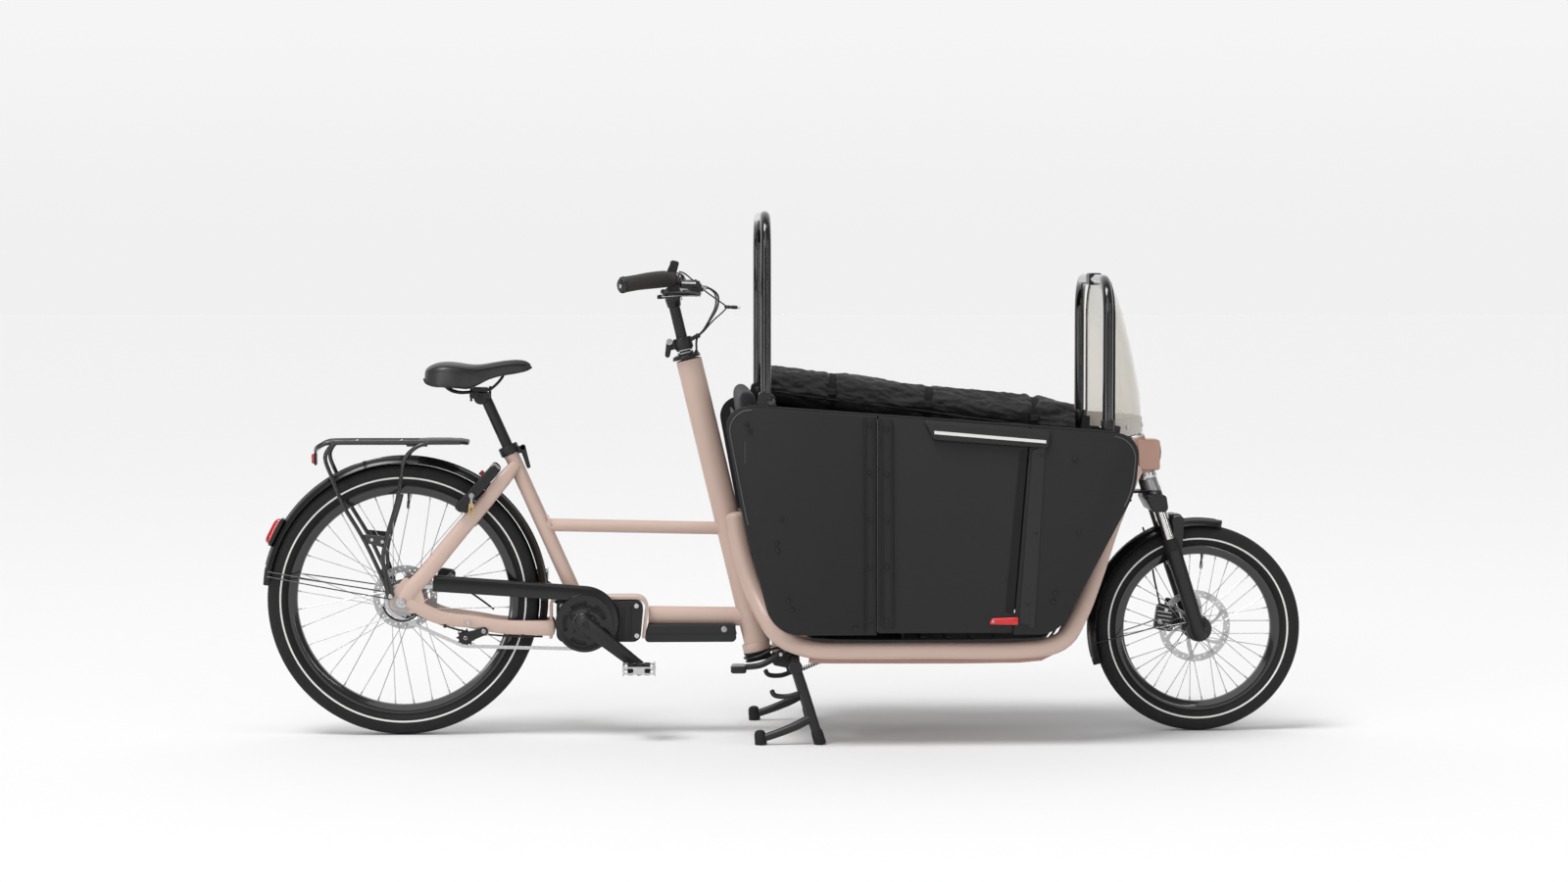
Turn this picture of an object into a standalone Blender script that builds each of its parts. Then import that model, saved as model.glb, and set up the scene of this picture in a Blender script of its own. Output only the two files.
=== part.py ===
"""A front-loading family cargo bicycle with an electric mid motor, in metres.

+X is forward, +Y the rider's left, +Z up. The ground is Z = 0 and the origin is the middle of the
bounding box at ground level. Each object is one piece; an empty stands on the axis of each joint.
"""

import math

import bmesh
import bpy
from mathutils import Vector

# Wheels
REAR_AXLE = Vector((-0.945, 0.0, 0.337))
REAR_RADIUS = 0.337
REAR_RIM = (0.262, 0.284)
REAR_GUARD = Vector((-0.9415, 0.0, 0.340))
FRONT_AXLE = Vector((1.035, 0.0, 0.2585))
FRONT_RADIUS = 0.2585
FRONT_RIM = (0.184, 0.206)
TYRE_HALF = 0.0275
SPOKES = 36

# Lines that the frame is laid out on: a point on the line, and how far it leans back per metre of rise
STEER_TOP, STEER_LEAN = Vector((-0.243, 0.0, 0.940)), 0.240
FORK_TOP, FORK_LEAN = Vector((0.908, 0.0, 0.635)), 0.325
SEAT_TOP, SEAT_LEAN = Vector((-0.679, 0.0, 0.700)), 0.450

# Drive
CRANK = Vector((-0.496, 0.0, 0.281))
CRANK_LENGTH = 0.170
CRANK_ANGLE = math.radians(-38)
CHAIN_Y = -0.052
CHAIN_HALF = 0.0039
CHAINRING_PITCH = 0.065
SPROCKET_PITCH = 0.0406
PULLEY, PULLEY_PITCH = Vector((-0.790, 0.0, 0.2455)), 0.0215
TENSIONER_PIVOT = Vector((-0.745, CHAIN_Y, 0.262))

# Cargo box
PANEL_IN, PANEL_OUT = 0.300, 0.310
DOOR_HINGE = Vector((0.213, -0.3105, 0.530))
HOOP_Y, HOOP_TUBE = 0.284, 0.0125
REAR_HOOP_X, REAR_HOOP_TOP = -0.055, 1.285
FRONT_HOOP_X, FRONT_HOOP_TOP = 0.772, 1.130
RAIL_TUBE = 0.0225

# Fork
STANCHION_Y = 0.060
ROTOR_HALF = 0.001
REAR_ROTOR_Y, REAR_ROTOR = 0.050, 0.080
FRONT_ROTOR_Y, FRONT_ROTOR = 0.034, 0.090

# Ring lock: its ring lies square to the wheel, along the seat stays
LOCK = Vector((-0.7785, 0.0, 0.6007))
LOCK_UP = Vector((0.677, 0.0, 0.736))
LOCK_OUT = Vector((-0.736, 0.0, 0.677))
LOCK_BOLT = 0.0595

STAND_PIVOT = Vector((0.019, 0.0, 0.188))
STAND_PEDAL = Vector((-0.012, -0.085, 0.205))
STAND_Y = 0.235
BRAKE_PIVOT = Vector((-0.215, 0.178, 1.096))
SHIFT_PIVOT = Vector((-0.275, -0.190, 1.093))
STEM_LEVER = Vector((-0.2845, 0.0, 0.975))
SEAT_LEVER = Vector((-0.6485, 0.0, 0.714))
LATCH_PIVOT = Vector((0.492, -0.313, 0.306))

FINISHES = {
    "frame_paint": ((0.60, 0.44, 0.38), 0.35, 0.4),
    "panel": ((0.035, 0.035, 0.038), 0.6, 0.0),
    "black_metal": ((0.02, 0.02, 0.022), 0.4, 0.6),
    "black_plastic": ((0.025, 0.025, 0.027), 0.5, 0.0),
    "silver": ((0.62, 0.62, 0.64), 0.25, 1.0),
    "tyre": ((0.015, 0.015, 0.016), 0.8, 0.0),
    "rubber": ((0.03, 0.03, 0.03), 0.75, 0.0),
    "fabric": ((0.03, 0.03, 0.032), 0.9, 0.0),
    "cushion": ((0.22, 0.22, 0.23), 0.9, 0.0),
    "clear": ((0.85, 0.85, 0.75), 0.05, 0.0),
    "red": ((0.75, 0.02, 0.02), 0.35, 0.0),
}


# Shapes, each one closed bmesh in world coordinates


def loft(sections, closed=False):
    """A skin over sections of equal length; closed joins the last one to the first."""
    shape = bmesh.new()
    rings = [[shape.verts.new(point) for point in section] for section in sections]
    pairs = list(zip(rings, rings[1:]))
    if closed:
        pairs.append((rings[-1], rings[0]))
    for first, second in pairs:
        count = len(first)
        for i in range(count):
            j = (i + 1) % count
            shape.faces.new((first[i], first[j], second[j], second[i]))
    if not closed:
        shape.faces.new(rings[0])
        shape.faces.new(rings[-1])
    bmesh.ops.recalc_face_normals(shape, faces=shape.faces)
    return shape


def prism(outline, low, high):
    """An outline of (x, z) points drawn out sideways from y = low to y = high."""
    return loft([[(x, y, z) for x, z in outline] for y in (low, high)])


def box(low, high):
    (x0, y0, z0), (x1, y1, z1) = low, high
    return prism([(x0, z0), (x1, z0), (x1, z1), (x0, z1)], y0, y1)


def turned(profile, centre, axis=(0, 1, 0), sides=16, ring=False):
    """A profile of (radius, distance along the axis) turned about it; ring closes the profile on itself."""
    axis = Vector(axis).normalized()
    down = Vector((0, 0, -1)) if abs(axis.z) < 0.8 else Vector((1, 0, 0))
    down = (down - axis * down.dot(axis)).normalized()
    across = axis.cross(down)
    turns = [2 * math.pi * k / sides for k in range(sides)]
    directions = [down * math.cos(turn) + across * math.sin(turn) for turn in turns]
    centre = Vector(centre)
    sections = [[centre + axis * along + d * radius for d in directions] for radius, along in profile]
    return loft(sections, closed=ring)


def tube(points, radius, sides=8, squash=1.0, closed=False):
    """A bar along points. The radius may be one for each point, and squash thins it across its bend."""
    points = [Vector(point) for point in points]
    count = len(points)
    radii = radius if isinstance(radius, (list, tuple)) else [radius] * count
    sections = []
    side = None
    for i, point in enumerate(points):
        ahead = points[(i + 1) % count] if closed or i < count - 1 else point
        behind = points[i - 1] if closed or i > 0 else point
        along = (ahead - behind).normalized()
        if side is None:
            flat = Vector((0, 1, 0)) if abs(along.y) < 0.9 else Vector((1, 0, 0))
            side = along.cross(flat)
        side = (side - along * side.dot(along)).normalized()
        across = along.cross(side) * squash
        turns = [2 * math.pi * (k + 0.5) / sides for k in range(sides)]
        ring = [point + (side * math.cos(t) + across * math.sin(t)) * radii[i] for t in turns]
        sections.append(ring)
    return loft(sections, closed=closed)


def smooth(points, steps=3):
    """Points on a curve through the given ones, which each stay on it."""
    points = [Vector(point) for point in points]
    ends = [points[0] * 2 - points[1]] + points + [points[-1] * 2 - points[-2]]
    curve = []
    for a, b, c, d in zip(ends, ends[1:], ends[2:], ends[3:]):
        for k in range(steps):
            t = k / steps
            curve.append(
                0.5 * (2 * b + (c - a) * t + (2 * a - 5 * b + 4 * c - d) * t**2
                       + (3 * b - a - 3 * c + d) * t**3)
            )
    return curve + [points[-1]]


def rounded(corners, steps=4):
    """An outline through corners (x, z, radius), each one made an arc of its radius."""
    outline = []
    for i, (x, z, radius) in enumerate(corners):
        here = Vector((x, z))
        if not radius:
            outline.append(tuple(here))
            continue
        back = (Vector(corners[i - 1][:2]) - here).normalized()
        on = (Vector(corners[(i + 1) % len(corners)][:2]) - here).normalized()
        half = back.angle(on) / 2
        centre = here + (back + on).normalized() * radius / math.sin(half)
        start = here + back * radius / math.tan(half) - centre
        end = here + on * radius / math.tan(half) - centre
        first = math.atan2(start.y, start.x)
        sweep = (math.atan2(end.y, end.x) - first + math.pi) % (2 * math.pi) - math.pi
        for k in range(steps + 1):
            turn = first + sweep * k / steps
            outline.append((centre.x + radius * math.cos(turn), centre.y + radius * math.sin(turn)))
    return outline


def arc_shell(axle, section, start, end, steps):
    """A section of (radius, y) points swept about an axle between two angles in degrees."""
    sections = []
    for k in range(steps + 1):
        turn = math.radians(start + (end - start) * k / steps)
        sections.append(
            [(axle.x + r * math.cos(turn), y, axle.z + r * math.sin(turn)) for r, y in section]
        )
    return loft(sections)


def mirrored(shape):
    """A copy of a shape on the other side of the middle plane."""
    copy = shape.copy()
    for vertex in copy.verts:
        vertex.co.y = -vertex.co.y
    bmesh.ops.reverse_faces(copy, faces=copy.faces)
    return copy


def scratch_object(shape, collection):
    mesh = bpy.data.meshes.new("scratch")
    shape.to_mesh(mesh)
    shape.free()
    obj = bpy.data.objects.new("scratch", mesh)
    collection.objects.link(obj)
    return obj


def combine(body, add=(), cut=()):
    """The body with the shapes in add joined to it, and then those in cut taken away."""
    root = bpy.context.scene.collection
    base = scratch_object(body, root)
    spent = [base]
    groups = []
    for operation, shapes in (("UNION", add), ("DIFFERENCE", cut)):
        if not shapes:
            continue
        group = bpy.data.collections.new(operation)
        root.children.link(group)
        groups.append(group)
        spent += [scratch_object(shape, group) for shape in shapes]
        modifier = base.modifiers.new(operation, "BOOLEAN")
        modifier.operation = operation
        modifier.operand_type = "COLLECTION"
        modifier.collection = group
        modifier.solver = "EXACT"
    bpy.context.view_layer.update()
    made = base.evaluated_get(bpy.context.evaluated_depsgraph_get())
    result = bmesh.new()
    result.from_mesh(made.to_mesh())
    made.to_mesh_clear()
    for obj in spent:
        bpy.data.meshes.remove(obj.data)
    for group in groups:
        bpy.data.collections.remove(group)
    return result


# Objects


def finish_of(slot):
    found = bpy.data.materials.get(slot)
    if found:
        return found
    colour, roughness, metallic = FINISHES[slot]
    made = bpy.data.materials.new(slot)
    made.use_nodes = True
    shader = made.node_tree.nodes["Principled BSDF"]
    shader.inputs["Base Color"].default_value = (*colour, 1.0)
    shader.inputs["Roughness"].default_value = roughness
    shader.inputs["Metallic"].default_value = metallic
    return made


def node(name, slot, shape, body=None):
    """One named piece, parented to the empty of the body that it moves with."""
    mesh = bpy.data.meshes.new(name)
    shape.to_mesh(mesh)
    shape.free()
    mesh.shade_smooth()
    mesh.set_sharp_from_angle(angle=math.radians(35))
    mesh.materials.append(finish_of(slot))
    obj = bpy.data.objects.new(name, mesh)
    bpy.context.scene.collection.objects.link(obj)
    if body:
        obj.parent = body
        obj.matrix_parent_inverse = body.matrix_world.inverted()
    return obj


def joint(name, place, parent=None):
    """An empty on a joint's axis."""
    empty = bpy.data.objects.new(name, None)
    empty.empty_display_size = 0.05
    bpy.context.scene.collection.objects.link(empty)
    empty.location = place
    bpy.context.view_layer.update()
    if parent:
        empty.parent = parent
        empty.matrix_parent_inverse = parent.matrix_world.inverted()
        bpy.context.view_layer.update()
    return empty


# Places on the three leaning lines


def line_at(top, lean, z, ahead=0.0, side=0.0):
    """The point of a leaning line at height z, moved square to it: ahead forwards and side to the left."""
    up = Vector((-lean, 0.0, 1.0)).normalized()
    forward = Vector((up.z, 0.0, -up.x))
    return Vector((top.x - lean * (z - top.z), side, z)) + forward * ahead


def steer_at(z, ahead=0.0, side=0.0):
    return line_at(STEER_TOP, STEER_LEAN, z, ahead, side)


def fork_at(z, ahead=0.0, side=0.0):
    return line_at(FORK_TOP, FORK_LEAN, z, ahead, side)


def seat_at(z, ahead=0.0, side=0.0):
    return line_at(SEAT_TOP, SEAT_LEAN, z, ahead, side)


def up_line(lean):
    return Vector((-lean, 0.0, 1.0)).normalized()


def turned_on(place_at, lean, steps, sides=16, ring=False):
    """Turned about a leaning line from (radius, height) steps."""
    stretch = math.sqrt(1 + lean * lean)
    base = steps[0][1]
    profile = [(radius, (z - base) * stretch) for radius, z in steps]
    return turned(profile, place_at(base), up_line(lean), sides, ring)


# Rear frame


def chain_stay(side):
    """side is 1 on the left and -1 on the right."""
    route = [
        (-0.570, 0.036, 0.270), (-0.605, 0.0455, 0.270), (-0.700, 0.050, 0.275),
        (-0.800, 0.057, 0.293), (-0.900, 0.0665, 0.322), (-0.934, 0.0675, 0.334),
    ]
    thick = [0.019, 0.0185, 0.0175, 0.016, 0.0125, 0.0115]
    return tube([(x, y * side, z) for x, y, z in route], thick, sides=10, squash=0.60)


def seat_stay(side):
    route = [
        (-0.662, 0.006, 0.676), (-0.695, 0.0440, 0.636), (-0.740, 0.048, 0.582),
        (-0.820, 0.056, 0.487), (-0.898, 0.0665, 0.394), (-0.934, 0.0675, 0.350),
    ]
    thick = [0.015, 0.0165, 0.0165, 0.0165, 0.0135, 0.0115]
    return tube([(x, y * side, z) for x, y, z in route], thick, sides=10, squash=0.60)


def motor_bracket():
    """A bridge of plate over the motor, open below it."""
    outer = rounded([(-0.5835, 0.240, 0), (-0.5835, 0.345, 0.020), (-0.335, 0.345, 0.028), (-0.346, 0.240, 0)])
    inner = rounded([(-0.354, 0.240, 0), (-0.343, 0.337, 0.020), (-0.576, 0.337, 0.012), (-0.576, 0.240, 0)])
    return prism(outer + inner, -0.037, 0.037)


def dropout(side):
    plate = rounded([(-0.972, 0.318, 0.012), (-0.916, 0.318, 0.012), (-0.905, 0.375, 0.012),
                     (-0.960, 0.362, 0.012)], steps=2)
    low, high = sorted((0.0645 * side, 0.0705 * side))
    return prism(plate, low, high)


def rear_frame():
    steering_tube = tube([steer_at(0.218, 0.004), steer_at(0.932, 0.004)], 0.032, sides=18, squash=0.85)
    seat_tube = turned_on(seat_at, SEAT_LEAN,
                          [(0.0175, 0.325), (0.0175, 0.696), (0.0215, 0.698), (0.0215, 0.718)])
    seat_tube = combine(seat_tube, cut=[box((-0.600, -0.050, 0.280), (-0.450, 0.050, 0.3405))])
    lower_tube = tube([(-0.343, 0, 0.294), (-0.085, 0, 0.290)], 0.023, sides=12, squash=0.8)
    top_tube = tube([(-0.600, 0, 0.521), (-0.145, 0, 0.511)], 0.0155, sides=12)
    axle = turned([(0.010, -0.080), (0.010, -0.069), (0.005, -0.069), (0.005, 0.069), (0.010, 0.069),
                   (0.010, 0.080)], REAR_AXLE, sides=10)
    seat_lug = box((-0.668, -0.007, 0.702), (-0.6545, 0.007, 0.716))
    tensioner_lug = box((-0.757, -0.0555, 0.250), (-0.733, -0.0445, 0.278))
    parts = [seat_tube, lower_tube, top_tube, motor_bracket(), axle, seat_lug, tensioner_lug]
    for side in (-1, 1):
        parts += [chain_stay(side), seat_stay(side), dropout(side)]
    steering_bore = turned_on(steer_at, STEER_LEAN, [(0.0218, 0.190), (0.0218, 0.970)])
    seat_bore = turned_on(seat_at, SEAT_LEAN, [(0.0145, 0.360), (0.0145, 0.740)])
    pin_hole = turned([(0.0046, -0.010), (0.0046, 0.010)], TENSIONER_PIVOT, sides=10)
    return combine(steering_tube, parts, [steering_bore, seat_bore, pin_hole])


# Cargo frame


def keel_beam():
    beam = box((-0.030, -0.028, 0.196), (0.640, 0.028, 0.232))
    cross = [turned([(0.0125, -half), (0.0125, half)], (x, 0, 0.2325), sides=10)
             for x, half in ((0.100, 0.2350), (0.560, 0.2385))]
    plate = box((0.002, -0.058, 0.1985), (0.036, 0.058, 0.205))
    lugs = [box((0.004, y - 0.004, 0.172), (0.034, y + 0.004, 0.202)) for y in (-0.054, 0.054)]
    pin = turned([(0.0045, -0.097), (0.0045, -0.020)], (STAND_PEDAL.x, 0, STAND_PEDAL.z), sides=8)
    hole = turned([(0.0108, -0.070), (0.0108, 0.070)], STAND_PIVOT, sides=12)
    return combine(beam, cross + [plate, pin] + lugs, [hole])


def side_rail(side):
    """The tube that leaves the steering tube, runs under one side of the box and rises to the head tube."""
    route = [
        (-0.127, 0.0555, 0.552), (-0.108, 0.059, 0.460), (-0.081, 0.080, 0.368), (-0.049, 0.135, 0.300),
        (-0.014, 0.200, 0.259), (0.046, 0.252, 0.2375), (0.120, 0.262, 0.2325), (0.560, 0.262, 0.2325),
        (0.662, 0.256, 0.251), (0.7105, 0.236, 0.316), (0.753, 0.200, 0.413), (0.793, 0.152, 0.515),
        (0.835, 0.106, 0.600), (0.872, 0.0545, 0.665),
    ]
    thick = [0.0235] * 5 + [RAIL_TUBE] * 7 + [0.0215, 0.0205]
    return tube([(x, y * side, z) for x, y, z in route], thick, sides=10)


def head_tube():
    housing = box((0.880, -0.030, 0.655), (0.937, 0.030, 0.731))
    barrel = turned_on(fork_at, FORK_LEAN, [(0.0258, 0.648), (0.0258, 0.734)])
    bore = turned_on(fork_at, FORK_LEAN, [(0.0160, 0.600), (0.0160, 0.780)])
    return combine(barrel, [housing], [bore])


# Cargo box


def panel_outline(inset=0.0, steps=4):
    """The side panel's outline from its rear top corner, going round by the front."""
    x, z = inset, inset
    return rounded([
        (-0.163 + x, 0.832 - z, 0.050), (0.850 - x, 0.7575 - z, 0.055), (0.838 - x, 0.620, 0.200),
        (0.653 - 0.7 * x, 0.274 + z, 0.085), (-0.038 + 0.8 * x, 0.274 + z, 0.085), (-0.112 + x, 0.560, 0.600),
    ], steps)


def side_panel(side):
    low, high = sorted((PANEL_IN * side, PANEL_OUT * side))
    return prism(panel_outline(), low, high)


BEHIND_DOOR = [(-0.5, 0.0), (0.2145, 0.0), (0.2145, 1.0), (-0.5, 1.0)]
BEYOND_HINGE = [(0.2115, 0.0), (1.2, 0.0), (1.2, 1.0), (0.2115, 1.0)]
BEYOND_DOOR = [(0.5150, 0.0), (1.2, 0.0), (1.2, 1.0), (0.5990, 1.0)]
BEHIND_FRONT = [(-0.5, 0.0), (0.5190, 0.0), (0.6030, 1.0), (-0.5, 1.0)]


def side_door():
    pull = box((0.325, -0.3185, 0.742), (0.632, -0.3102, 0.778))
    cuts = [prism(line, -0.35, -0.25) for line in (BEHIND_DOOR, BEYOND_DOOR)]
    plate = combine(side_panel(-1), cut=cuts + [box((0.1, -0.35, 0.20), (0.7, -0.25, 0.279))])
    root = box((0.340, -0.316, 0.746), (0.560, -0.305, 0.774))
    return combine(plate, [root, pull])


def box_tub():
    """The floor, rear wall and front wall, bent from one sheet, with the board that carries the bench."""
    outer = [(-0.128, 0.800), (-0.091, 0.560), (-0.056, 0.430), (-0.012, 0.330), (0.040, 0.275),
             (0.110, 0.258), (0.560, 0.258), (0.630, 0.276), (0.672, 0.340), (0.745, 0.480),
             (0.808, 0.610), (0.824, 0.690), (0.822, 0.722)]
    thick = 0.006
    inner = []
    for i, (x, z) in enumerate(outer):
        before = Vector(outer[max(i - 1, 0)])
        after = Vector(outer[min(i + 1, len(outer) - 1)])
        along = (after - before).normalized()
        inner.append((x - along.y * thick, z + along.x * thick))
    sheet = prism(outer + inner[::-1], -0.2985, 0.2985)
    board = box((0.275, -0.262, 0.262), (0.281, 0.262, 0.452))
    return combine(sheet, [board])


def bench_seat():
    outline = [(-0.125, 0.866), (-0.119, 0.800), (-0.082, 0.562), (-0.052, 0.454), (0.310, 0.454),
               (0.318, 0.478), (0.305, 0.500), (-0.004, 0.500), (-0.034, 0.560), (-0.074, 0.800), (-0.080, 0.868)]
    return prism(outline, -0.258, 0.258)


def hoop(x, foot, top):
    """An upside-down U of round tube, with a plate at each foot."""
    bend = 0.085
    route = [(x, -HOOP_Y, foot)]
    for centre, first in ((-HOOP_Y + bend, 180), (HOOP_Y - bend, 90)):
        for k in range(5):
            turn = math.radians(first - 22.5 * k)
            route.append((x, centre + bend * math.cos(turn), top - bend + bend * math.sin(turn)))
    route.append((x, HOOP_Y, foot))
    feet = [box((x - 0.020, y - 0.006, foot - 0.002), (x + 0.020, y + 0.006, foot + 0.075))
            for y in (-HOOP_Y - 0.009, HOOP_Y + 0.009)]
    return combine(tube(route, HOOP_TUBE, sides=10), feet)


def windscreen():
    """A bowed clear sheet in front of the front hoop."""
    levels = [(0.757, 0.102, 0.268), (0.840, 0.097, 0.268), (0.947, 0.076, 0.268),
              (1.050, 0.049, 0.266), (1.092, 0.033, 0.240), (1.126, 0.014, 0.188)]
    spread = [k / 4 - 1 for k in range(9)]
    sections = []
    for z, bulge, half in levels:
        front = [(0.789 + bulge * (1 - t * t), t * half, z) for t in spread]
        back = [(x - 0.003, y, z) for x, y, z in reversed(front)]
        sections.append(front + back)
    return loft(sections)


def rolled_tent():
    roll = tube([(-0.030, 0.214, 0.865), (0.170, 0.214, 0.838), (0.360, 0.214, 0.813), (0.560, 0.214, 0.787),
                 (0.748, 0.214, 0.763)], [0.046, 0.052, 0.050, 0.052, 0.047], sides=12)
    skirt = prism([(-0.020, 0.850), (-0.020, 0.742), (0.738, 0.660), (0.738, 0.752)], 0.250, 0.262)
    return combine(roll, [skirt])


# Wheels


def tyre(axle, radius, rim):
    """A ring whose bottom point touches the ground."""
    half = TYRE_HALF
    bead = rim[1] + 0.0005
    profile = [(bead, -0.012), (bead + 0.014, -half + 0.003), (radius - 0.022, -half), (radius - 0.006, -0.017),
               (radius, -0.006), (radius, 0.006), (radius - 0.006, 0.017), (radius - 0.022, half),
               (bead + 0.014, half - 0.003), (bead, 0.012)]
    return turned(profile, axle, sides=40, ring=True)


def spoke(axle, flange, rim, turn, twist, side):
    """From the hub's flange to the rim, leaning round the hub by twist."""
    def place(radius, angle, y):
        return (axle.x + radius * math.cos(angle), y, axle.z + radius * math.sin(angle))
    return tube([place(flange[0] - 0.004, turn + twist, side * flange[1]), place(rim + 0.004, turn, side * 0.004)],
                0.0012, sides=3)


def wheel(axle, rim, hub, flange, first_turn):
    """Rim, spokes and hub shell laced into one piece, bored for its fixed axle."""
    inner, outer = rim
    ring = turned([(inner, -0.008), (inner + 0.006, -0.0155), (outer, -0.0165), (outer, 0.0165),
                   (inner + 0.006, 0.0155), (inner, 0.008)], axle, sides=40, ring=True)
    half = hub[1]
    shell = turned([(0.014, -half), (hub[0], -flange[1] - 0.004), (flange[0], -flange[1] - 0.003),
                    (flange[0], -flange[1] + 0.003), (hub[0], -flange[1] + 0.005), (hub[0], flange[1] - 0.005),
                    (flange[0], flange[1] - 0.003), (flange[0], flange[1] + 0.003), (hub[0], flange[1] + 0.004),
                    (0.014, half)], axle, sides=16)
    spokes = []
    for k in range(SPOKES):
        turn = first_turn + 2 * math.pi * k / SPOKES
        twist = math.radians(38) * (1 if k % 4 < 2 else -1)
        spokes.append(spoke(axle, flange, inner, turn, twist, 1 if k % 2 else -1))
    bore = turned([(0.0057, -0.1), (0.0057, 0.1)], axle, sides=10)
    return combine(shell, [ring] + spokes, [bore])


def rotor(axle, radius, y, inner):
    """A brake disc bolted to the side of the hub."""
    return turned([(inner, y - ROTOR_HALF), (radius, y - ROTOR_HALF), (radius, y + ROTOR_HALF),
                   (inner, y + ROTOR_HALF)], axle, sides=32, ring=True)


# Drive


def around(centre, radius, start, end, steps):
    """Points on a circle in the XZ plane, at the chain's Y, turning from start to end."""
    points = []
    for k in range(steps + 1):
        turn = start + (end - start) * k / steps
        points.append(Vector((centre.x + radius * math.cos(turn), CHAIN_Y, centre.z + radius * math.sin(turn))))
    return points


def belt_turns(first, first_radius, second, second_radius):
    """The angle at which an outer belt, going round anticlockwise, leaves one circle for the next."""
    gap = second - first
    heading = math.atan2(gap.z, gap.x)
    return heading - math.acos((first_radius - second_radius) / math.hypot(gap.x, gap.z))


def chain_route():
    """The chain's middle line, anticlockwise: sprocket, pulley, chainring."""
    wheels = [(REAR_AXLE, SPROCKET_PITCH, 10), (PULLEY, PULLEY_PITCH, 3), (CRANK, CHAINRING_PITCH, 12)]
    points = []
    for i, (centre, radius, steps) in enumerate(wheels):
        before, before_radius, _ = wheels[i - 1]
        after, after_radius, _ = wheels[(i + 1) % 3]
        start = belt_turns(before, before_radius, centre, radius)
        end = belt_turns(centre, radius, after, after_radius)
        while end < start:
            end += 2 * math.pi
        points += around(centre, radius, start, end, steps)
    return points


def chain():
    route = chain_route()
    sections = []
    for i, point in enumerate(route):
        along = (route[(i + 1) % len(route)] - route[i - 1]).normalized()
        out = Vector((along.z, 0, -along.x)) * CHAIN_HALF
        half = Vector((0, 0.0035, 0))
        sections.append([point + out + half, point - out + half, point - out - half, point + out - half])
    return loft(sections, closed=True)


def chain_case():
    """A cover over the upper run and round the front of the chainring, open towards the frame."""
    leave = belt_turns(CRANK, CHAINRING_PITCH, REAR_AXLE, SPROCKET_PITCH)
    arrive = leave + 2 * math.pi
    front = around(CRANK, CHAINRING_PITCH, arrive - math.radians(118), arrive, 8)
    upper = around(REAR_AXLE, SPROCKET_PITCH, leave, leave, 1)[0]
    route = front + [front[-1].lerp(upper, 0.5), front[-1].lerp(upper, 0.84)]
    sections = []
    for i, point in enumerate(route):
        ahead = route[min(i + 1, len(route) - 1)]
        behind = route[max(i - 1, 0)]
        along = (ahead - behind).normalized()
        out = Vector((along.z, 0, -along.x))
        top = 0.0195 + 0.010 * i / len(route)
        section = [(-0.010, -0.0570), (-0.010, -0.0600), (top, -0.0600), (top, -0.0475),
                   (top - 0.003, -0.0475), (top - 0.003, -0.0570)]
        sections.append([point + out * reach + Vector((0, y - CHAIN_Y, 0)) for reach, y in section])
    return loft(sections)


def motor_housing():
    block = prism(rounded([(-0.565, 0.236, 0.014), (-0.565, 0.333, 0.012), (-0.3475, 0.333, 0.020),
                           (-0.3575, 0.236, 0.014)]), -0.0465, 0.0465)
    barrel = turned([(0.066, -0.0465), (0.066, 0.058)], CRANK, sides=24)
    barrel = combine(barrel, cut=[box((-0.7, -0.1, 0.3335), (-0.2, 0.1, 0.5))])
    bore = turned([(0.0120, -0.1), (0.0120, 0.1)], CRANK, sides=12)
    return combine(block, [barrel], [bore])


def crank_end(side):
    """The pedal axle's centre in the XZ plane; the left arm points the other way."""
    reach = CRANK_LENGTH if side < 0 else -CRANK_LENGTH
    return CRANK + Vector((math.cos(CRANK_ANGLE), 0, math.sin(CRANK_ANGLE))) * reach


def crank_arm(side):
    y = 0.081 * side
    end = crank_end(side)
    root, tip = Vector((CRANK.x, y, CRANK.z)), Vector((end.x, y, end.z))
    overrun = (tip - root).normalized() * 0.012
    points = [root - overrun, root, root.lerp(tip, 0.5), tip, tip + overrun]
    return tube(points, [0.015, 0.019, 0.0165, 0.0145, 0.010], sides=8, squash=0.5)


def crankset():
    """Spindle, both arms, chainring, its guard disc and the two pedal axles."""
    spindle = turned([(0.0112, -0.083), (0.0112, 0.083)], CRANK, sides=12)
    ring_radius = CHAINRING_PITCH - CHAIN_HALF - 0.0008
    ring = turned([(ring_radius, CHAIN_Y - 0.0015), (ring_radius, CHAIN_Y + 0.0015)], CRANK, sides=32)
    guard = turned([(0.020, -0.0500), (0.030, -0.0625), (0.072, -0.0628), (0.072, -0.0655), (0.020, -0.0700),
                    (0.020, -0.0780)], CRANK, sides=32)
    axles = []
    for side in (-1, 1):
        low, high = sorted((0.080 * side, 0.184 * side))
        axles.append(turned([(0.0045, low), (0.0045, high)], crank_end(side), sides=8))
    return combine(spindle, [ring, guard, crank_arm(-1), crank_arm(1)] + axles)


def pedal(side):
    """A barrel with a metal cage round it, open above and below."""
    end = crank_end(side)
    low, high = sorted((0.0965 * side, 0.188 * side))
    cage = box((end.x - 0.042, low, end.z - 0.013), (end.x + 0.042, high, end.z + 0.013))
    barrel = turned([(0.011, low), (0.011, high)], end, sides=10)
    windows = []
    for ahead in (-1, 1):
        x0, x1 = sorted((end.x + ahead * 0.0125, end.x + ahead * 0.037))
        windows.append(box((x0, low + 0.008, end.z - 0.05), (x1, high - 0.008, end.z + 0.05)))
    bore = turned([(0.0055, -0.3), (0.0055, 0.3)], end, sides=8)
    return combine(cage, [barrel], windows + [bore])


def rear_sprocket():
    radius = SPROCKET_PITCH - CHAIN_HALF - 0.0008
    return turned([(0.0100, CHAIN_Y - 0.002), (radius, CHAIN_Y - 0.002), (radius, CHAIN_Y + 0.002),
                   (0.0100, CHAIN_Y + 0.002)], REAR_AXLE, sides=24, ring=True)


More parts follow.
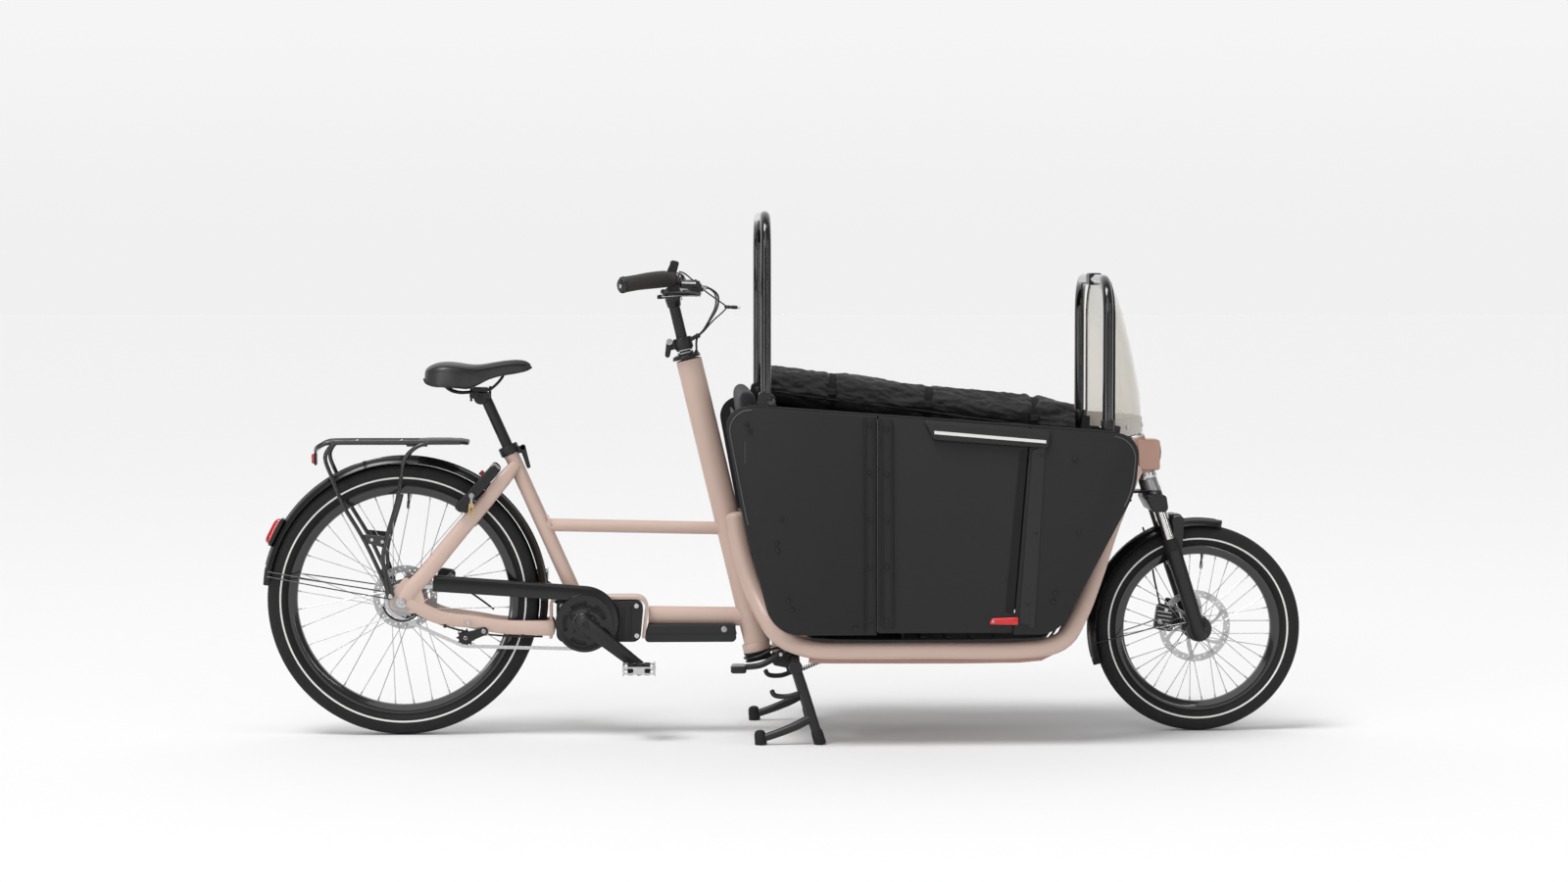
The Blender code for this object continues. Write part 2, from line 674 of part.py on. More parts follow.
def chain_tensioner():
    """An arm with its guide pulley, hung on a pin under the chainstay."""
    pulley = turned([(PULLEY_PITCH - CHAIN_HALF - 0.0006, CHAIN_Y - 0.003),
                     (PULLEY_PITCH - CHAIN_HALF - 0.0006, CHAIN_Y + 0.003)], PULLEY, sides=14)
    hub = turned([(0.006, -0.0630), (0.006, CHAIN_Y)], PULLEY, sides=8)
    plate_y = -0.0610
    arm = tube([(PULLEY.x, plate_y, PULLEY.z), (TENSIONER_PIVOT.x, plate_y, TENSIONER_PIVOT.z)],
               [0.012, 0.010], sides=8, squash=0.17)
    pin = turned([(0.0040, -0.0620), (0.0040, -0.0450)], (TENSIONER_PIVOT.x, 0, TENSIONER_PIVOT.z), sides=8)
    return combine(arm, [hub, pulley, pin])


# Rear end


def rear_mudguard():
    section = [(0.3385, -0.0310), (0.3485, -0.0250), (0.3540, -0.0110), (0.3540, 0.0110), (0.3485, 0.0250),
               (0.3385, 0.0310), (0.3375, 0.0285), (0.3460, 0.0235), (0.3510, 0.0100), (0.3510, -0.0100),
               (0.3460, -0.0235), (0.3375, -0.0285)]
    return arc_shell(REAR_GUARD, section, -14, 174, 24)


def tail_light():
    turn = math.radians(152.5)
    out = Vector((math.cos(turn), 0, math.sin(turn)))
    along = Vector((-out.z, 0, out.x))
    sections = []
    for reach, high, half in ((0.3545, 0.034, 0.022), (0.367, 0.030, 0.020), (0.3745, 0.020, 0.012)):
        centre = REAR_GUARD + out * reach
        sections.append([centre + along * a + Vector((0, y, 0))
                         for a, y in ((-high, -half), (high, -half), (high, half), (-high, half))])
    return loft(sections)


def rear_rack():
    deck_z = 0.729
    wire = 0.005
    corners = [(-1.150, -0.062), (-0.795, -0.062), (-0.780, -0.045), (-0.780, 0.045), (-0.795, 0.062),
               (-1.150, 0.062), (-1.158, 0.050), (-1.158, -0.050)]
    loop = tube([(x, y, deck_z) for x, y in corners], wire, closed=True)
    bars = [turned([(0.004, -0.062), (0.004, 0.062)], (x, 0, deck_z), sides=8) for x in (-1.06, -0.95, -0.85)]
    spine = tube([(-1.158, 0, deck_z), (-0.780, 0, deck_z)], 0.004)
    legs = []
    for side in (-1, 1):
        foot = (-0.972, 0.0765 * side, 0.350)
        legs.append(tube([(-1.105, 0.062 * side, deck_z), (-1.131, 0.069 * side, 0.687), (-1.086, 0.0775 * side, 0.574),
                          (-1.033, 0.0775 * side, 0.483), foot], wire))
        legs.append(tube([(-0.890, 0.062 * side, deck_z), (-0.936, 0.068 * side, 0.690), (-0.957, 0.0775 * side, 0.580),
                          (-0.985, 0.0775 * side, 0.483), foot], wire))
        low, high = sorted((0.0750 * side, 0.0800 * side))
        legs.append(prism([(-1.046, 0.505), (-0.978, 0.498), (-0.962, 0.360), (-0.982, 0.342)], low, high))
    block = box((-0.935, -0.014, 0.7160), (-0.885, 0.014, 0.7275))
    return combine(loop, bars + [spine, block] + legs)


def lock_point(radius, turn, depth):
    """A point of the ring lock: turn 0 is towards the hub, 90 degrees is to the left."""
    return (LOCK - LOCK_UP * radius * math.cos(turn) + Vector((0, radius * math.sin(turn), 0))
            + LOCK_OUT * depth)


def lock_sweep(section, start, end, steps):
    sections = []
    for k in range(steps + 1):
        turn = math.radians(start + (end - start) * k / steps)
        sections.append([lock_point(radius, turn, depth) for radius, depth in section])
    return loft(sections)


def ring_lock():
    """A horseshoe channel round the wheel, open on its outer face for the bolt."""
    inner, outer, groove = LOCK_BOLT - 0.0070, LOCK_BOLT + 0.0095, 0.0045
    section = [(inner, -0.017), (outer, -0.017), (outer, 0.008), (LOCK_BOLT + groove, 0.008),
               (LOCK_BOLT + groove, -0.003), (LOCK_BOLT - groove, -0.003), (LOCK_BOLT - groove, 0.008),
               (inner, 0.008)]
    channel = lock_sweep(section, 50, 310, 18)
    case = lock_sweep([(outer - 0.002, -0.017), (outer + 0.022, -0.017), (outer + 0.022, 0.008),
                       (outer - 0.002, 0.008)], 150, 210, 4)
    outline = [LOCK + LOCK_UP * up + LOCK_OUT * out
               for up, out in ((-0.047, -0.017), (0.094, -0.017), (0.094, 0.008), (-0.047, 0.008))]
    covers = [prism([(p.x, p.z) for p in outline], *sorted((0.0672 * side, 0.0765 * side))) for side in (-1, 1)]
    return combine(channel, [case] + covers)


def ring_lock_bolt():
    """The shackle at rest inside the channel, with its thumb lever."""
    half = 0.0038
    arc = lock_sweep([(LOCK_BOLT - half, -0.0025), (LOCK_BOLT + half, -0.0025), (LOCK_BOLT + half, 0.0060),
                      (LOCK_BOLT - half, 0.0060)], 193, 307, 9)
    lever = lock_sweep([(LOCK_BOLT - half, 0.003), (LOCK_BOLT + 0.006, 0.003), (LOCK_BOLT + 0.006, 0.0180),
                        (LOCK_BOLT - half, 0.0180)], 196, 208, 2)
    trim = lock_sweep([(LOCK_BOLT + half, 0.0), (LOCK_BOLT + 0.02, 0.0), (LOCK_BOLT + 0.02, 0.0088),
                       (LOCK_BOLT + half, 0.0088)], 190, 214, 2)
    return combine(arc, [combine(lever, cut=[trim])])


def rear_brake_caliper():
    """Two halves over the disc, and the hose that runs from it to the chainstay."""
    centre = Vector((-0.846, 0.0, 0.384))
    block = prism(rounded([(centre.x - 0.024, centre.z - 0.016, 0.006), (centre.x + 0.022, centre.z - 0.020, 0.006),
                           (centre.x + 0.026, centre.z + 0.020, 0.006), (centre.x - 0.014, centre.z + 0.024, 0.006)],
                          steps=2), 0.0405, 0.0600)
    slot = turned([(REAR_ROTOR + 0.003, REAR_ROTOR_Y - 0.0022), (REAR_ROTOR + 0.003, REAR_ROTOR_Y + 0.0022)],
                  REAR_AXLE, sides=32)
    hose = tube(smooth([(-0.830, 0.054, 0.372), (-0.808, 0.0575, 0.362), (-0.780, 0.0620, 0.345),
                        (-0.750, 0.0610, 0.324), (-0.724, 0.0545, 0.305)], 2),
                0.0026, sides=8)
    return combine(block, [hose], [slot])


# Seat


def seatpost():
    post = turned_on(seat_at, SEAT_LEAN, [(0.0140, 0.500), (0.0140, 0.866)])
    head = box((-0.782, -0.030, 0.858), (-0.728, 0.030, 0.872))
    rails = [tube([(-0.862, y, 0.8775), (-0.840, y, 0.8745), (-0.680, y, 0.8745), (-0.662, y, 0.8775)], 0.0035)
             for y in (-0.017, 0.017)]
    return combine(post, [head] + rails)


def saddle():
    outline = [(-0.891, 0.052, 0.900, 0.886), (-0.868, 0.082, 0.924, 0.888), (-0.820, 0.088, 0.932, 0.888),
               (-0.770, 0.068, 0.928, 0.887), (-0.720, 0.042, 0.922, 0.887), (-0.665, 0.026, 0.921, 0.889),
               (-0.625, 0.014, 0.912, 0.897)]
    sections = []
    for x, half, top, base in outline:
        drop = base - 0.35 * half
        sections.append([(x, -half, drop), (x, -half, drop + 0.010), (x, -0.75 * half, top - 0.006), (x, 0, top),
                         (x, 0.75 * half, top - 0.006), (x, half, drop + 0.010), (x, half, drop),
                         (x, 0.85 * half, base), (x, -0.85 * half, base)])
    return loft(sections)


def seat_clamp_lever():
    boss = turned([(0.0055, -0.010), (0.0055, 0.010)], SEAT_LEVER, sides=10)
    arm = tube([SEAT_LEVER, SEAT_LEVER + Vector((0.008, 0, -0.020)), SEAT_LEVER + Vector((0.018, 0, -0.046))],
               [0.0045, 0.0045, 0.0035], sides=6)
    return combine(boss, [arm])


# Steering


def steering_shaft():
    """The column inside the steering tube: bearings, cap, stem clamp with its hose guide, and cable drum."""
    column = turned_on(steer_at, STEER_LEAN, [
        (0.0120, 0.182), (0.0350, 0.183), (0.0350, 0.186), (0.0310, 0.190), (0.0310, 0.198), (0.0350, 0.202),
        (0.0350, 0.2055), (0.0120, 0.206), (0.0120, 0.232), (0.0210, 0.233), (0.0210, 0.248), (0.0120, 0.249),
        (0.0120, 0.790), (0.0165, 0.800), (0.0165, 0.900), (0.0210, 0.901), (0.0210, 0.925), (0.0165, 0.926),
        (0.0165, 0.9335), (0.0345, 0.934), (0.0330, 0.942), (0.0190, 0.944), (0.0190, 0.955), (0.0225, 0.956),
        (0.0225, 0.986),
    ], sides=20)
    bore = turned_on(steer_at, STEER_LEAN, [(0.0143, 0.806), (0.0143, 1.010)], sides=16)
    guide = prism([(-0.240, 0.974), (-0.2255, 0.980), (-0.2255, 0.988), (-0.242, 0.983)], -0.014, 0.014)
    lug = box((-0.2780, -0.008, 0.966), (-0.262, 0.008, 0.982))
    return combine(column, [guide, lug], [bore])


def bar_route(side, first=0, last=None):
    route = [(-0.277, 0.0, 1.094), (-0.274, 0.040, 1.096), (-0.270, 0.090, 1.106), (-0.272, 0.150, 1.124),
             (-0.282, 0.205, 1.131), (-0.300, 0.240, 1.131), (-0.345, 0.284, 1.126), (-0.394, 0.319, 1.118)]
    return [(x, y * side, z) for x, y, z in route[first:last]]


def handlebar():
    """Stem, bar and both brake cylinders, which all clamp together."""
    quill = turned_on(steer_at, STEER_LEAN, [(0.0138, 0.870), (0.0138, 1.086)])
    stem_head = turned([(0.021, -0.026), (0.021, 0.026)], (-0.277, 0, 1.093), sides=14)
    whole_bar = bar_route(-1)[::-1] + bar_route(1)[1:]
    bar = tube(whole_bar, 0.0110, sides=10)
    cylinders = []
    for side in (-1, 1):
        low, high = sorted((0.172 * side, 0.194 * side))
        cylinders.append(turned([(0.0165, low), (0.0165, high)], (-0.2760, 0, 1.127), sides=12))
        cylinders.append(tube([(-0.270, 0.183 * side, 1.119), (-0.2005, 0.183 * side, 1.111)], 0.0085))
    pod = box((-0.290, -0.206, 1.0985), (-0.262, -0.174, 1.118))
    return combine(bar, [quill, stem_head, pod] + cylinders)


def grip(side):
    route = bar_route(side, 4)
    route[0] = (-0.2835, 0.2085 * side, 1.131)
    end = Vector(route[-1])
    beyond = end + (end - Vector(route[-2])).normalized() * 0.006
    outer = tube(smooth(route + [beyond], 2), 0.0172, sides=12)
    bore = tube(smooth(route, 2) + [end + (end - Vector(route[-2])).normalized() * 0.002], 0.0126, sides=12)
    mouth = Vector(route[0]) + (Vector(route[0]) - Vector(route[1])).normalized() * 0.01
    entry = tube([mouth, Vector(route[0]).lerp(Vector(route[1]), 0.5)], 0.0126, sides=12)
    return combine(outer, cut=[bore, entry])


def brake_lever(side):
    pivot = Vector((BRAKE_PIVOT.x, BRAKE_PIVOT.y * side, BRAKE_PIVOT.z))
    route = [(-0.216, 0.170 * side, 1.096), (-0.222, 0.200 * side, 1.096), (-0.240, 0.240 * side, 1.098),
             (-0.272, 0.280 * side, 1.098), (-0.305, 0.305 * side, 1.097)]
    blade = tube(smooth(route, 2), [0.006] * 3 + [0.0045] * 5 + [0.005], sides=8)
    pin = turned([(0.004, -0.006), (0.004, 0.0058)], pivot, axis=(0, 0, 1), sides=8)
    return combine(blade, [pin])


def display():
    """A small screen standing on the bar by the right grip."""
    outline = rounded([(-0.296, 1.139, 0.003), (-0.272, 1.139, 0.003), (-0.262, 1.174, 0.006), (-0.279, 1.178, 0.004)],
                      steps=2)
    return prism(outline, -0.150, -0.104)


def shift_lever():
    paddle = prism(rounded([(-0.316, 1.084, 0.003), (-0.266, 1.088, 0.003), (-0.266, 1.0975, 0.003),
                            (-0.316, 1.0945, 0.003)], steps=2), -0.202, -0.178)
    return paddle


def hose_end(side):
    return steer_at(0.9435, 0.026, side)


def brake_hose(side):
    """From the brake cylinder, forward and down past the guide into the steering cap."""
    route = [(-0.1998, 0.183 * side, 1.111), (-0.186, 0.182 * side, 1.108), (-0.168, 0.158 * side, 1.092),
             (-0.168, 0.100 * side, 1.062), (-0.184, 0.040 * side, 1.030), (-0.200, 0.012 * side, 1.004),
             steer_at(0.975, 0.0335, 0.007 * side), hose_end(0.008 * side)]
    return tube(smooth(route, 3), 0.0024, sides=8)


def display_cable():
    """From the display, out to its plug connection and back to the steering cap."""
    route = [(-0.2620, -0.127, 1.150), (-0.245, -0.124, 1.143), (-0.205, -0.105, 1.108), (-0.170, -0.072, 1.082),
             (-0.146, -0.040, 1.064), (-0.150, -0.020, 1.052), (-0.176, -0.006, 1.028), (-0.198, 0.0, 1.003),
             steer_at(0.975, 0.0345), hose_end(0.0)]
    cable = tube(smooth(route, 3), 0.0018, sides=8)
    plug = turned([(0.0025, 0.0), (0.0045, 0.004), (0.0045, 0.030), (0.003, 0.034)],
                  (-0.149, -0.036, 1.0625), axis=(1, -0.1, -0.05), sides=8)
    return combine(cable, [plug])


def stem_clamp_lever():
    boss = turned([(0.006, -0.010), (0.006, 0.010)], STEM_LEVER, sides=10)
    arm = tube([STEM_LEVER, STEM_LEVER + Vector((-0.003, 0, -0.014)), STEM_LEVER + Vector((-0.004, 0, -0.030))],
               [0.0055, 0.0060, 0.0045], sides=8)
    return combine(boss, [arm])


def steering_cable():
    """The sheathed cable that goes from the fork's arm along the keel, round the drum and back."""
    side_run = [(0.834, 0.030, 0.601), (0.822, 0.036, 0.575), (0.790, 0.044, 0.508), (0.760, 0.048, 0.420),
                (0.715, 0.044, 0.325), (0.684, 0.038, 0.250), (0.645, 0.0345, 0.218), (0.560, 0.0330, 0.2145),
                (0.300, 0.0330, 0.2145), (0.060, 0.0330, 0.2145), (-0.018, 0.0335, 0.2145), (-0.040, 0.0365, 0.2060)]
    loop = []
    for k in range(9):
        turn = math.radians(90 - 22.5 * k)
        loop.append(steer_at(0.194, -0.0355 * math.cos(turn), 0.0355 * math.sin(turn)))
    route = side_run + loop + [(x, -y, z) for x, y, z in reversed(side_run)]
    return tube(route, 0.0030, sides=8)


# Fork


def fork_crown():
    """Steerer, bottom race, crown with its cable arm, and the two stanchions."""
    column = turned_on(fork_at, FORK_LEAN, [(0.0240, 0.585), (0.0240, 0.630), (0.0205, 0.6470), (0.0145, 0.6475),
                                            (0.0145, 0.7375), (0.0200, 0.7380), (0.0200, 0.7440)])
    crown = prism(rounded([(0.9145, 0.556, 0.008), (0.9500, 0.556, 0.008), (0.9430, 0.592, 0.008),
                           (0.8930, 0.592, 0.008)], steps=2), -0.078, 0.078)
    arm = box((0.852, -0.042, 0.598), (0.915, 0.042, 0.604))
    stanchions = [turned([(0.0145, 0.0), (0.0145, 0.232)], fork_at(0.360, 0, y), up_line(FORK_LEAN), sides=14)
                  for y in (-STANCHION_Y, STANCHION_Y)]
    return combine(column, [crown, arm] + stanchions)


def fork_leg(side):
    y = STANCHION_Y * side
    leg = turned_on(lambda z: fork_at(z, 0, y), FORK_LEAN, [(0.0160, 0.236), (0.0205, 0.262), (0.0205, 0.468)], sides=14)
    low, high = sorted((0.0385 * side, 0.0500 * side))
    foot = prism(rounded([(1.016, 0.238, 0.010), (1.052, 0.240, 0.010), (1.050, 0.276, 0.010), (1.008, 0.286, 0.010)],
                         steps=2), low, high)
    return leg, foot


def fork_lowers():
    """Both legs with the arch that joins them over the wheel, and the wheel's fixed axle."""
    parts = []
    bores = []
    for side in (-1, 1):
        parts += fork_leg(side)
        y = STANCHION_Y * side
        bores.append(turned_on(lambda z: fork_at(z, 0, y), FORK_LEAN, [(0.0150, 0.300), (0.0150, 0.500)], sides=14))
        low, high = sorted((0.0450 * side, 0.0700 * side))
        parts.append(prism([(0.968, 0.430), (0.992, 0.430), (0.995, 0.5425), (0.968, 0.5425)], low, high))
    arch = box((0.968, -0.070, 0.5325), (0.995, 0.070, 0.5425))
    axle = turned([(0.005, -0.052), (0.005, 0.052)], FRONT_AXLE, sides=10)
    return combine(arch, parts + [axle], bores)


def front_mudguard():
    section = [(0.2640, -0.0330), (0.2700, -0.0260), (0.2745, -0.0120), (0.2745, 0.0120), (0.2700, 0.0260),
               (0.2640, 0.0330), (0.2630, 0.0305), (0.2675, 0.0245), (0.2715, 0.0110), (0.2715, -0.0110),
               (0.2675, -0.0245), (0.2630, -0.0305)]
    return arc_shell(FRONT_AXLE, section, 77, 199, 16)


def front_brake_caliper():
    """Two halves over the disc behind the left leg, and the hose up the leg to the crown."""
    block = prism(rounded([(0.936, 0.256, 0.006), (0.978, 0.250, 0.006), (0.986, 0.300, 0.006), (0.944, 0.316, 0.006)],
                          steps=2), 0.0250, 0.0540)
    slot = turned([(FRONT_ROTOR + 0.003, FRONT_ROTOR_Y - 0.0022), (FRONT_ROTOR + 0.003, FRONT_ROTOR_Y + 0.0022)],
                  FRONT_AXLE, sides=32)
    hose = tube(smooth([(0.950, 0.046, 0.308), (0.945, 0.054, 0.335), (0.936, 0.062, 0.380), (0.928, 0.066, 0.430),
                        (0.916, 0.068, 0.480), (0.908, 0.068, 0.505)], 2), 0.0024, sides=8)
    return combine(block, [hose], [slot])


# Stand


def stand():
    """Two forked legs on a cross tube; each leg stands on a front foot and a rear foot."""
    px, pz = STAND_PIVOT.x, STAND_PIVOT.z
    cross = turned([(0.0100, -STAND_Y - 0.010), (0.0100, STAND_Y + 0.010)], STAND_PIVOT, sides=12)
    parts = []
    for side in (-1, 1):
        y = STAND_Y * side
        parts.append(tube([(px, y, pz), (0.052, y, 0.088), (0.0835, y, -0.010)], 0.0120, sides=10))
        parts.append(tube([(0.058, y, 0.060), (-0.065, y, 0.0145)], [0.0110, 0.0095], sides=8))
        low, high = sorted(((STAND_Y - 0.014) * side, (STAND_Y + 0.014) * side))
        parts.append(prism(rounded([(-0.080, 0.0, 0.005), (-0.050, 0.0, 0.005), (-0.050, 0.030, 0.010),
                                    (-0.080, 0.030, 0.010)], steps=2), low, high))
        parts.append(turned([(0.016, -0.002), (0.0145, 0.030)], (0.0790, y, 0.0), up_line(-0.32), sides=12))
    return combine(cross, parts, [box((-0.3, -0.5, -0.1), (0.3, 0.5, 0.0))])


def stand_pedal():
    """The foot lever that lets the stand down, on a pin of the keel."""
    boss = turned([(0.010, -0.0110), (0.010, 0.0110)], STAND_PEDAL, sides=12)
    arm = tube([STAND_PEDAL, (-0.060, -0.085, 0.178), (-0.112, -0.085, 0.172)], [0.008, 0.0065, 0.006], sides=8)
    pad = box((-0.134, -0.104, 0.168), (-0.098, -0.066, 0.178))
    bore = turned([(0.0052, -0.02), (0.0052, 0.02)], STAND_PEDAL, sides=8)
    return combine(boss, [arm, pad], [bore])


def door_latch():
    """The red tab that holds the door's lower corner."""
    outline = rounded([(0.482, 0.2985, 0.006), (0.553, 0.2985, 0.003), (0.553, 0.3135, 0.003), (0.482, 0.3135, 0.006)],
                      steps=2)
    return prism(outline, -0.3165, -0.3104)


def build_frame():
    node("rear_frame", "frame_paint", rear_frame())
    node("keel_beam", "frame_paint", keel_beam())
    node("right_side_rail", "frame_paint", side_rail(-1))
    node("left_side_rail", "frame_paint", side_rail(1))
    node("head_tube", "frame_paint", head_tube())
    node("motor_housing", "black_plastic", motor_housing())
    node("chain_case", "black_plastic", chain_case())
    node("battery", "black_plastic", prism(rounded([(-0.330, 0.2305, 0.004), (-0.122, 0.2305, 0.004),
                                                    (-0.124, 0.2660, 0.004), (-0.330, 0.2660, 0.004)], steps=2),
                                           -0.038, 0.038))
    node("chain", "silver", chain())
    node("rear_mudguard", "black_plastic", rear_mudguard())
    node("rear_rack", "black_metal", rear_rack())
    node("tail_light", "red", tail_light())
    node("ring_lock", "black_metal", ring_lock())
    node("rear_brake_caliper", "black_metal", rear_brake_caliper())
    node("steering_cable", "rubber", steering_cable())


def build_box():
    node("box_tub", "panel", box_tub())
    node("left_side_panel", "panel", side_panel(1))
    node("right_rear_panel", "panel", combine(side_panel(-1), cut=[prism(BEYOND_HINGE, -0.35, -0.25)]))
    node("right_front_panel", "panel", combine(side_panel(-1), cut=[prism(BEHIND_FRONT, -0.35, -0.25)]))
    node("bench_seat", "cushion", bench_seat())
    node("rear_hoop", "black_metal", hoop(REAR_HOOP_X, 0.700, REAR_HOOP_TOP))
    node("front_hoop", "black_metal", hoop(FRONT_HOOP_X, 0.640, FRONT_HOOP_TOP))
    node("windscreen", "clear", windscreen())
    node("rolled_tent", "fabric", rolled_tent())
    door = joint("door_joint", DOOR_HINGE)
    node("side_door", "panel", side_door(), door)
    node("door_latch", "red", door_latch(), joint("latch_joint", LATCH_PIVOT, door))


def build_drive():
    crank = joint("crank_joint", CRANK)
    node("crankset", "black_metal", crankset(), crank)
    for name, side in (("right", -1), ("left", 1)):
        node(f"{name}_pedal", "silver", pedal(side), joint(f"{name}_pedal_joint", crank_end(side), crank))
    node("rear_sprocket", "silver", rear_sprocket(), joint("sprocket_joint", REAR_AXLE))
    node("chain_tensioner", "black_plastic", chain_tensioner(), joint("tensioner_joint", TENSIONER_PIVOT))
    rear = joint("rear_wheel_joint", REAR_AXLE)
    node("rear_tyre", "tyre", tyre(REAR_AXLE, REAR_RADIUS, REAR_RIM), rear)
    node("rear_rim", "silver", wheel(REAR_AXLE, REAR_RIM, (0.038, 0.046), (0.046, 0.030), math.radians(5.4)), rear)
    node("rear_brake_disc", "silver", rotor(REAR_AXLE, REAR_ROTOR, REAR_ROTOR_Y, 0.012), rear)


def build_steering():
    column = joint("steering_joint", steer_at(0.940))
    node("steering_shaft", "black_metal", steering_shaft(), column)
    node("stem_clamp_lever", "black_metal", stem_clamp_lever(), joint("stem_lever_joint", STEM_LEVER, column))
    bars = joint("height_joint", steer_at(0.990), column)
    node("handlebar", "black_metal", handlebar(), bars)
    node("display", "black_plastic", display(), bars)
    node("display_cable", "rubber", display_cable(), bars)
    node("shift_lever", "black_plastic", shift_lever(), joint("shift_joint", SHIFT_PIVOT, bars))
    for name, side in (("right", -1), ("left", 1)):
        node(f"{name}_grip", "rubber", grip(side), bars)
        node(f"{name}_brake_hose", "rubber", brake_hose(side), bars)
        pivot = Vector((BRAKE_PIVOT.x, BRAKE_PIVOT.y * side, BRAKE_PIVOT.z))
        node(f"{name}_brake_lever", "black_metal", brake_lever(side), joint(f"{name}_brake_joint", pivot, bars))


def build_fork():
    steer = joint("fork_joint", fork_at(0.635))
    node("fork_crown", "silver", fork_crown(), steer)
    travel = joint("travel_joint", fork_at(0.440), steer)
    node("fork_lowers", "black_metal", fork_lowers(), travel)
    node("front_mudguard", "black_plastic", front_mudguard(), travel)
    node("front_brake_caliper", "black_metal", front_brake_caliper(), travel)
    front = joint("front_wheel_joint", FRONT_AXLE, travel)
    node("front_tyre", "tyre", tyre(FRONT_AXLE, FRONT_RADIUS, FRONT_RIM), front)
    node("front_rim", "silver", wheel(FRONT_AXLE, FRONT_RIM, (0.022, 0.0365), (0.032, 0.026), math.radians(5)), front)
    node("front_brake_disc", "silver", rotor(FRONT_AXLE, FRONT_ROTOR, FRONT_ROTOR_Y, 0.0375), front)


def build_small_movers():
    seat = joint("seat_joint", seat_at(0.718))
    node("seatpost", "black_metal", seatpost(), seat)
    node("saddle", "rubber", saddle(), seat)
    node("seat_clamp_lever", "black_metal", seat_clamp_lever(), joint("seat_lever_joint", SEAT_LEVER))
    node("ring_lock_bolt", "silver", ring_lock_bolt(), joint("lock_joint", LOCK))
    node("stand", "black_metal", stand(), joint("stand_joint", STAND_PIVOT))
    node("stand_pedal", "black_metal", stand_pedal(), joint("stand_pedal_joint", STAND_PEDAL))


def main():
    for obj in list(bpy.data.objects):
        bpy.data.objects.remove(obj, do_unlink=True)
    build_frame()
    build_box()
    build_drive()
    build_steering()
    build_fork()
    build_small_movers()


main()
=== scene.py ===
"""The looks of a front-loading family cargo bicycle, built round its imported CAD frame, in metres.

+X is forward, +Y the rider's left, +Z up, and the ground is Z = 0.
"""

import math

import bmesh
import bpy
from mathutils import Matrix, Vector, noise


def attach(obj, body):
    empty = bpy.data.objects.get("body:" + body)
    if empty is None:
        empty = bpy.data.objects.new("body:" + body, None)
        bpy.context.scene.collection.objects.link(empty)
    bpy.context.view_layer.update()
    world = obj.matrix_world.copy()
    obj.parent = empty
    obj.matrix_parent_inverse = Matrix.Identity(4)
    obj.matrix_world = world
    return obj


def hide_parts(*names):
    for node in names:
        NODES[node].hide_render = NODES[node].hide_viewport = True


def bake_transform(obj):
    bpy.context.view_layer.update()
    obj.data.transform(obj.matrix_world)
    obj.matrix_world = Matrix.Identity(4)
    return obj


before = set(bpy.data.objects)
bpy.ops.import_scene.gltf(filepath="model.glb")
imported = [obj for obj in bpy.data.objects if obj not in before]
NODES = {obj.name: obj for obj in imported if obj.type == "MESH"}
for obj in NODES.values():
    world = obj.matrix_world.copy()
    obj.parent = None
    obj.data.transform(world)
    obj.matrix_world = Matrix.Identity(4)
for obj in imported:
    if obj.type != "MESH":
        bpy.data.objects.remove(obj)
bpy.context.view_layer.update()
SCENE = bpy.context.scene

REAR_AXLE = Vector((-0.945, 0.0, 0.337))
FRONT_AXLE = Vector((1.035, 0.0, 0.2585))
REAR_GUARD = Vector((-0.9415, 0.0, 0.340))
CRANK = Vector((-0.496, 0.0, 0.281))
CRANK_ANGLE, CRANK_LENGTH = math.radians(-38), 0.170
STEER_TOP, STEER_LEAN = Vector((-0.243, 0.0, 0.940)), 0.240
FORK_TOP, FORK_LEAN = Vector((0.908, 0.0, 0.635)), 0.325
SEAT_TOP, SEAT_LEAN = Vector((-0.679, 0.0, 0.700)), 0.450
CHAIN_Y, CHAINRING_PITCH, SPROCKET_PITCH = -0.052, 0.065, 0.0406
PULLEY, PULLEY_PITCH = Vector((-0.790, 0.0, 0.2455)), 0.0215
TENSIONER_PIVOT = Vector((-0.745, CHAIN_Y, 0.262))
LOCK = Vector((-0.7785, 0.0, 0.6007))
LOCK_UP, LOCK_OUT = Vector((0.677, 0.0, 0.736)), Vector((-0.736, 0.0, 0.677))
HOOP_Y = 0.284
REAR_HOOP_X, REAR_HOOP_TOP = -0.055, 1.285
FRONT_HOOP_X, FRONT_HOOP_TOP = 0.772, 1.130
STAND_PIVOT, STAND_Y = Vector((0.019, 0.0, 0.188)), 0.235
STAND_PEDAL = Vector((-0.012, -0.085, 0.205))
STEM_LEVER = Vector((-0.2845, 0.0, 0.975))
SEAT_LEVER = Vector((-0.6485, 0.0, 0.714))


# Shapes


def loft(sections, closed=False):
    """A skin over sections of equal length; closed joins the last one to the first."""
    shape = bmesh.new()
    rings = [[shape.verts.new(point) for point in section] for section in sections]
    pairs = list(zip(rings, rings[1:]))
    if closed:
        pairs.append((rings[-1], rings[0]))
    for first, second in pairs:
        count = len(first)
        for i in range(count):
            j = (i + 1) % count
            shape.faces.new((first[i], first[j], second[j], second[i]))
    if not closed:
        shape.faces.new(rings[0])
        shape.faces.new(rings[-1])
    bmesh.ops.recalc_face_normals(shape, faces=shape.faces)
    return shape


def prism(outline, low, high):
    """An outline of (x, z) points drawn out sideways from y = low to y = high."""
    return loft([[(x, y, z) for x, z in outline] for y in (low, high)])


def box(low, high):
    (x0, y0, z0), (x1, y1, z1) = low, high
    return prism([(x0, z0), (x1, z0), (x1, z1), (x0, z1)], y0, y1)


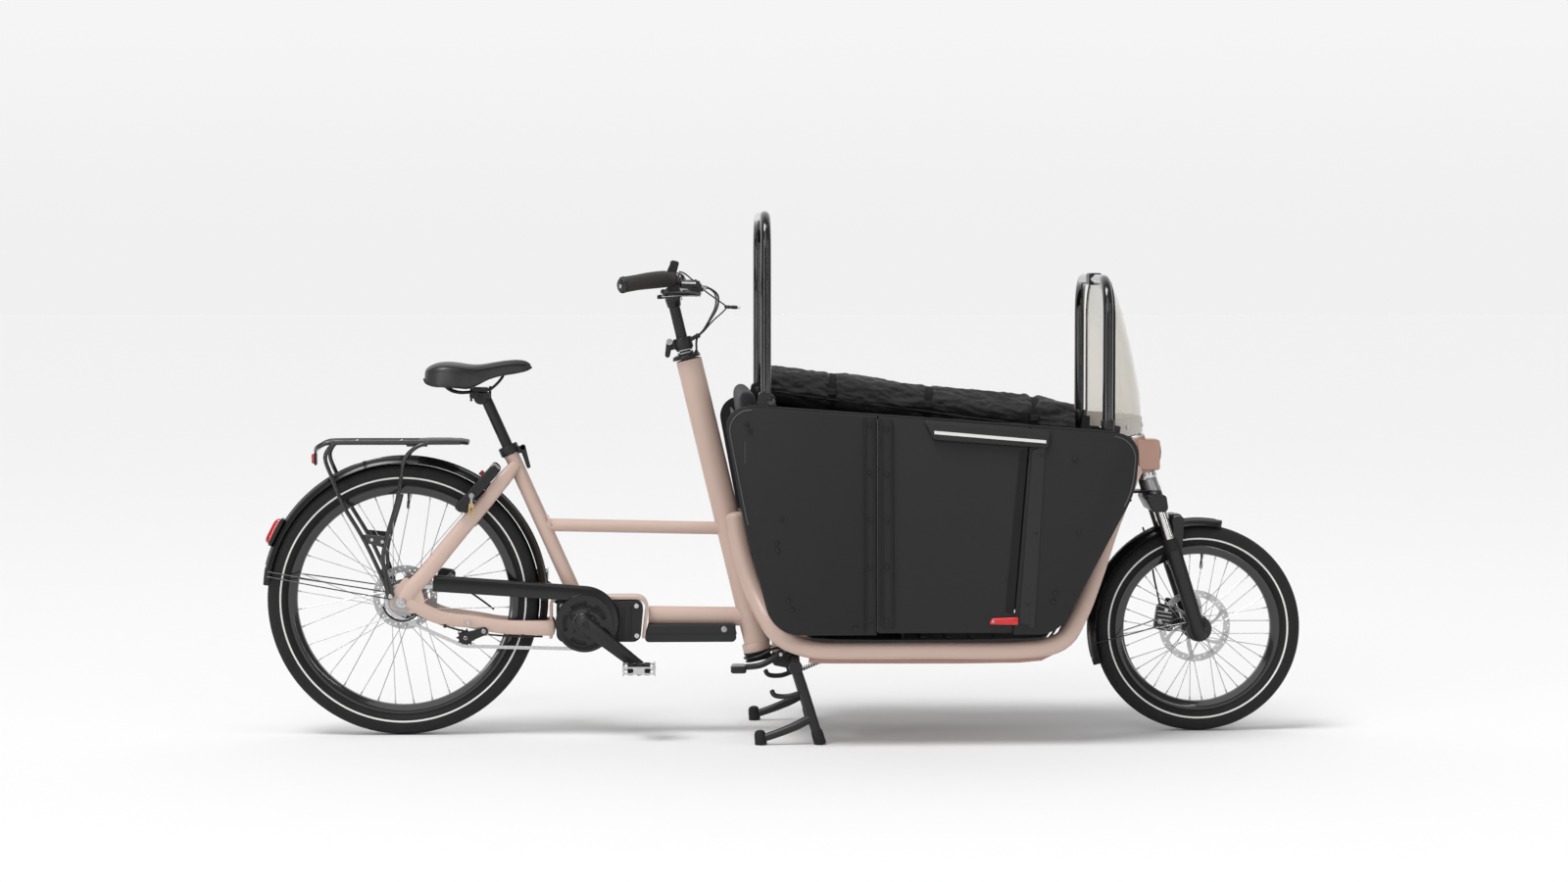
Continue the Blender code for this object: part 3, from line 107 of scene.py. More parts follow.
def turned(profile, centre, axis=(0, 1, 0), sides=48, ring=False):
    """A profile of (radius, distance along the axis) turned about it; ring closes the profile on itself."""
    axis = Vector(axis).normalized()
    down = Vector((0, 0, -1)) if abs(axis.z) < 0.8 else Vector((1, 0, 0))
    down = (down - axis * down.dot(axis)).normalized()
    across = axis.cross(down)
    turns = [2 * math.pi * k / sides for k in range(sides)]
    directions = [down * math.cos(turn) + across * math.sin(turn) for turn in turns]
    centre = Vector(centre)
    return loft([[centre + axis * along + d * radius for d in directions] for radius, along in profile], ring)


def tube(points, radius, sides=20, squash=1.0, closed=False, ends=0.0):
    """A bar along points. The radius may be one for each point; ends rounds off both ends by that length."""
    points = [Vector(point) for point in points]
    radii = list(radius) if isinstance(radius, (list, tuple)) else [radius] * len(points)
    if ends:
        for first in (True, False):
            a, b = (points[0], points[1]) if first else (points[-1], points[-2])
            r = radii[0] if first else radii[-1]
            out = (a - b).normalized()
            extra = [(a - out * ends * (1 - math.sin(t)), r * math.cos(t)) for t in (0.0, 0.5, 0.95, 1.3, 1.5)]
            if first:
                points = [p for p, _ in reversed(extra)] + points[1:]
                radii = [q for _, q in reversed(extra)] + radii[1:]
            else:
                points = points[:-1] + [p for p, _ in extra]
                radii = radii[:-1] + [q for _, q in extra]
    count = len(points)
    sections = []
    side = None
    for i, point in enumerate(points):
        ahead = points[(i + 1) % count] if closed or i < count - 1 else point
        behind = points[i - 1] if closed or i > 0 else point
        along = (ahead - behind).normalized()
        if side is None:
            flat = Vector((0, 1, 0)) if abs(along.y) < 0.9 else Vector((1, 0, 0))
            side = along.cross(flat)
        side = (side - along * side.dot(along)).normalized()
        across = along.cross(side) * squash
        turns = [2 * math.pi * (k + 0.5) / sides for k in range(sides)]
        sections.append([point + (side * math.cos(t) + across * math.sin(t)) * radii[i] for t in turns])
    return loft(sections, closed)


def smooth(points, steps=5):
    """Points on a curve through the given ones, which each stay on it."""
    points = [Vector(point) for point in points]
    ends = [points[0] * 2 - points[1]] + points + [points[-1] * 2 - points[-2]]
    curve = []
    for a, b, c, d in zip(ends, ends[1:], ends[2:], ends[3:]):
        for k in range(steps):
            t = k / steps
            curve.append(0.5 * (2 * b + (c - a) * t + (2 * a - 5 * b + 4 * c - d) * t**2
                                + (3 * b - a - 3 * c + d) * t**3))
    return curve + [points[-1]]


def spread(values, steps=5):
    """One number for each point that smooth() makes, straight from each value to the next."""
    made = []
    for a, b in zip(values, values[1:]):
        made += [a + (b - a) * k / steps for k in range(steps)]
    return made + [values[-1]]


def rounded(corners, steps=8):
    """An outline through corners (x, z, radius), each one made an arc of its radius."""
    outline = []
    for i, (x, z, radius) in enumerate(corners):
        here = Vector((x, z))
        if not radius:
            outline.append(tuple(here))
            continue
        back = (Vector(corners[i - 1][:2]) - here).normalized()
        on = (Vector(corners[(i + 1) % len(corners)][:2]) - here).normalized()
        half = back.angle(on) / 2
        centre = here + (back + on).normalized() * radius / math.sin(half)
        start = here + back * radius / math.tan(half) - centre
        end = here + on * radius / math.tan(half) - centre
        first = math.atan2(start.y, start.x)
        sweep = (math.atan2(end.y, end.x) - first + math.pi) % (2 * math.pi) - math.pi
        for k in range(steps + 1):
            turn = first + sweep * k / steps
            outline.append((centre.x + radius * math.cos(turn), centre.y + radius * math.sin(turn)))
    return outline


def arc_shell(axle, section, start, end, steps):
    """A section of (radius, y) points swept about an axle between two angles in degrees."""
    sections = []
    for k in range(steps + 1):
        turn = math.radians(start + (end - start) * k / steps)
        sections.append([(axle.x + r * math.cos(turn), y, axle.z + r * math.sin(turn)) for r, y in section])
    return loft(sections)


def join(*shapes):
    """One mesh of several shapes, each left as it is."""
    whole = shapes[0]
    for shape in shapes[1:]:
        scratch = bpy.data.meshes.new("scratch")
        shape.to_mesh(scratch)
        shape.free()
        whole.from_mesh(scratch)
        bpy.data.meshes.remove(scratch)
    return whole


def combine(body, add=(), cut=()):
    """The body with the shapes in add joined to it, and then those in cut taken away."""
    root = SCENE.collection

    def scratch(shape, collection):
        mesh = bpy.data.meshes.new("scratch")
        shape.to_mesh(mesh)
        shape.free()
        obj = bpy.data.objects.new("scratch", mesh)
        collection.objects.link(obj)
        return obj

    base = scratch(body, root)
    spent, groups = [base], []
    for operation, shapes in (("UNION", add), ("DIFFERENCE", cut)):
        if not shapes:
            continue
        group = bpy.data.collections.new(operation)
        root.children.link(group)
        groups.append(group)
        spent += [scratch(shape, group) for shape in shapes]
        modifier = base.modifiers.new(operation, "BOOLEAN")
        modifier.operation = operation
        modifier.operand_type = "COLLECTION"
        modifier.collection = group
        modifier.solver = "EXACT"
    bpy.context.view_layer.update()
    made = base.evaluated_get(bpy.context.evaluated_depsgraph_get())
    result = bmesh.new()
    result.from_mesh(made.to_mesh())
    made.to_mesh_clear()
    for obj in spent:
        bpy.data.meshes.remove(obj.data)
    for group in groups:
        bpy.data.collections.remove(group)
    return result


def bolt(centre, axis, radius=0.004, height=0.003):
    """A round socket-head bolt that stands up along its axis."""
    return turned([(radius, 0.0), (radius, height * 0.75), (radius * 0.86, height), (radius * 0.52, height),
                   (radius * 0.48, height * 0.45)], centre, axis, sides=20)


def hexagon(centre, axis, radius=0.006, height=0.004):
    return turned([(radius, 0.0), (radius, height * 0.8), (radius * 0.84, height)], centre, axis, sides=6)


def line_at(top, lean, z, ahead=0.0, side=0.0):
    """The point of a leaning line at height z, moved square to it: ahead forwards and side to the left."""
    up = Vector((-lean, 0.0, 1.0)).normalized()
    forward = Vector((up.z, 0.0, -up.x))
    return Vector((top.x - lean * (z - top.z), side, z)) + forward * ahead


def steer_at(z, ahead=0.0, side=0.0):
    return line_at(STEER_TOP, STEER_LEAN, z, ahead, side)


def fork_at(z, ahead=0.0, side=0.0):
    return line_at(FORK_TOP, FORK_LEAN, z, ahead, side)


def seat_at(z, ahead=0.0, side=0.0):
    return line_at(SEAT_TOP, SEAT_LEAN, z, ahead, side)


def up_line(lean):
    return Vector((-lean, 0.0, 1.0)).normalized()


def turned_on(place_at, lean, steps, sides=40, ring=False):
    """Turned about a leaning line from (radius, height) steps."""
    stretch = math.sqrt(1 + lean * lean)
    base = steps[0][1]
    return turned([(radius, (z - base) * stretch) for radius, z in steps], place_at(base), up_line(lean), sides, ring)


# Materials: every look is made of nodes on the piece's own coordinates

LOOKS = {}


def look(name, colour, rough, metal=0.0, spec=0.5, coat=0.0, coat_rough=0.1, tint=0.10, tint_scale=7.0,
         grain=350.0, bump=0.10, depth=0.0003, vary=0.07, sheen=0.0, pattern=None, stretch=(1, 1, 1)):
    """A Principled look with cloudy colour, uneven roughness and a fine grain; pattern adds its own relief."""
    made = bpy.data.materials.new(name)
    made.use_nodes = True
    tree = made.node_tree
    nodes, links = tree.nodes, tree.links
    shader = nodes["Principled BSDF"]
    coords = nodes.new("ShaderNodeTexCoord").outputs["Object"]
    mapping = nodes.new("ShaderNodeMapping")
    mapping.inputs["Scale"].default_value = stretch
    links.new(coords, mapping.inputs["Vector"])

    def noise_node(scale, detail, vector):
        made_noise = nodes.new("ShaderNodeTexNoise")
        made_noise.inputs["Scale"].default_value = scale
        made_noise.inputs["Detail"].default_value = detail
        links.new(vector, made_noise.inputs["Vector"])
        return made_noise.outputs["Fac"]

    cloud = noise_node(tint_scale, 3.0, coords)
    fine = noise_node(grain, 2.0, mapping.outputs["Vector"])
    mix = nodes.new("ShaderNodeMix")
    mix.data_type = "RGBA"
    low = [max(0.0, c * (1 - tint)) for c in colour]
    high = [min(1.0, c * (1 + tint)) for c in colour]
    mix.inputs["A"].default_value = (*low, 1.0)
    mix.inputs["B"].default_value = (*high, 1.0)
    links.new(cloud, mix.inputs["Factor"])
    links.new(mix.outputs["Result"], shader.inputs["Base Color"])
    span = nodes.new("ShaderNodeMapRange")
    span.inputs["To Min"].default_value = max(0.02, rough - vary)
    span.inputs["To Max"].default_value = min(1.0, rough + vary)
    links.new(fine, span.inputs["Value"])
    links.new(span.outputs["Result"], shader.inputs["Roughness"])
    height = fine
    if pattern:
        add = nodes.new("ShaderNodeMath")
        add.operation = "MULTIPLY_ADD"
        add.inputs[1].default_value = 0.35
        links.new(fine, add.inputs[0])
        links.new(pattern(nodes, links, coords), add.inputs[2])
        height = add.outputs["Value"]
    relief = nodes.new("ShaderNodeBump")
    relief.inputs["Strength"].default_value = bump
    relief.inputs["Distance"].default_value = depth
    links.new(height, relief.inputs["Height"])
    links.new(relief.outputs["Normal"], shader.inputs["Normal"])
    shader.inputs["Metallic"].default_value = metal
    shader.inputs["Specular IOR Level"].default_value = spec
    shader.inputs["Coat Weight"].default_value = coat
    shader.inputs["Coat Roughness"].default_value = coat_rough
    shader.inputs["Sheen Weight"].default_value = sheen
    LOOKS[name] = made
    return made


def weave(scale):
    """Threads over and under each other along all three axes."""
    def build(nodes, links, coords):
        heights = []
        for direction in ("X", "Y", "Z"):
            wave = nodes.new("ShaderNodeTexWave")
            wave.bands_direction = direction
            wave.inputs["Scale"].default_value = scale
            wave.inputs["Distortion"].default_value = 0.6
            links.new(coords, wave.inputs["Vector"])
            heights.append(wave.outputs["Fac"])
        total = heights[0]
        for other in heights[1:]:
            add = nodes.new("ShaderNodeMath")
            add.operation = "MULTIPLY_ADD"
            add.inputs[1].default_value = 0.8
            links.new(total, add.inputs[0])
            links.new(other, add.inputs[2])
            total = add.outputs["Value"]
        return total
    return build


def bands(direction, scale, distortion=0.0):
    def build(nodes, links, coords):
        wave = nodes.new("ShaderNodeTexWave")
        wave.bands_direction = direction
        wave.inputs["Scale"].default_value = scale
        wave.inputs["Distortion"].default_value = distortion
        links.new(coords, wave.inputs["Vector"])
        return wave.outputs["Fac"]
    return build


def pebbles(scale):
    """Small cells, as of moulded or grained leather-like skins."""
    def build(nodes, links, coords):
        cells = nodes.new("ShaderNodeTexVoronoi")
        cells.feature = "SMOOTH_F1"
        cells.inputs["Scale"].default_value = scale
        links.new(coords, cells.inputs["Vector"])
        return cells.outputs["Distance"]
    return build


def wrinkles(scale, distortion):
    def build(nodes, links, coords):
        folds = nodes.new("ShaderNodeTexNoise")
        folds.inputs["Scale"].default_value = scale
        folds.inputs["Detail"].default_value = 4.0
        folds.inputs["Distortion"].default_value = distortion
        links.new(coords, folds.inputs["Vector"])
        return folds.outputs["Fac"]
    return build


def tread(axle, count):
    """Slanted cuts round a tyre, on the angle about its axle."""
    def build(nodes, links, coords):
        split = nodes.new("ShaderNodeSeparateXYZ")
        links.new(coords, split.inputs["Vector"])
        parts = []
        for socket, centre in (("X", axle.x), ("Z", axle.z)):
            less = nodes.new("ShaderNodeMath")
            less.operation = "SUBTRACT"
            less.inputs[1].default_value = centre
            links.new(split.outputs[socket], less.inputs[0])
            parts.append(less.outputs["Value"])
        turn = nodes.new("ShaderNodeMath")
        turn.operation = "ARCTAN2"
        links.new(parts[1], turn.inputs[0])
        links.new(parts[0], turn.inputs[1])
        lean = nodes.new("ShaderNodeMath")
        lean.operation = "ABSOLUTE"
        links.new(split.outputs["Y"], lean.inputs[0])
        skew = nodes.new("ShaderNodeMath")
        skew.operation = "MULTIPLY_ADD"
        skew.inputs[1].default_value = 9.0
        links.new(lean.outputs["Value"], skew.inputs[0])
        links.new(turn.outputs["Value"], skew.inputs[2])
        many = nodes.new("ShaderNodeMath")
        many.operation = "MULTIPLY"
        many.inputs[1].default_value = count
        links.new(skew.outputs["Value"], many.inputs[0])
        wave = nodes.new("ShaderNodeMath")
        wave.operation = "SINE"
        links.new(many.outputs["Value"], wave.inputs[0])
        edge = nodes.new("ShaderNodeMapRange")
        edge.inputs["From Min"].default_value = -0.95
        edge.inputs["From Max"].default_value = -0.60
        links.new(wave.outputs["Value"], edge.inputs["Value"])
        return edge.outputs["Result"]
    return build


look("beige_paint", (0.590, 0.432, 0.366), 0.40, spec=0.45, coat=0.25, coat_rough=0.25, tint=0.035,
     grain=900.0, bump=0.05, depth=0.0001, vary=0.05)
# Painted shade: a darker copy of the frame paint, standing in for the shade on the head block.
look("head_shade_paint", (0.510, 0.310, 0.245), 0.45, spec=0.4, tint=0.04, grain=900.0, bump=0.06, depth=0.0001)
look("charcoal_panel", (0.0185, 0.0185, 0.0195), 0.50, spec=0.22, tint=0.08, tint_scale=3.0, grain=650.0,
     bump=0.25, depth=0.0002, pattern=pebbles(900.0))
look("panel_edge", (0.016, 0.016, 0.017), 0.45, spec=0.35, grain=500.0)
# Painted shade: the frame's beige darkened, standing in for the shadow under the side rails.
look("rail_shade_paint", (0.360, 0.215, 0.175), 0.45, spec=0.4, tint=0.04, grain=900.0, bump=0.06, depth=0.0001)
# Painted highlight: a lighter grey standing in for light caught along the panels' edges.
look("edge_highlight_grey", (0.085, 0.085, 0.087), 0.40, spec=0.4, tint=0.06, grain=600.0, bump=0.05, depth=0.0001)
look("dark_bolt", (0.030, 0.030, 0.031), 0.26, metal=0.7, tint=0.10, grain=500.0, bump=0.05, depth=0.0001)
look("gloss_black", (0.0065, 0.0065, 0.007), 0.16, spec=0.5, coat=0.6, coat_rough=0.05, tint=0.10,
     grain=300.0, bump=0.015, depth=0.0001, vary=0.04)
look("satin_black", (0.0110, 0.0110, 0.0118), 0.36, spec=0.42, tint=0.12, grain=600.0, bump=0.08,
     depth=0.0001, vary=0.06)
look("black_plastic", (0.0125, 0.0125, 0.0130), 0.42, spec=0.38, tint=0.12, grain=500.0, bump=0.15,
     depth=0.00015, pattern=pebbles(1300.0))
look("guard_plastic", (0.0080, 0.0080, 0.0085), 0.22, spec=0.38, coat=0.15, coat_rough=0.12, tint=0.10,
     grain=260.0, bump=0.02, depth=0.0001, vary=0.05)
look("dark_casing", (0.020, 0.020, 0.0215), 0.48, spec=0.35, tint=0.10, grain=450.0, bump=0.2,
     depth=0.0002, pattern=pebbles(1000.0))
look("silver", (0.62, 0.62, 0.63), 0.26, metal=1.0, tint=0.05, grain=220.0, bump=0.05, depth=0.0001,
     vary=0.08, stretch=(1, 1, 9))
look("dull_steel", (0.42, 0.42, 0.43), 0.38, metal=1.0, tint=0.10, grain=500.0, bump=0.08, depth=0.0001,
     vary=0.10)
look("spoke_steel", (0.66, 0.66, 0.67), 0.24, metal=1.0, tint=0.05, grain=300.0, bump=0.02, depth=0.0001)
look("disc_steel", (0.52, 0.52, 0.53), 0.30, metal=1.0, tint=0.08, grain=900.0, bump=0.08, depth=0.0001)
look("stanchion", (0.66, 0.655, 0.64), 0.14, metal=1.0, tint=0.03, grain=200.0, bump=0.01, depth=0.0001)
look("rear_rubber", (0.0155, 0.0155, 0.016), 0.72, spec=0.25, tint=0.20, tint_scale=14.0, grain=700.0, bump=0.55,
     depth=0.0010, vary=0.08, pattern=tread(REAR_AXLE, 78))
look("front_rubber", (0.0155, 0.0155, 0.016), 0.72, spec=0.25, tint=0.20, tint_scale=14.0, grain=700.0, bump=0.55,
     depth=0.0010, vary=0.08, pattern=tread(FRONT_AXLE, 60))
look("reflective", (0.72, 0.72, 0.70), 0.45, spec=0.5, tint=0.06, grain=1500.0, bump=0.15, depth=0.0001)
look("rubber", (0.0130, 0.0128, 0.0130), 0.62, spec=0.30, tint=0.18, grain=900.0, bump=0.2, depth=0.0002)
look("hose", (0.0090, 0.0090, 0.0095), 0.34, spec=0.45, tint=0.10, grain=900.0, bump=0.05, depth=0.0001)
look("grip", (0.0330, 0.0285, 0.0270), 0.62, spec=0.28, tint=0.15, grain=900.0, bump=0.7, depth=0.0010,
     pattern=bands("Y", 95.0, 0.5))
look("saddle_skin", (0.0260, 0.0260, 0.0270), 0.38, spec=0.50, tint=0.14, grain=800.0, bump=0.35,
     depth=0.0004, pattern=pebbles(620.0))
look("cushion_cloth", (0.026, 0.026, 0.029), 0.88, spec=0.2, tint=0.16, grain=700.0, bump=0.7, depth=0.0008,
     sheen=0.25, pattern=weave(240.0))
look("tent_cloth", (0.0100, 0.0100, 0.0110), 0.42, spec=0.42, tint=0.22, tint_scale=16.0, grain=1100.0,
     bump=0.75, depth=0.0060, vary=0.10, sheen=0.10, pattern=wrinkles(26.0, 1.4))
look("webbing", (0.0120, 0.0120, 0.0125), 0.75, spec=0.25, tint=0.15, grain=900.0, bump=0.6, depth=0.0005,
     pattern=bands("DIAGONAL", 420.0))
look("red_plastic", (0.64, 0.012, 0.014), 0.32, spec=0.5, coat=0.3, tint=0.06, grain=500.0, bump=0.05, depth=0.0001)
look("red_lens", (0.40, 0.008, 0.010), 0.14, spec=0.6, coat=0.8, coat_rough=0.04, tint=0.10, grain=60.0, bump=0.4,
     depth=0.0006, pattern=pebbles(300.0))
look("amber", (0.75, 0.15, 0.02), 0.20, spec=0.5, tint=0.06, grain=300.0)
look("pale_lens", (0.80, 0.80, 0.76), 0.10, spec=0.6, coat=0.8, coat_rough=0.03, tint=0.05, grain=60.0,
     bump=0.3, depth=0.0008, pattern=bands("Z", 160.0))
look("brass", (0.62, 0.44, 0.20), 0.30, metal=1.0, tint=0.08, grain=400.0, bump=0.05, depth=0.0001)
look("screen_glass", (0.50, 0.53, 0.52), 0.12, spec=0.6, coat=0.8, coat_rough=0.03, tint=0.05,
     grain=200.0, bump=0.01, depth=0.0001)
look("white_print", (0.70, 0.70, 0.69), 0.5, tint=0.05, grain=600.0)
look("pale_grey", (0.36, 0.36, 0.36), 0.6, spec=0.3, tint=0.10, grain=500.0, bump=0.3, depth=0.0005,
     pattern=bands("X", 130.0))
look("pink_pad", (0.33, 0.03, 0.04), 0.6, tint=0.10, grain=500.0)


def clear_look(name, colour, through, rough):
    """A thin tinted sheet: mostly seen through, with its own gloss."""
    made = look(name, colour, rough, spec=0.5, tint=0.04, grain=90.0, bump=0.02, depth=0.0002, vary=0.03)
    made.node_tree.nodes["Principled BSDF"].inputs["Alpha"].default_value = through
    return made


clear_look("windscreen", (0.78, 0.73, 0.62), 0.36, 0.10)
look("screen_strip", (0.47, 0.43, 0.38), 0.35, spec=0.45, tint=0.05, grain=200.0)


# Pieces


def piece(name, shape, finish, body, replaces=(), bevel=0.0, angle=38, levels=0):
    """A named piece in its look, riding on a CAD body; bevel rounds its sharp edges by that width."""
    mesh = bpy.data.meshes.new(name)
    shape.to_mesh(mesh)
    shape.free()
    mesh.shade_smooth()
    if not levels:
        mesh.set_sharp_from_angle(angle=math.radians(angle))
    mesh.materials.append(LOOKS[finish])
    obj = bpy.data.objects.new(name, mesh)
    SCENE.collection.objects.link(obj)
    if bevel:
        edge = obj.modifiers.new("edges", "BEVEL")
        edge.width = bevel
        edge.segments = 3
        edge.limit_method = "ANGLE"
        edge.angle_limit = math.radians(40)
        edge.harden_normals = True
    if levels:
        fine = obj.modifiers.new("fine", "SUBSURF")
        fine.levels = fine.render_levels = levels
    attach(obj, body)
    if replaces:
        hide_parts(*replaces)
    return obj


# Camera, light and floor


def camera_and_light():
    data = bpy.data.cameras.new("camera")
    data.lens = 83.2
    data.sensor_width = 36.0
    data.clip_end = 200.0
    camera = bpy.data.objects.new("camera", data)
    SCENE.collection.objects.link(camera)
    camera.location = (-0.366, -9.0, 1.201)
    camera.rotation_euler = (Vector((0.0, 0.0, 0.728)) - camera.location).to_track_quat("-Z", "Y").to_euler()
    SCENE.camera = camera
    SCENE.view_settings.view_transform = "Standard"

    world = bpy.data.worlds.new("studio")
    world.use_nodes = True
    nodes, links = world.node_tree.nodes, world.node_tree.links
    sky = nodes["Background"]
    sky.inputs["Strength"].default_value = 1.0
    where = nodes.new("ShaderNodeTexCoord")
    parts = nodes.new("ShaderNodeSeparateXYZ")
    ahead = nodes.new("ShaderNodeMapRange")
    ahead.interpolation_type = "SMOOTHSTEP"
    ahead.inputs["From Min"].default_value = 0.10
    ahead.inputs["From Max"].default_value = 0.62
    ahead.inputs["To Min"].default_value = 0.26
    ahead.inputs["To Max"].default_value = 0.913
    links.new(where.outputs["Generated"], parts.inputs["Vector"])
    low = nodes.new("ShaderNodeMapRange")
    low.interpolation_type = "SMOOTHSTEP"
    low.inputs["From Min"].default_value = 0.0
    low.inputs["From Max"].default_value = 0.07
    low.inputs["To Min"].default_value = 0.955
    low.inputs["To Max"].default_value = 1.0
    both = nodes.new("ShaderNodeMath")
    both.operation = "MULTIPLY"
    links.new(parts.outputs["Y"], ahead.inputs["Value"])
    links.new(parts.outputs["Z"], low.inputs["Value"])
    links.new(ahead.outputs["Result"], both.inputs[0])
    links.new(low.outputs["Result"], both.inputs[1])
    links.new(both.outputs["Value"], sky.inputs["Color"])
    SCENE.world = world

    def area(name, place, target, size, power):
        lamp = bpy.data.lights.new(name, "AREA")
        lamp.shape = "RECTANGLE"
        lamp.size, lamp.size_y = size
        lamp.energy = power
        obj = bpy.data.objects.new(name, lamp)
        obj.location = place
        obj.rotation_euler = (Vector(target) - Vector(place)).to_track_quat("-Z", "Y").to_euler()
        SCENE.collection.objects.link(obj)

    def sun(name, tilt, turn, energy, angle):
        lamp = bpy.data.lights.new(name, "SUN")
        lamp.energy = energy
        lamp.angle = math.radians(angle)
        obj = bpy.data.objects.new(name, lamp)
        obj.rotation_euler = (math.radians(tilt), math.radians(turn), 0)
        SCENE.collection.objects.link(obj)

    sun("soft_top", 14, -20, 1.74, 26)
    sun("front_fill", 55, -25, 0.55, 45)
    area("left_box", (-8.0, -8.5, 3.2), (0.0, 0.0, 0.9), (1.0, 8.0), 190.0)
    area("right_box", (8.5, -7.0, 3.0), (0.3, 0.0, 0.9), (0.5, 7.0), 80.0)
    area("strip_box", (3.4, -11.5, 2.6), (0.2, 0.0, 0.9), (0.24, 7.0), 60.0)
    area("top_box", (0.0, -2.0, 9.0), (0.0, 0.0, 0.5), (6.0, 1.6), 75.0)

    ground = bmesh.new()
    bmesh.ops.create_grid(ground, x_segments=1, y_segments=1, size=60.0)
    mesh = bpy.data.meshes.new("floor")
    ground.to_mesh(mesh)
    ground.free()
    floor_look = bpy.data.materials.new("floor")
    floor_look.use_nodes = True
    shader = floor_look.node_tree.nodes["Principled BSDF"]
    shader.inputs["Base Color"].default_value = (0.85, 0.85, 0.85, 1.0)
    shader.inputs["Roughness"].default_value = 0.9
    shader.inputs["Specular IOR Level"].default_value = 0.0
    mesh.materials.append(floor_look)
    floor = bpy.data.objects.new("floor", mesh)
    SCENE.collection.objects.link(floor)


# Rear frame


def chain_stay(side):
    route = [(-0.570, 0.036, 0.268), (-0.605, 0.0455, 0.268), (-0.700, 0.050, 0.272), (-0.765, 0.054, 0.284),
             (-0.830, 0.060, 0.292), (-0.862, 0.063, 0.300), (-0.892, 0.066, 0.315), (-0.938, 0.0675, 0.341)]
    thick = [0.020, 0.0190, 0.0175, 0.0155, 0.0165, 0.0170, 0.0175, 0.0150]
    return tube(smooth([(x, y * side, z) for x, y, z in route], 5), spread(thick, 5), sides=28, squash=0.52, ends=0.006)


def seat_stay(side):
    route = [(-0.662, 0.012, 0.676), (-0.695, 0.0440, 0.636), (-0.740, 0.048, 0.582), (-0.820, 0.056, 0.487),
             (-0.880, 0.0650, 0.413), (-0.922, 0.0675, 0.368), (-0.945, 0.0675, 0.336)]
    thick = [0.014, 0.0175, 0.0185, 0.0195, 0.0200, 0.0200, 0.0180]
    return tube(smooth([(x, y * side, z) for x, y, z in route], 5), spread(thick, 5), sides=28, squash=0.50, ends=0.006)


def dropout(side):
    plate = rounded([(-0.976, 0.320, 0.014), (-0.915, 0.306, 0.018), (-0.886, 0.328, 0.018), (-0.901, 0.382, 0.014),
                     (-0.938, 0.398, 0.012), (-0.974, 0.356, 0.014)])
    low, high = sorted((0.0635 * side, 0.0710 * side))
    return prism(plate, low, high)


def motor_bracket():
    outer = rounded([(-0.5835, 0.240, 0), (-0.5835, 0.345, 0.024), (-0.335, 0.345, 0.030), (-0.346, 0.240, 0)])
    inner = rounded([(-0.354, 0.240, 0), (-0.343, 0.337, 0.022), (-0.576, 0.337, 0.016), (-0.576, 0.240, 0)])
    return prism(outer + inner, -0.0385, 0.0385)


def open_tube(place_at, lean, outer, inner, low, high, sides=48):
    return turned_on(place_at, lean, [(outer, low), (outer, high), (inner, high), (inner, low)], sides, ring=True)


def rear_frame():
    steering = tube([steer_at(0.214, 0.004), steer_at(0.9335, 0.004)], 0.032, sides=56, squash=0.85, ends=0.004)
    rings = [turned_on(steer_at, STEER_LEAN, [(0.0338, low), (0.0345, low + 0.002), (0.0345, high - 0.002),
                                              (0.0338, high)]) for low, high in ((0.205, 0.226),)]
    seat = turned_on(seat_at, SEAT_LEAN, [(0.0185, 0.330), (0.0185, 0.690), (0.0200, 0.694), (0.0200, 0.700)], 44)
    lower = tube([(-0.338, 0, 0.294), (-0.085, 0, 0.290)], 0.0235, sides=40, squash=0.8)
    top = tube([(-0.598, 0, 0.521), (-0.150, 0, 0.511)], 0.0160, sides=40)
    parts = [seat, lower, top] + rings
    for side in (-1, 1):
        parts += [chain_stay(side), seat_stay(side)]
    bead = [tube([seat_at(0.521, 0.016), seat_at(0.521, 0.021)], [0.0205, 0.0185], sides=40)]
    bridge = tube([(-0.712, -0.040, 0.612), (-0.712, 0.040, 0.612)], 0.0085, sides=24)
    return join(steering, *parts, *bead, bridge)


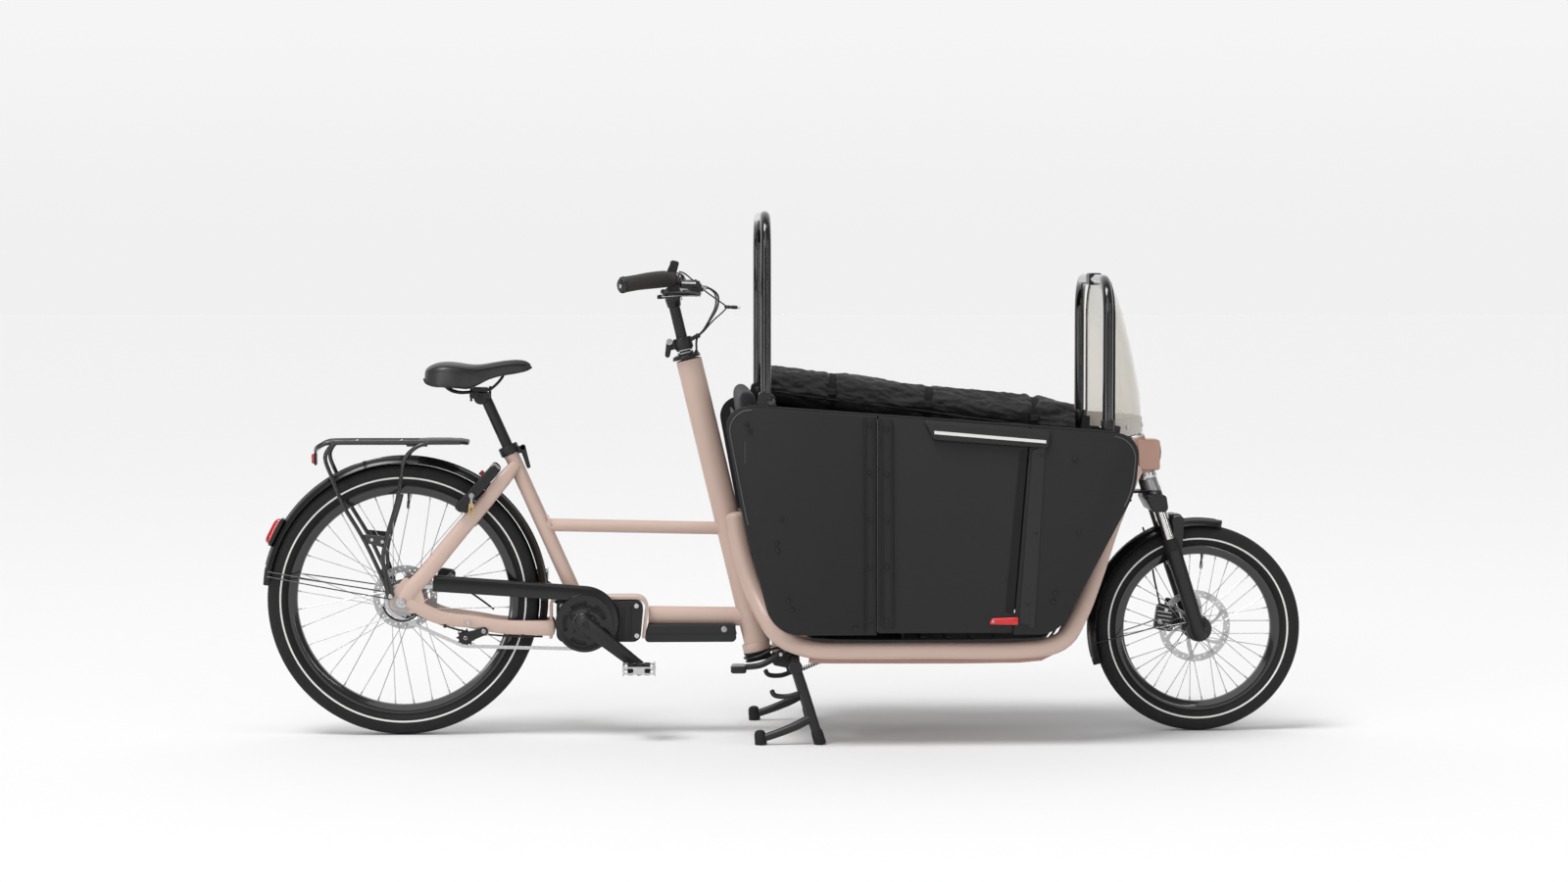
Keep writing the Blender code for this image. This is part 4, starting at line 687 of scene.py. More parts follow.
def frame_pieces():
    body = "frame"
    piece("frame_tubes", rear_frame(), "beige_paint", body, ["rear_frame"])
    piece("motor_bracket", motor_bracket(), "beige_paint", body, bevel=0.0015)
    piece("dropouts", join(dropout(-1), dropout(1)), "beige_paint", body, bevel=0.0022)
    ends = []
    for side in (-1, 1):
        ends.append(turned([(0.0145, 0.0), (0.0145, 0.0018), (0.0115, 0.0022)], REAR_AXLE + Vector((0, 0.071 * side, 0)),
                           (0, side, 0)))
        ends.append(hexagon(REAR_AXLE + Vector((0, 0.0730 * side, 0)), (0, side, 0), 0.0098, 0.0075))
        ends.append(turned([(0.0050, 0.0), (0.0050, 0.0100), (0.0040, 0.0115)],
                           REAR_AXLE + Vector((0, 0.0730 * side, 0)), (0, side, 0), sides=24))
        ends.append(bolt((-0.783, 0.068 * side, 0.284), (0, side, 0), 0.0058, 0.004))
    piece("axle_nuts", join(*ends), "silver", body)
    piece("axle_plates", join(*[prism(rounded([(-0.972, 0.322, 0.008), (-0.925, 0.312, 0.010), (-0.918, 0.345, 0.010),
                                               (-0.958, 0.354, 0.008)]), *sorted((0.0708 * side, 0.0722 * side)))
                                for side in (-1, 1)]), "dull_steel", body, bevel=0.0004)
    piece("motor_bolts", join(*[bolt((x, -0.0465, z), (0, -1, 0), 0.0065, 0.0050)
                                for x, z in ((-0.368, 0.322), (-0.3672, 0.248), (-0.552, 0.322), (-0.548, 0.252))]),
          "silver", body)
    casing = prism(rounded([(-0.566, 0.232, 0.020), (-0.566, 0.334, 0.014), (-0.349, 0.334, 0.024),
                            (-0.3585, 0.232, 0.020)]), -0.0450, 0.0450)
    drum = turned([(0.058, -0.050), (0.066, -0.046), (0.066, 0.056), (0.060, 0.060)], CRANK, sides=64)
    drum = combine(drum, cut=[box((-0.7, -0.1, 0.3345), (-0.2, 0.1, 0.5))])
    ribs = [prism(rounded([(x, 0.244, 0.002), (x + 0.006, 0.244, 0.002), (x + 0.009, 0.322, 0.002),
                           (x + 0.003, 0.322, 0.002)]), -0.0475, 0.0475) for x in (-0.420, -0.404, -0.388)]
    piece("motor_casing", join(casing, *ribs), "black_plastic", body, ["motor_housing"], bevel=0.005)
    piece("motor_drum", drum, "black_plastic", body, bevel=0.002)
    pack = prism(rounded([(-0.350, 0.2300, 0.010), (-0.119, 0.2300, 0.012), (-0.122, 0.2740, 0.006),
                          (-0.338, 0.2740, 0.006)]), -0.037, 0.037)
    seam = prism(rounded([(-0.3505, 0.2500, 0.001), (-0.1185, 0.2500, 0.001), (-0.1185, 0.2522, 0.001),
                          (-0.3505, 0.2522, 0.001)]), -0.0376, 0.0376)
    piece("battery_pack", pack, "dark_casing", body, ["battery"], bevel=0.004)
    piece("battery_seam", seam, "black_plastic", body)
    piece("battery_lock", bolt((-0.150, -0.0366, 0.262), (0, -1, 0), 0.0075, 0.003), "dull_steel", body)
    collar = turned_on(seat_at, SEAT_LEAN, [(0.0240, 0.697), (0.0248, 0.699), (0.0248, 0.716), (0.0240, 0.718),
                                            (0.0150, 0.718), (0.0150, 0.697)], 44, ring=True)
    ears = [box((-0.661, y - 0.0035, 0.700), (-0.6425, y + 0.0035, 0.717)) for y in (-0.009, 0.009)]
    piece("seat_collar", join(collar, *ears), "satin_black", body, bevel=0.0010)
    piece("seat_collar_bolt", join(bolt(SEAT_LEVER + Vector((0, 0.0125, -0.004)), (0, 1, 0), 0.0050, 0.004),
                                   bolt((-0.7005, 0, 0.708), (-1, 0, -0.3), 0.0045, 0.004)), "silver", body)


def rails():
    route = [(-0.125, 0.0555, 0.556), (-0.108, 0.059, 0.460), (-0.081, 0.080, 0.368), (-0.049, 0.135, 0.300),
             (-0.014, 0.200, 0.259), (0.046, 0.252, 0.2375), (0.120, 0.262, 0.2325), (0.340, 0.262, 0.2325),
             (0.560, 0.262, 0.2325), (0.662, 0.256, 0.251), (0.7105, 0.236, 0.316), (0.753, 0.200, 0.413),
             (0.793, 0.152, 0.515), (0.835, 0.106, 0.600), (0.872, 0.0545, 0.665)]
    thick = [0.0235] * 5 + [0.0228] * 8 + [0.0215, 0.0205]
    for name, side in (("right", -1), ("left", 1)):
        shape = tube(smooth([(x, y * side, z) for x, y, z in route], 6), spread(thick, 6), sides=32, ends=0.010)
        piece(f"{name}_rail", shape, "beige_paint", "frame", [f"{name}_side_rail"])


def keel():
    beam = prism(rounded([(-0.030, 0.196, 0.004), (0.640, 0.196, 0.004), (0.640, 0.232, 0.004),
                          (-0.030, 0.232, 0.004)]), -0.028, 0.028)
    cross = [turned([(0.0125, -half), (0.0125, half)], (x, 0, 0.2325), sides=32)
             for x, half in ((0.100, 0.2400), (0.560, 0.2420))]
    # Painted shade: thin strips in the darkened frame colour, just under the side rails, stand in for the shadow
    # beneath them.
    strip = [tube(smooth([(0.050, y, 0.2100), (0.110, y, 0.2075), (0.560, y, 0.2075), (0.640, y, 0.225)], 3), 0.0065,
                  sides=16) for y in (-0.262, 0.262)]
    plate = box((0.002, -0.058, 0.1985), (0.036, 0.058, 0.205))
    lugs = [prism(rounded([(0.002, 0.174, 0.010), (0.036, 0.174, 0.010), (0.036, 0.204, 0.002), (0.002, 0.204, 0.002)]),
                  y - 0.004, y + 0.004) for y in (-0.054, 0.054)]
    pin = turned([(0.0045, -0.097), (0.0045, -0.020)], (STAND_PEDAL.x, 0, STAND_PEDAL.z), sides=24)
    piece("keel", join(beam, *cross), "beige_paint", "frame", ["keel_beam"], bevel=0.0020)
    piece("keel_shade_strips", join(*strip), "rail_shade_paint", "frame")
    piece("stand_lugs", join(plate, *lugs), "satin_black", "frame", bevel=0.0010)
    piece("stand_lug_bolts", join(pin, *[bolt((0.019, 0.058 * s, 0.188), (0, s, 0), 0.0085, 0.005) for s in (-1, 1)],
                                  *[bolt((x, y, 0.1958), (0, 0, -1), 0.0050, 0.003) for x in (0.045, 0.300, 0.600)
                                    for y in (-0.016, 0.016)]), "silver", "frame")


def head():
    block = prism(rounded([(0.8850, 0.6550, 0.006), (0.9370, 0.6550, 0.006), (0.9370, 0.7310, 0.008),
                           (0.8800, 0.7310, 0.008)]), -0.0300, 0.0300)
    barrel = open_tube(fork_at, FORK_LEAN, 0.0262, 0.0160, 0.648, 0.7345)
    # Painted shade: the head block is drawn in the darkened frame paint for the shade on its side.
    piece("head_block", join(block, barrel), "head_shade_paint", "frame", ["head_tube"], bevel=0.0030)
    bezel = turned([(0.0185, 0.0), (0.0190, 0.004), (0.0165, 0.0045), (0.0160, 0.0020)], (0.9365, 0, 0.698), (1, 0, 0))
    lens = turned([(0.0158, 0.0), (0.0155, 0.0030), (0.0120, 0.0052), (0.0065, 0.0064), (0.0015, 0.0068)],
                  (0.9365, 0, 0.698), (1, 0, 0))
    piece("lamp_bezel", bezel, "gloss_black", "frame")
    piece("lamp_lens", lens, "pale_lens", "frame")
    cups = [turned_on(fork_at, FORK_LEAN, steps) for steps in (
        [(0.0245, 0.7335), (0.0255, 0.7350), (0.0255, 0.7385), (0.0215, 0.7400), (0.0210, 0.7435), (0.0150, 0.7450)],
        [(0.0255, 0.6335), (0.0262, 0.6350), (0.0262, 0.6460), (0.0255, 0.6480)])]
    piece("headset_cups", join(*cups), "silver", "frame")


# Cargo box


def panel_outline(inset=0.0, steps=14):
    x, z = inset, inset
    return rounded([
        (-0.163 + x, 0.832 - z, 0.050), (0.850 - x, 0.7575 - z, 0.055), (0.838 - x, 0.620, 0.200),
        (0.653 - 0.7 * x, 0.274 + z, 0.085), (-0.038 + 0.8 * x, 0.274 + z, 0.085), (-0.112 + x, 0.560, 0.600),
    ], steps)


def panel_plate(side):
    """A plate with a chamfer round its outer face."""
    levels = ((0.3000, 0.0), (0.3068, 0.0), (0.3100, 0.0042))
    return loft([[(x, y * side, z) for x, z in panel_outline(inset)] for y, inset in levels])


BEHIND_DOOR = [(-0.5, 0.0), (0.2145, 0.0), (0.2145, 1.0), (-0.5, 1.0)]
BEYOND_HINGE = [(0.2115, 0.0), (1.2, 0.0), (1.2, 1.0), (0.2115, 1.0)]
BEYOND_DOOR = [(0.5150, 0.0), (1.2, 0.0), (1.2, 1.0), (0.5990, 1.0)]
BEHIND_FRONT = [(-0.5, 0.0), (0.5190, 0.0), (0.6030, 1.0), (-0.5, 1.0)]


def hinge_strip(top, bottom, width):
    """A raised strip on the near side with a ridge along both edges."""
    (x1, z1), (x0, z0) = top, bottom
    plate = prism([(x0, z0), (x0 + width, z0), (x1 + width, z1), (x1, z1)], -0.3130, -0.3095)
    ridges = [prism([(x0 + d, z0), (x0 + d + 0.0026, z0), (x1 + d + 0.0026, z1), (x1 + d, z1)], -0.3168, -0.3095)
              for d in (0.0, width - 0.0026)]
    return join(plate, *ridges)


def panels():
    piece("left_panel", panel_plate(1), "charcoal_panel", "frame", ["left_side_panel"], bevel=0.0008)
    piece("rear_panel", combine(panel_plate(-1), cut=[prism(BEYOND_HINGE, -0.35, -0.25)]), "charcoal_panel", "frame",
          ["right_rear_panel"], bevel=0.0008)
    piece("front_panel", combine(panel_plate(-1), cut=[prism(BEHIND_FRONT, -0.35, -0.25)]), "charcoal_panel", "frame",
          ["right_front_panel"], bevel=0.0008)
    cuts = [prism(line, -0.35, -0.25) for line in (BEHIND_DOOR, BEYOND_DOOR)] + [box((0.1, -0.35, 0.20),
                                                                                    (0.7, -0.25, 0.279))]
    piece("door_plate", combine(panel_plate(-1), cut=cuts), "charcoal_panel", "side_door", ["side_door"], bevel=0.0010)
    piece("hinge_strip_rear", hinge_strip((0.1810, 0.800), (0.1850, 0.277), 0.0240), "charcoal_panel", "frame",
          bevel=0.0005)
    piece("hinge_strip_door", hinge_strip((0.2200, 0.796), (0.2240, 0.294), 0.0270), "charcoal_panel", "side_door",
          bevel=0.0005)
    # Painted highlight: pale beads inset along the panel edges stand in for the light the edges catch.
    beads = []
    outline = panel_outline(0.0085)
    for inside in (lambda x, z: x < 0.176 and z > 0.40, lambda x, z: x > 0.640 and z > 0.40):
        kept = [(x, z) for x, z in outline if inside(x, z)]
        start = max(range(len(kept)), key=lambda k: math.dist(kept[k], kept[k - 1]))
        kept = kept[start:] + kept[:start]
        beads.append(tube([(x, -0.3098, z) for x, z in kept], 0.0014, sides=10))
    piece("panel_highlight_beads", join(*beads), "edge_highlight_grey", "frame")
    knuckle = tube([(0.2130, -0.3098, 0.283), (0.2130, -0.3098, 0.796)], 0.0022, sides=16)
    piece("hinge_pin", knuckle, "gloss_black", "frame")
    screws = [bolt((0.1932 + 0.0035 * (0.78 - z), -0.3135, z), (0, -1, 0), 0.0052, 0.0036)
              for z in (0.781, 0.667, 0.554, 0.439, 0.311)]
    piece("hinge_screws_rear", join(*screws), "dark_bolt", "frame")
    screws = [bolt((0.2338 + 0.0035 * (0.78 - z), -0.3135, z), (0, -1, 0), 0.0052, 0.0036)
              for z in (0.772, 0.664, 0.552, 0.439, 0.310)]
    piece("hinge_screws_door", join(*screws), "dark_bolt", "side_door")
    spots = [(-0.102, 0.785), (-0.094, 0.769), (-0.019, 0.555), (-0.031, 0.499), (-0.028, 0.479), (-0.003, 0.357),
             (0.007, 0.335), (0.159, 0.290), (0.644, 0.374), (0.638, 0.353), (0.690, 0.700), (0.700, 0.523)]
    heads = [bolt((x, -0.3098, z), (0, -1, 0), 0.0055, 0.0036) for x, z in spots]
    heads += [bolt((x, 0.3098, z), (0, 1, 0), 0.0048, 0.0026) for x, z in spots + [(0.30, 0.31), (0.52, 0.31),
                                                                                    (0.30, 0.74), (0.50, 0.74)]]
    piece("panel_bolts", join(*heads), "dark_bolt", "frame")
    piece("panel_slot", prism(rounded([(-0.1080, 0.690, 0.0018), (-0.1040, 0.690, 0.0018), (-0.1040, 0.744, 0.0018),
                                       (-0.1080, 0.744, 0.0018)]), -0.3106, -0.3090), "gloss_black", "frame")
    pull = loft([[(x, y, z) for x, z in rounded([(0.3230 + d, 0.7955 - d, 0.006), (0.6310 - d, 0.7690 - d, 0.006),
                                                 (0.6240 - d, 0.7260 + d, 0.010), (0.3480 + d, 0.7470 + d, 0.010)])]
                 for y, d in ((-0.3098, 0.0), (-0.3160, 0.0), (-0.3185, 0.0030))])
    piece("door_pull", pull, "black_plastic", "side_door", bevel=0.0006)
    piece("door_pull_tape", prism([(0.3490, 0.7685), (0.3490, 0.7605), (0.6190, 0.7375), (0.6190, 0.7450)], -0.3190,
                                  -0.3183), "reflective", "side_door")
    piece("door_pull_screws", join(*[bolt((x, -0.3183, z), (0, -1, 0), 0.0036, 0.0018)
                                     for x, z in ((0.352, 0.7535), (0.480, 0.7435), (0.560, 0.7370))]), "satin_black",
          "side_door")
    piece("edge_strap", prism([(0.5570, 0.7200), (0.5750, 0.7220), (0.5430, 0.3240), (0.5230, 0.3320)], -0.3128,
                              -0.3096), "webbing", "side_door", bevel=0.0008)
    piece("edge_strip", prism([(0.5860, 0.7190), (0.6190, 0.7330), (0.5930, 0.2880), (0.5560, 0.3050)], -0.3122,
                              -0.3096), "panel_edge", "frame", bevel=0.0008)
    piece("edge_strip_bolts", join(*[bolt((x, -0.3120, z), (0, -1, 0), 0.0042, 0.0024)
                                     for x, z in ((0.610, 0.7090), (0.5950, 0.5230), (0.5760, 0.3490),
                                                  (0.5740, 0.3000))]), "dark_bolt", "frame")
    tab = loft([[(x, y, z) for x, z in rounded([(0.4820 + d, 0.3000 + d, 0.004), (0.5530 - d, 0.2985 + d, 0.003),
                                                (0.5530 - d, 0.3170 - d, 0.003), (0.4900 + d, 0.3145 - d, 0.005)])]
                for y, d in ((-0.3104, 0.0), (-0.3148, 0.0), (-0.3165, 0.0018))])
    piece("latch_tab", tab, "red_plastic", "door_latch", ["door_latch"])
    piece("latch_rivet", bolt((0.492, -0.3164, 0.307), (0, -1, 0), 0.0036, 0.0012), "dull_steel", "door_latch")


def tub():
    outer = [(-0.128, 0.800), (-0.091, 0.560), (-0.056, 0.430), (-0.012, 0.330), (0.040, 0.275), (0.110, 0.258),
             (0.560, 0.258), (0.630, 0.276), (0.672, 0.340), (0.745, 0.480), (0.808, 0.610), (0.824, 0.690),
             (0.822, 0.722)]
    line = [(p.x, p.z) for p in smooth([(x, 0, z) for x, z in outer], 3)]
    thick = 0.006
    inner = []
    for i, (x, z) in enumerate(line):
        before, after = Vector(line[max(i - 1, 0)]), Vector(line[min(i + 1, len(line) - 1)])
        along = (after - before).normalized()
        inner.append((x - along.y * thick, z + along.x * thick))
    piece("tub_sheet", prism(line + inner[::-1], -0.2985, 0.2985), "charcoal_panel", "frame", ["box_tub"], bevel=0.0010)
    ribs = [box((x, -0.285, 0.2640), (x + 0.012, 0.285, 0.2672)) for x in (0.32, 0.38, 0.44, 0.50)]
    piece("floor_ribs", join(*ribs), "black_plastic", "frame", bevel=0.0012)
    piece("bench_front_board", prism(rounded([(0.2750, 0.2620, 0.001), (0.2810, 0.2620, 0.001), (0.2810, 0.4520, 0.001),
                                              (0.2750, 0.4520, 0.001)]), -0.262, 0.262), "dark_casing", "frame")
    rim = []
    for y in (-0.3045, 0.3045):
        rim.append(tube([(-0.100, y, 0.8285), (0.790, y, 0.7630)], 0.0035, sides=12))
    piece("panel_top_trim", join(*rim), "rubber", "frame")


def cushion(name, shape, cap):
    """A stuffed pad: remeshed, swollen by cloth simulation with a cap on its movement, and smoothed."""
    mesh = bpy.data.meshes.new(name)
    shape.to_mesh(mesh)
    shape.free()
    obj = bpy.data.objects.new(name, mesh)
    SCENE.collection.objects.link(obj)
    bpy.context.view_layer.objects.active = obj
    remesh = obj.modifiers.new("remesh", "REMESH")
    remesh.mode = "VOXEL"
    remesh.voxel_size = 0.0085
    fine = bpy.data.meshes.new_from_object(obj.evaluated_get(bpy.context.evaluated_depsgraph_get()))
    obj.modifiers.clear()
    obj.data = fine
    start = [v.co.copy() for v in fine.vertices]
    cloth = obj.modifiers.new("cloth", "CLOTH")
    cloth.settings.use_pressure = True
    cloth.settings.uniform_pressure_force = 4.0
    cloth.settings.effector_weights.gravity = 0.0
    cloth.settings.quality = 4
    SCENE.frame_start, SCENE.frame_end = 1, 14
    for k in range(1, 15):
        SCENE.frame_set(k)
    blown = bpy.data.meshes.new_from_object(obj.evaluated_get(bpy.context.evaluated_depsgraph_get()))
    obj.modifiers.clear()
    for vertex, was, now in zip(fine.vertices, start, blown.vertices):
        move = now.co - was
        vertex.co = was + move * min(1.0, cap / max(move.length, 1e-9))
    bpy.data.meshes.remove(blown)
    SCENE.frame_set(1)
    return obj


def finish_cushion(obj, finish, body, levels=1):
    obj.data.shade_smooth()
    obj.data.materials.clear()
    obj.data.materials.append(LOOKS[finish])
    if levels:
        fine = obj.modifiers.new("fine", "SUBSURF")
        fine.levels = fine.render_levels = levels
    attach(obj, body)
    return obj


def press(obj, centre, half, depth, axis, reach):
    """Sinks a soft groove: points within half of the plane at centre along axis move in from the face by depth."""
    for vertex in obj.data.vertices:
        away = abs(vertex.co[axis] - centre) / half
        if away < 1:
            fall = (1 - away * away) ** 2
            vertex.co += reach(vertex.co) * depth * fall


def bench():
    seat = prism(rounded([(-0.044, 0.4580, 0.012), (0.306, 0.4580, 0.012), (0.306, 0.4930, 0.016),
                          (-0.020, 0.4930, 0.014)]), -0.250, 0.250)
    seat_pad = cushion("bench_cushion", seat, 0.0060)
    press(seat_pad, 0.0, 0.012, 0.009, 1, lambda co: Vector((0, 0, -1)) if co.z > 0.480 else Vector())
    press(seat_pad, 0.135, 0.010, 0.005, 0, lambda co: Vector((0, 0, -1)) if co.z > 0.480 else Vector())
    finish_cushion(seat_pad, "cushion_cloth", "frame")
    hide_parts("bench_seat")
    back = prism(rounded([(-0.120, 0.866, 0.014), (-0.112, 0.800, 0), (-0.074, 0.556, 0), (-0.056, 0.506, 0.012),
                          (-0.026, 0.506, 0.012), (-0.040, 0.562, 0), (-0.080, 0.800, 0), (-0.084, 0.868, 0.014)], 4),
                 -0.250, 0.250)
    back_pad = cushion("bench_back_cushion", back, 0.0050)
    press(back_pad, 0.0, 0.012, 0.008, 1, lambda co: Vector((-0.97, 0, -0.15)) if co.x > -0.140 + 0.158 * (0.868 - co.z)
          + 0.042 else Vector())
    press(back_pad, 0.690, 0.010, 0.005, 2, lambda co: Vector((-0.97, 0, -0.15)) if co.x > -0.140 + 0.158 * (0.868 - co.z)
          + 0.042 else Vector())
    finish_cushion(back_pad, "cushion_cloth", "frame")
    piping = []
    for y in (-0.251, 0.251):
        piping.append(tube(smooth([(-0.030, y, 0.487), (0.140, y, 0.4905), (0.303, y, 0.487)], 4), 0.0026, sides=10))
    piece("bench_piping", join(*piping), "webbing", "frame")
    belts = []
    for y in (-0.150, -0.050, 0.050, 0.150):
        belts.append(tube(smooth([(-0.061, y, 0.650), (-0.020, y, 0.540), (0.020, y + 0.01, 0.5035),
                                  (0.090, y + 0.02, 0.5025)], 6), 0.0125, sides=16, squash=0.11))
    piece("bench_belts", join(*belts), "webbing", "frame")
    piece("belt_buckles", join(*[prism(rounded([(0.084, 0.5015, 0.003), (0.122, 0.5015, 0.003), (0.122, 0.5095, 0.003),
                                                (0.084, 0.5095, 0.003)]), y + 0.006, y + 0.034)
                                 for y in (-0.150, -0.050, 0.050, 0.150)]), "black_plastic", "frame", bevel=0.002)


# Roof


def hoop(name, x, foot, top):
    bend = 0.085
    route = [(x, -HOOP_Y, foot)]
    for centre, first in ((-HOOP_Y + bend, 180), (HOOP_Y - bend, 90)):
        for k in range(13):
            turn = math.radians(first - 7.5 * k)
            route.append((x, centre + bend * math.cos(turn), top - bend + bend * math.sin(turn)))
    route.append((x, HOOP_Y, foot))
    piece(name + "_tube", tube(route, 0.0125, sides=28), "gloss_black", "frame", [name], bevel=0.0)
    plates, bolts = [], []
    for side in (-1, 1):
        y0, y1 = sorted((HOOP_Y * side + 0.003 * side, HOOP_Y * side + 0.0145 * side))
        plates.append(prism(rounded([(x - 0.022, foot - 0.002, 0.006), (x + 0.022, foot - 0.002, 0.006),
                                     (x + 0.020, foot + 0.075, 0.008), (x - 0.020, foot + 0.075, 0.008)]), y0, y1))
        plates.append(turned([(0.0150, 0.0), (0.0165, 0.003), (0.0165, 0.030), (0.0150, 0.033)],
                             (x, HOOP_Y * side, foot + 0.120), (0, 0, 1), sides=32))
        for dz in (0.012, 0.060):
            bolts.append(bolt((x, HOOP_Y * side - 0.0125 * side, foot + dz), (0, -side, 0), 0.0055, 0.004))
            bolts.append(bolt((x - 0.012, HOOP_Y * side + 0.0145 * side, foot + dz), (0, side, 0), 0.0045, 0.0012))
    piece(name + "_plates", join(*plates), "satin_black", "frame", bevel=0.0012)
    piece(name + "_bolts", join(*bolts), "silver", "frame")


def roof():
    hoop("rear_hoop", REAR_HOOP_X, 0.700, REAR_HOOP_TOP)
    hoop("front_hoop", FRONT_HOOP_X, 0.640, FRONT_HOOP_TOP)
    clip = prism(rounded([(-0.078, 0.828, 0.006), (-0.030, 0.824, 0.006), (-0.034, 0.852, 0.010), (-0.071, 0.868, 0.012)]),
                 -0.3015, -0.2700)
    piece("hoop_clamps", join(clip, prism(rounded([(-0.078, 0.828, 0.006), (-0.030, 0.824, 0.006),
                                                   (-0.034, 0.852, 0.010), (-0.071, 0.868, 0.012)]), 0.2700, 0.3015)),
          "satin_black", "frame", bevel=0.0015)
    piece("hoop_clamp_knobs", join(*[turned([(0.0095, 0.0), (0.0100, 0.002), (0.0090, 0.0065), (0.0050, 0.0072)],
                                            (-0.044, 0.3015 * s, 0.840), (0, s, 0), sides=20) for s in (-1, 1)]),
          "gloss_black", "frame")
    cap = prism(rounded([(0.757, FRONT_HOOP_TOP - 0.014, 0.004), (0.789, FRONT_HOOP_TOP - 0.014, 0.004),
                         (0.789, FRONT_HOOP_TOP + 0.0155, 0.006), (0.757, FRONT_HOOP_TOP + 0.0155, 0.006)]), -0.030, 0.030)
    piece("front_hoop_clip", cap, "satin_black", "frame", bevel=0.002)
    levels = [(0.757, 0.102, 0.268), (0.800, 0.100, 0.268), (0.840, 0.097, 0.268), (0.900, 0.086, 0.268),
              (0.947, 0.076, 0.268), (1.000, 0.063, 0.268), (1.050, 0.049, 0.266), (1.090, 0.034, 0.242),
              (1.108, 0.024, 0.218), (1.122, 0.015, 0.188)]
    across = [k / 12 - 1 for k in range(25)]

    def sheet_part(chosen, offset, thick):
        sections = []
        for z, bulge, half in chosen:
            front = [(0.789 + offset + bulge * (1 - t * t), t * half, z) for t in across]
            sections.append(front + [(x - thick, y, z) for x, y, z in reversed(front)])
        return loft(sections)

    piece("windscreen_sheet", sheet_part(levels, 0.0, 0.0022), "windscreen", "frame", ["windscreen"])
    strip_levels = [(0.752, 0.102, 0.270), (0.770, 0.1015, 0.270), (0.790, 0.1005, 0.270)]
    piece("windscreen_strip", sheet_part(strip_levels, 0.0016, 0.0052), "screen_strip", "frame", bevel=0.0008)
    edge = []
    for side in (-1, 1):
        edge.append(tube(smooth([(0.789, half * side, z) for z, _, half in levels], 3), 0.0032, sides=12))
    edge.append(tube([(0.789 + levels[-1][1] * (1 - t * t), t * levels[-1][2], levels[-1][0]) for t in across], 0.0032,
                     sides=12))
    piece("windscreen_edge", join(*edge), "rubber", "frame")
    studs, mounts = [], []
    for t in (-0.80, -0.30, 0.30, 0.80):
        x = 0.7925 + 0.1005 * (1 - t * t)
        studs.append(bolt((x, t * 0.268, 0.771), (1, t * 0.55, 0), 0.0050, 0.003))
    for side in (-1, 1):
        mounts.append(prism(rounded([(0.772, 0.742, 0.004), (0.800, 0.742, 0.004), (0.806, 0.776, 0.004),
                                     (0.778, 0.780, 0.004)]), *sorted((0.255 * side, 0.274 * side))))
    piece("windscreen_studs", join(*studs), "silver", "frame")
    piece("windscreen_mounts", join(*mounts), "satin_black", "frame", bevel=0.0012)


def tent():
    """The rolled roof: a fabric roll with folds along it, tied by straps, over its own hanging edge."""
    route = [(-0.030, 0.214, 0.865), (0.070, 0.214, 0.850), (0.170, 0.214, 0.838), (0.265, 0.214, 0.825),
             (0.360, 0.214, 0.813), (0.460, 0.214, 0.799), (0.560, 0.214, 0.787), (0.655, 0.214, 0.775),
             (0.748, 0.214, 0.763)]
    radii = [0.044, 0.048, 0.050, 0.048, 0.047, 0.049, 0.051, 0.055, 0.048]
    points = smooth(route, 24)
    sizes = spread(radii, 24)
    sections = []
    sides = 96
    for i, (point, radius) in enumerate(zip(points, sizes)):
        section = []
        part = i / (len(points) - 1)
        pinch = 1 - 0.13 * sum(math.exp(-((part - at) / 0.014) ** 2) for at in (0.20, 0.52, 0.86))
        for k in range(sides):
            turn = 2 * math.pi * k / sides
            at = Vector((point.x * 16, 2.2 * math.cos(turn), 2.2 * math.sin(turn)))
            folds = 0.045 * math.sin(5 * turn + 9 * part + 1.3 * math.sin(14 * part))
            creases = 0.17 * abs(noise.noise(at)) + 0.10 * abs(noise.noise(at * 2.3 + Vector((3, 1, 2))))
            seam = 0.05 * math.exp(-((turn - 3.35) / 0.10) ** 2)
            lap = 0.05 * (turn / (2 * math.pi))
            r = radius * pinch * (1.04 + folds * (0.5 + part) - creases + seam + lap)
            section.append(point + Vector((0, math.cos(turn) * r * 0.96, math.sin(turn) * r)))
        sections.append(section)
    roll = piece("tent_roll", loft(sections), "tent_cloth", "frame", ["rolled_tent"], angle=75)
    rows = []
    count = 60
    for i in range(count + 1):
        part = i / count
        x = -0.024 + 0.766 * part
        top = 0.846 - 0.0960 * part
        bottom = 0.745 - 0.0860 * part
        row = []
        for k in range(9):
            down = k / 8
            z = top + (bottom - top) * down
            wave = 0.0042 * math.sin(38 * part + 2.2 * down) * down + 0.004 * noise.noise(Vector((x * 14, z * 14, 2.0)))
            row.append(Vector((x, 0.257 + wave, z)))
        rows.append(row)
    skirt = piece("tent_edge", loft([row + [p + Vector((0, 0.0014, 0)) for p in reversed(row)] for row in rows]),
                  "tent_cloth", "frame", angle=60)
    bands_, buckles = [], []
    for part in (0.20, 0.52, 0.86):
        i = int(part * (len(points) - 1))
        point, radius = points[i], sizes[i] * 0.905
        bands_.append(turned([(radius, -0.010), (radius + 0.002, -0.009), (radius + 0.002, 0.009), (radius, 0.010),
                              (radius - 0.004, 0.0)], point, (1, 0, -0.131), sides=56, ring=True))
        buckles.append(box((point.x - 0.011, point.y - radius - 0.0055, point.z - 0.008),
                           (point.x + 0.011, point.y - radius + 0.002, point.z + 0.008)))
    piece("tent_straps", join(*bands_), "webbing", "frame")
    piece("tent_buckles", join(*buckles), "black_plastic", "frame", bevel=0.002)
    zip_line = []
    for i in range(4, len(points) - 4):
        point, radius = points[i], sizes[i]
        turn = math.radians(203)
        zip_line.append(point + Vector((0, math.cos(turn) * radius * 0.99, math.sin(turn) * radius * 0.99)))
    piece("tent_zip", tube(zip_line, 0.0026, sides=10), "black_plastic", "frame")


camera_and_light()
frame_pieces()
rails()
keel()
head()
panels()
tub()
bench()
roof()
tent()


# Wheels


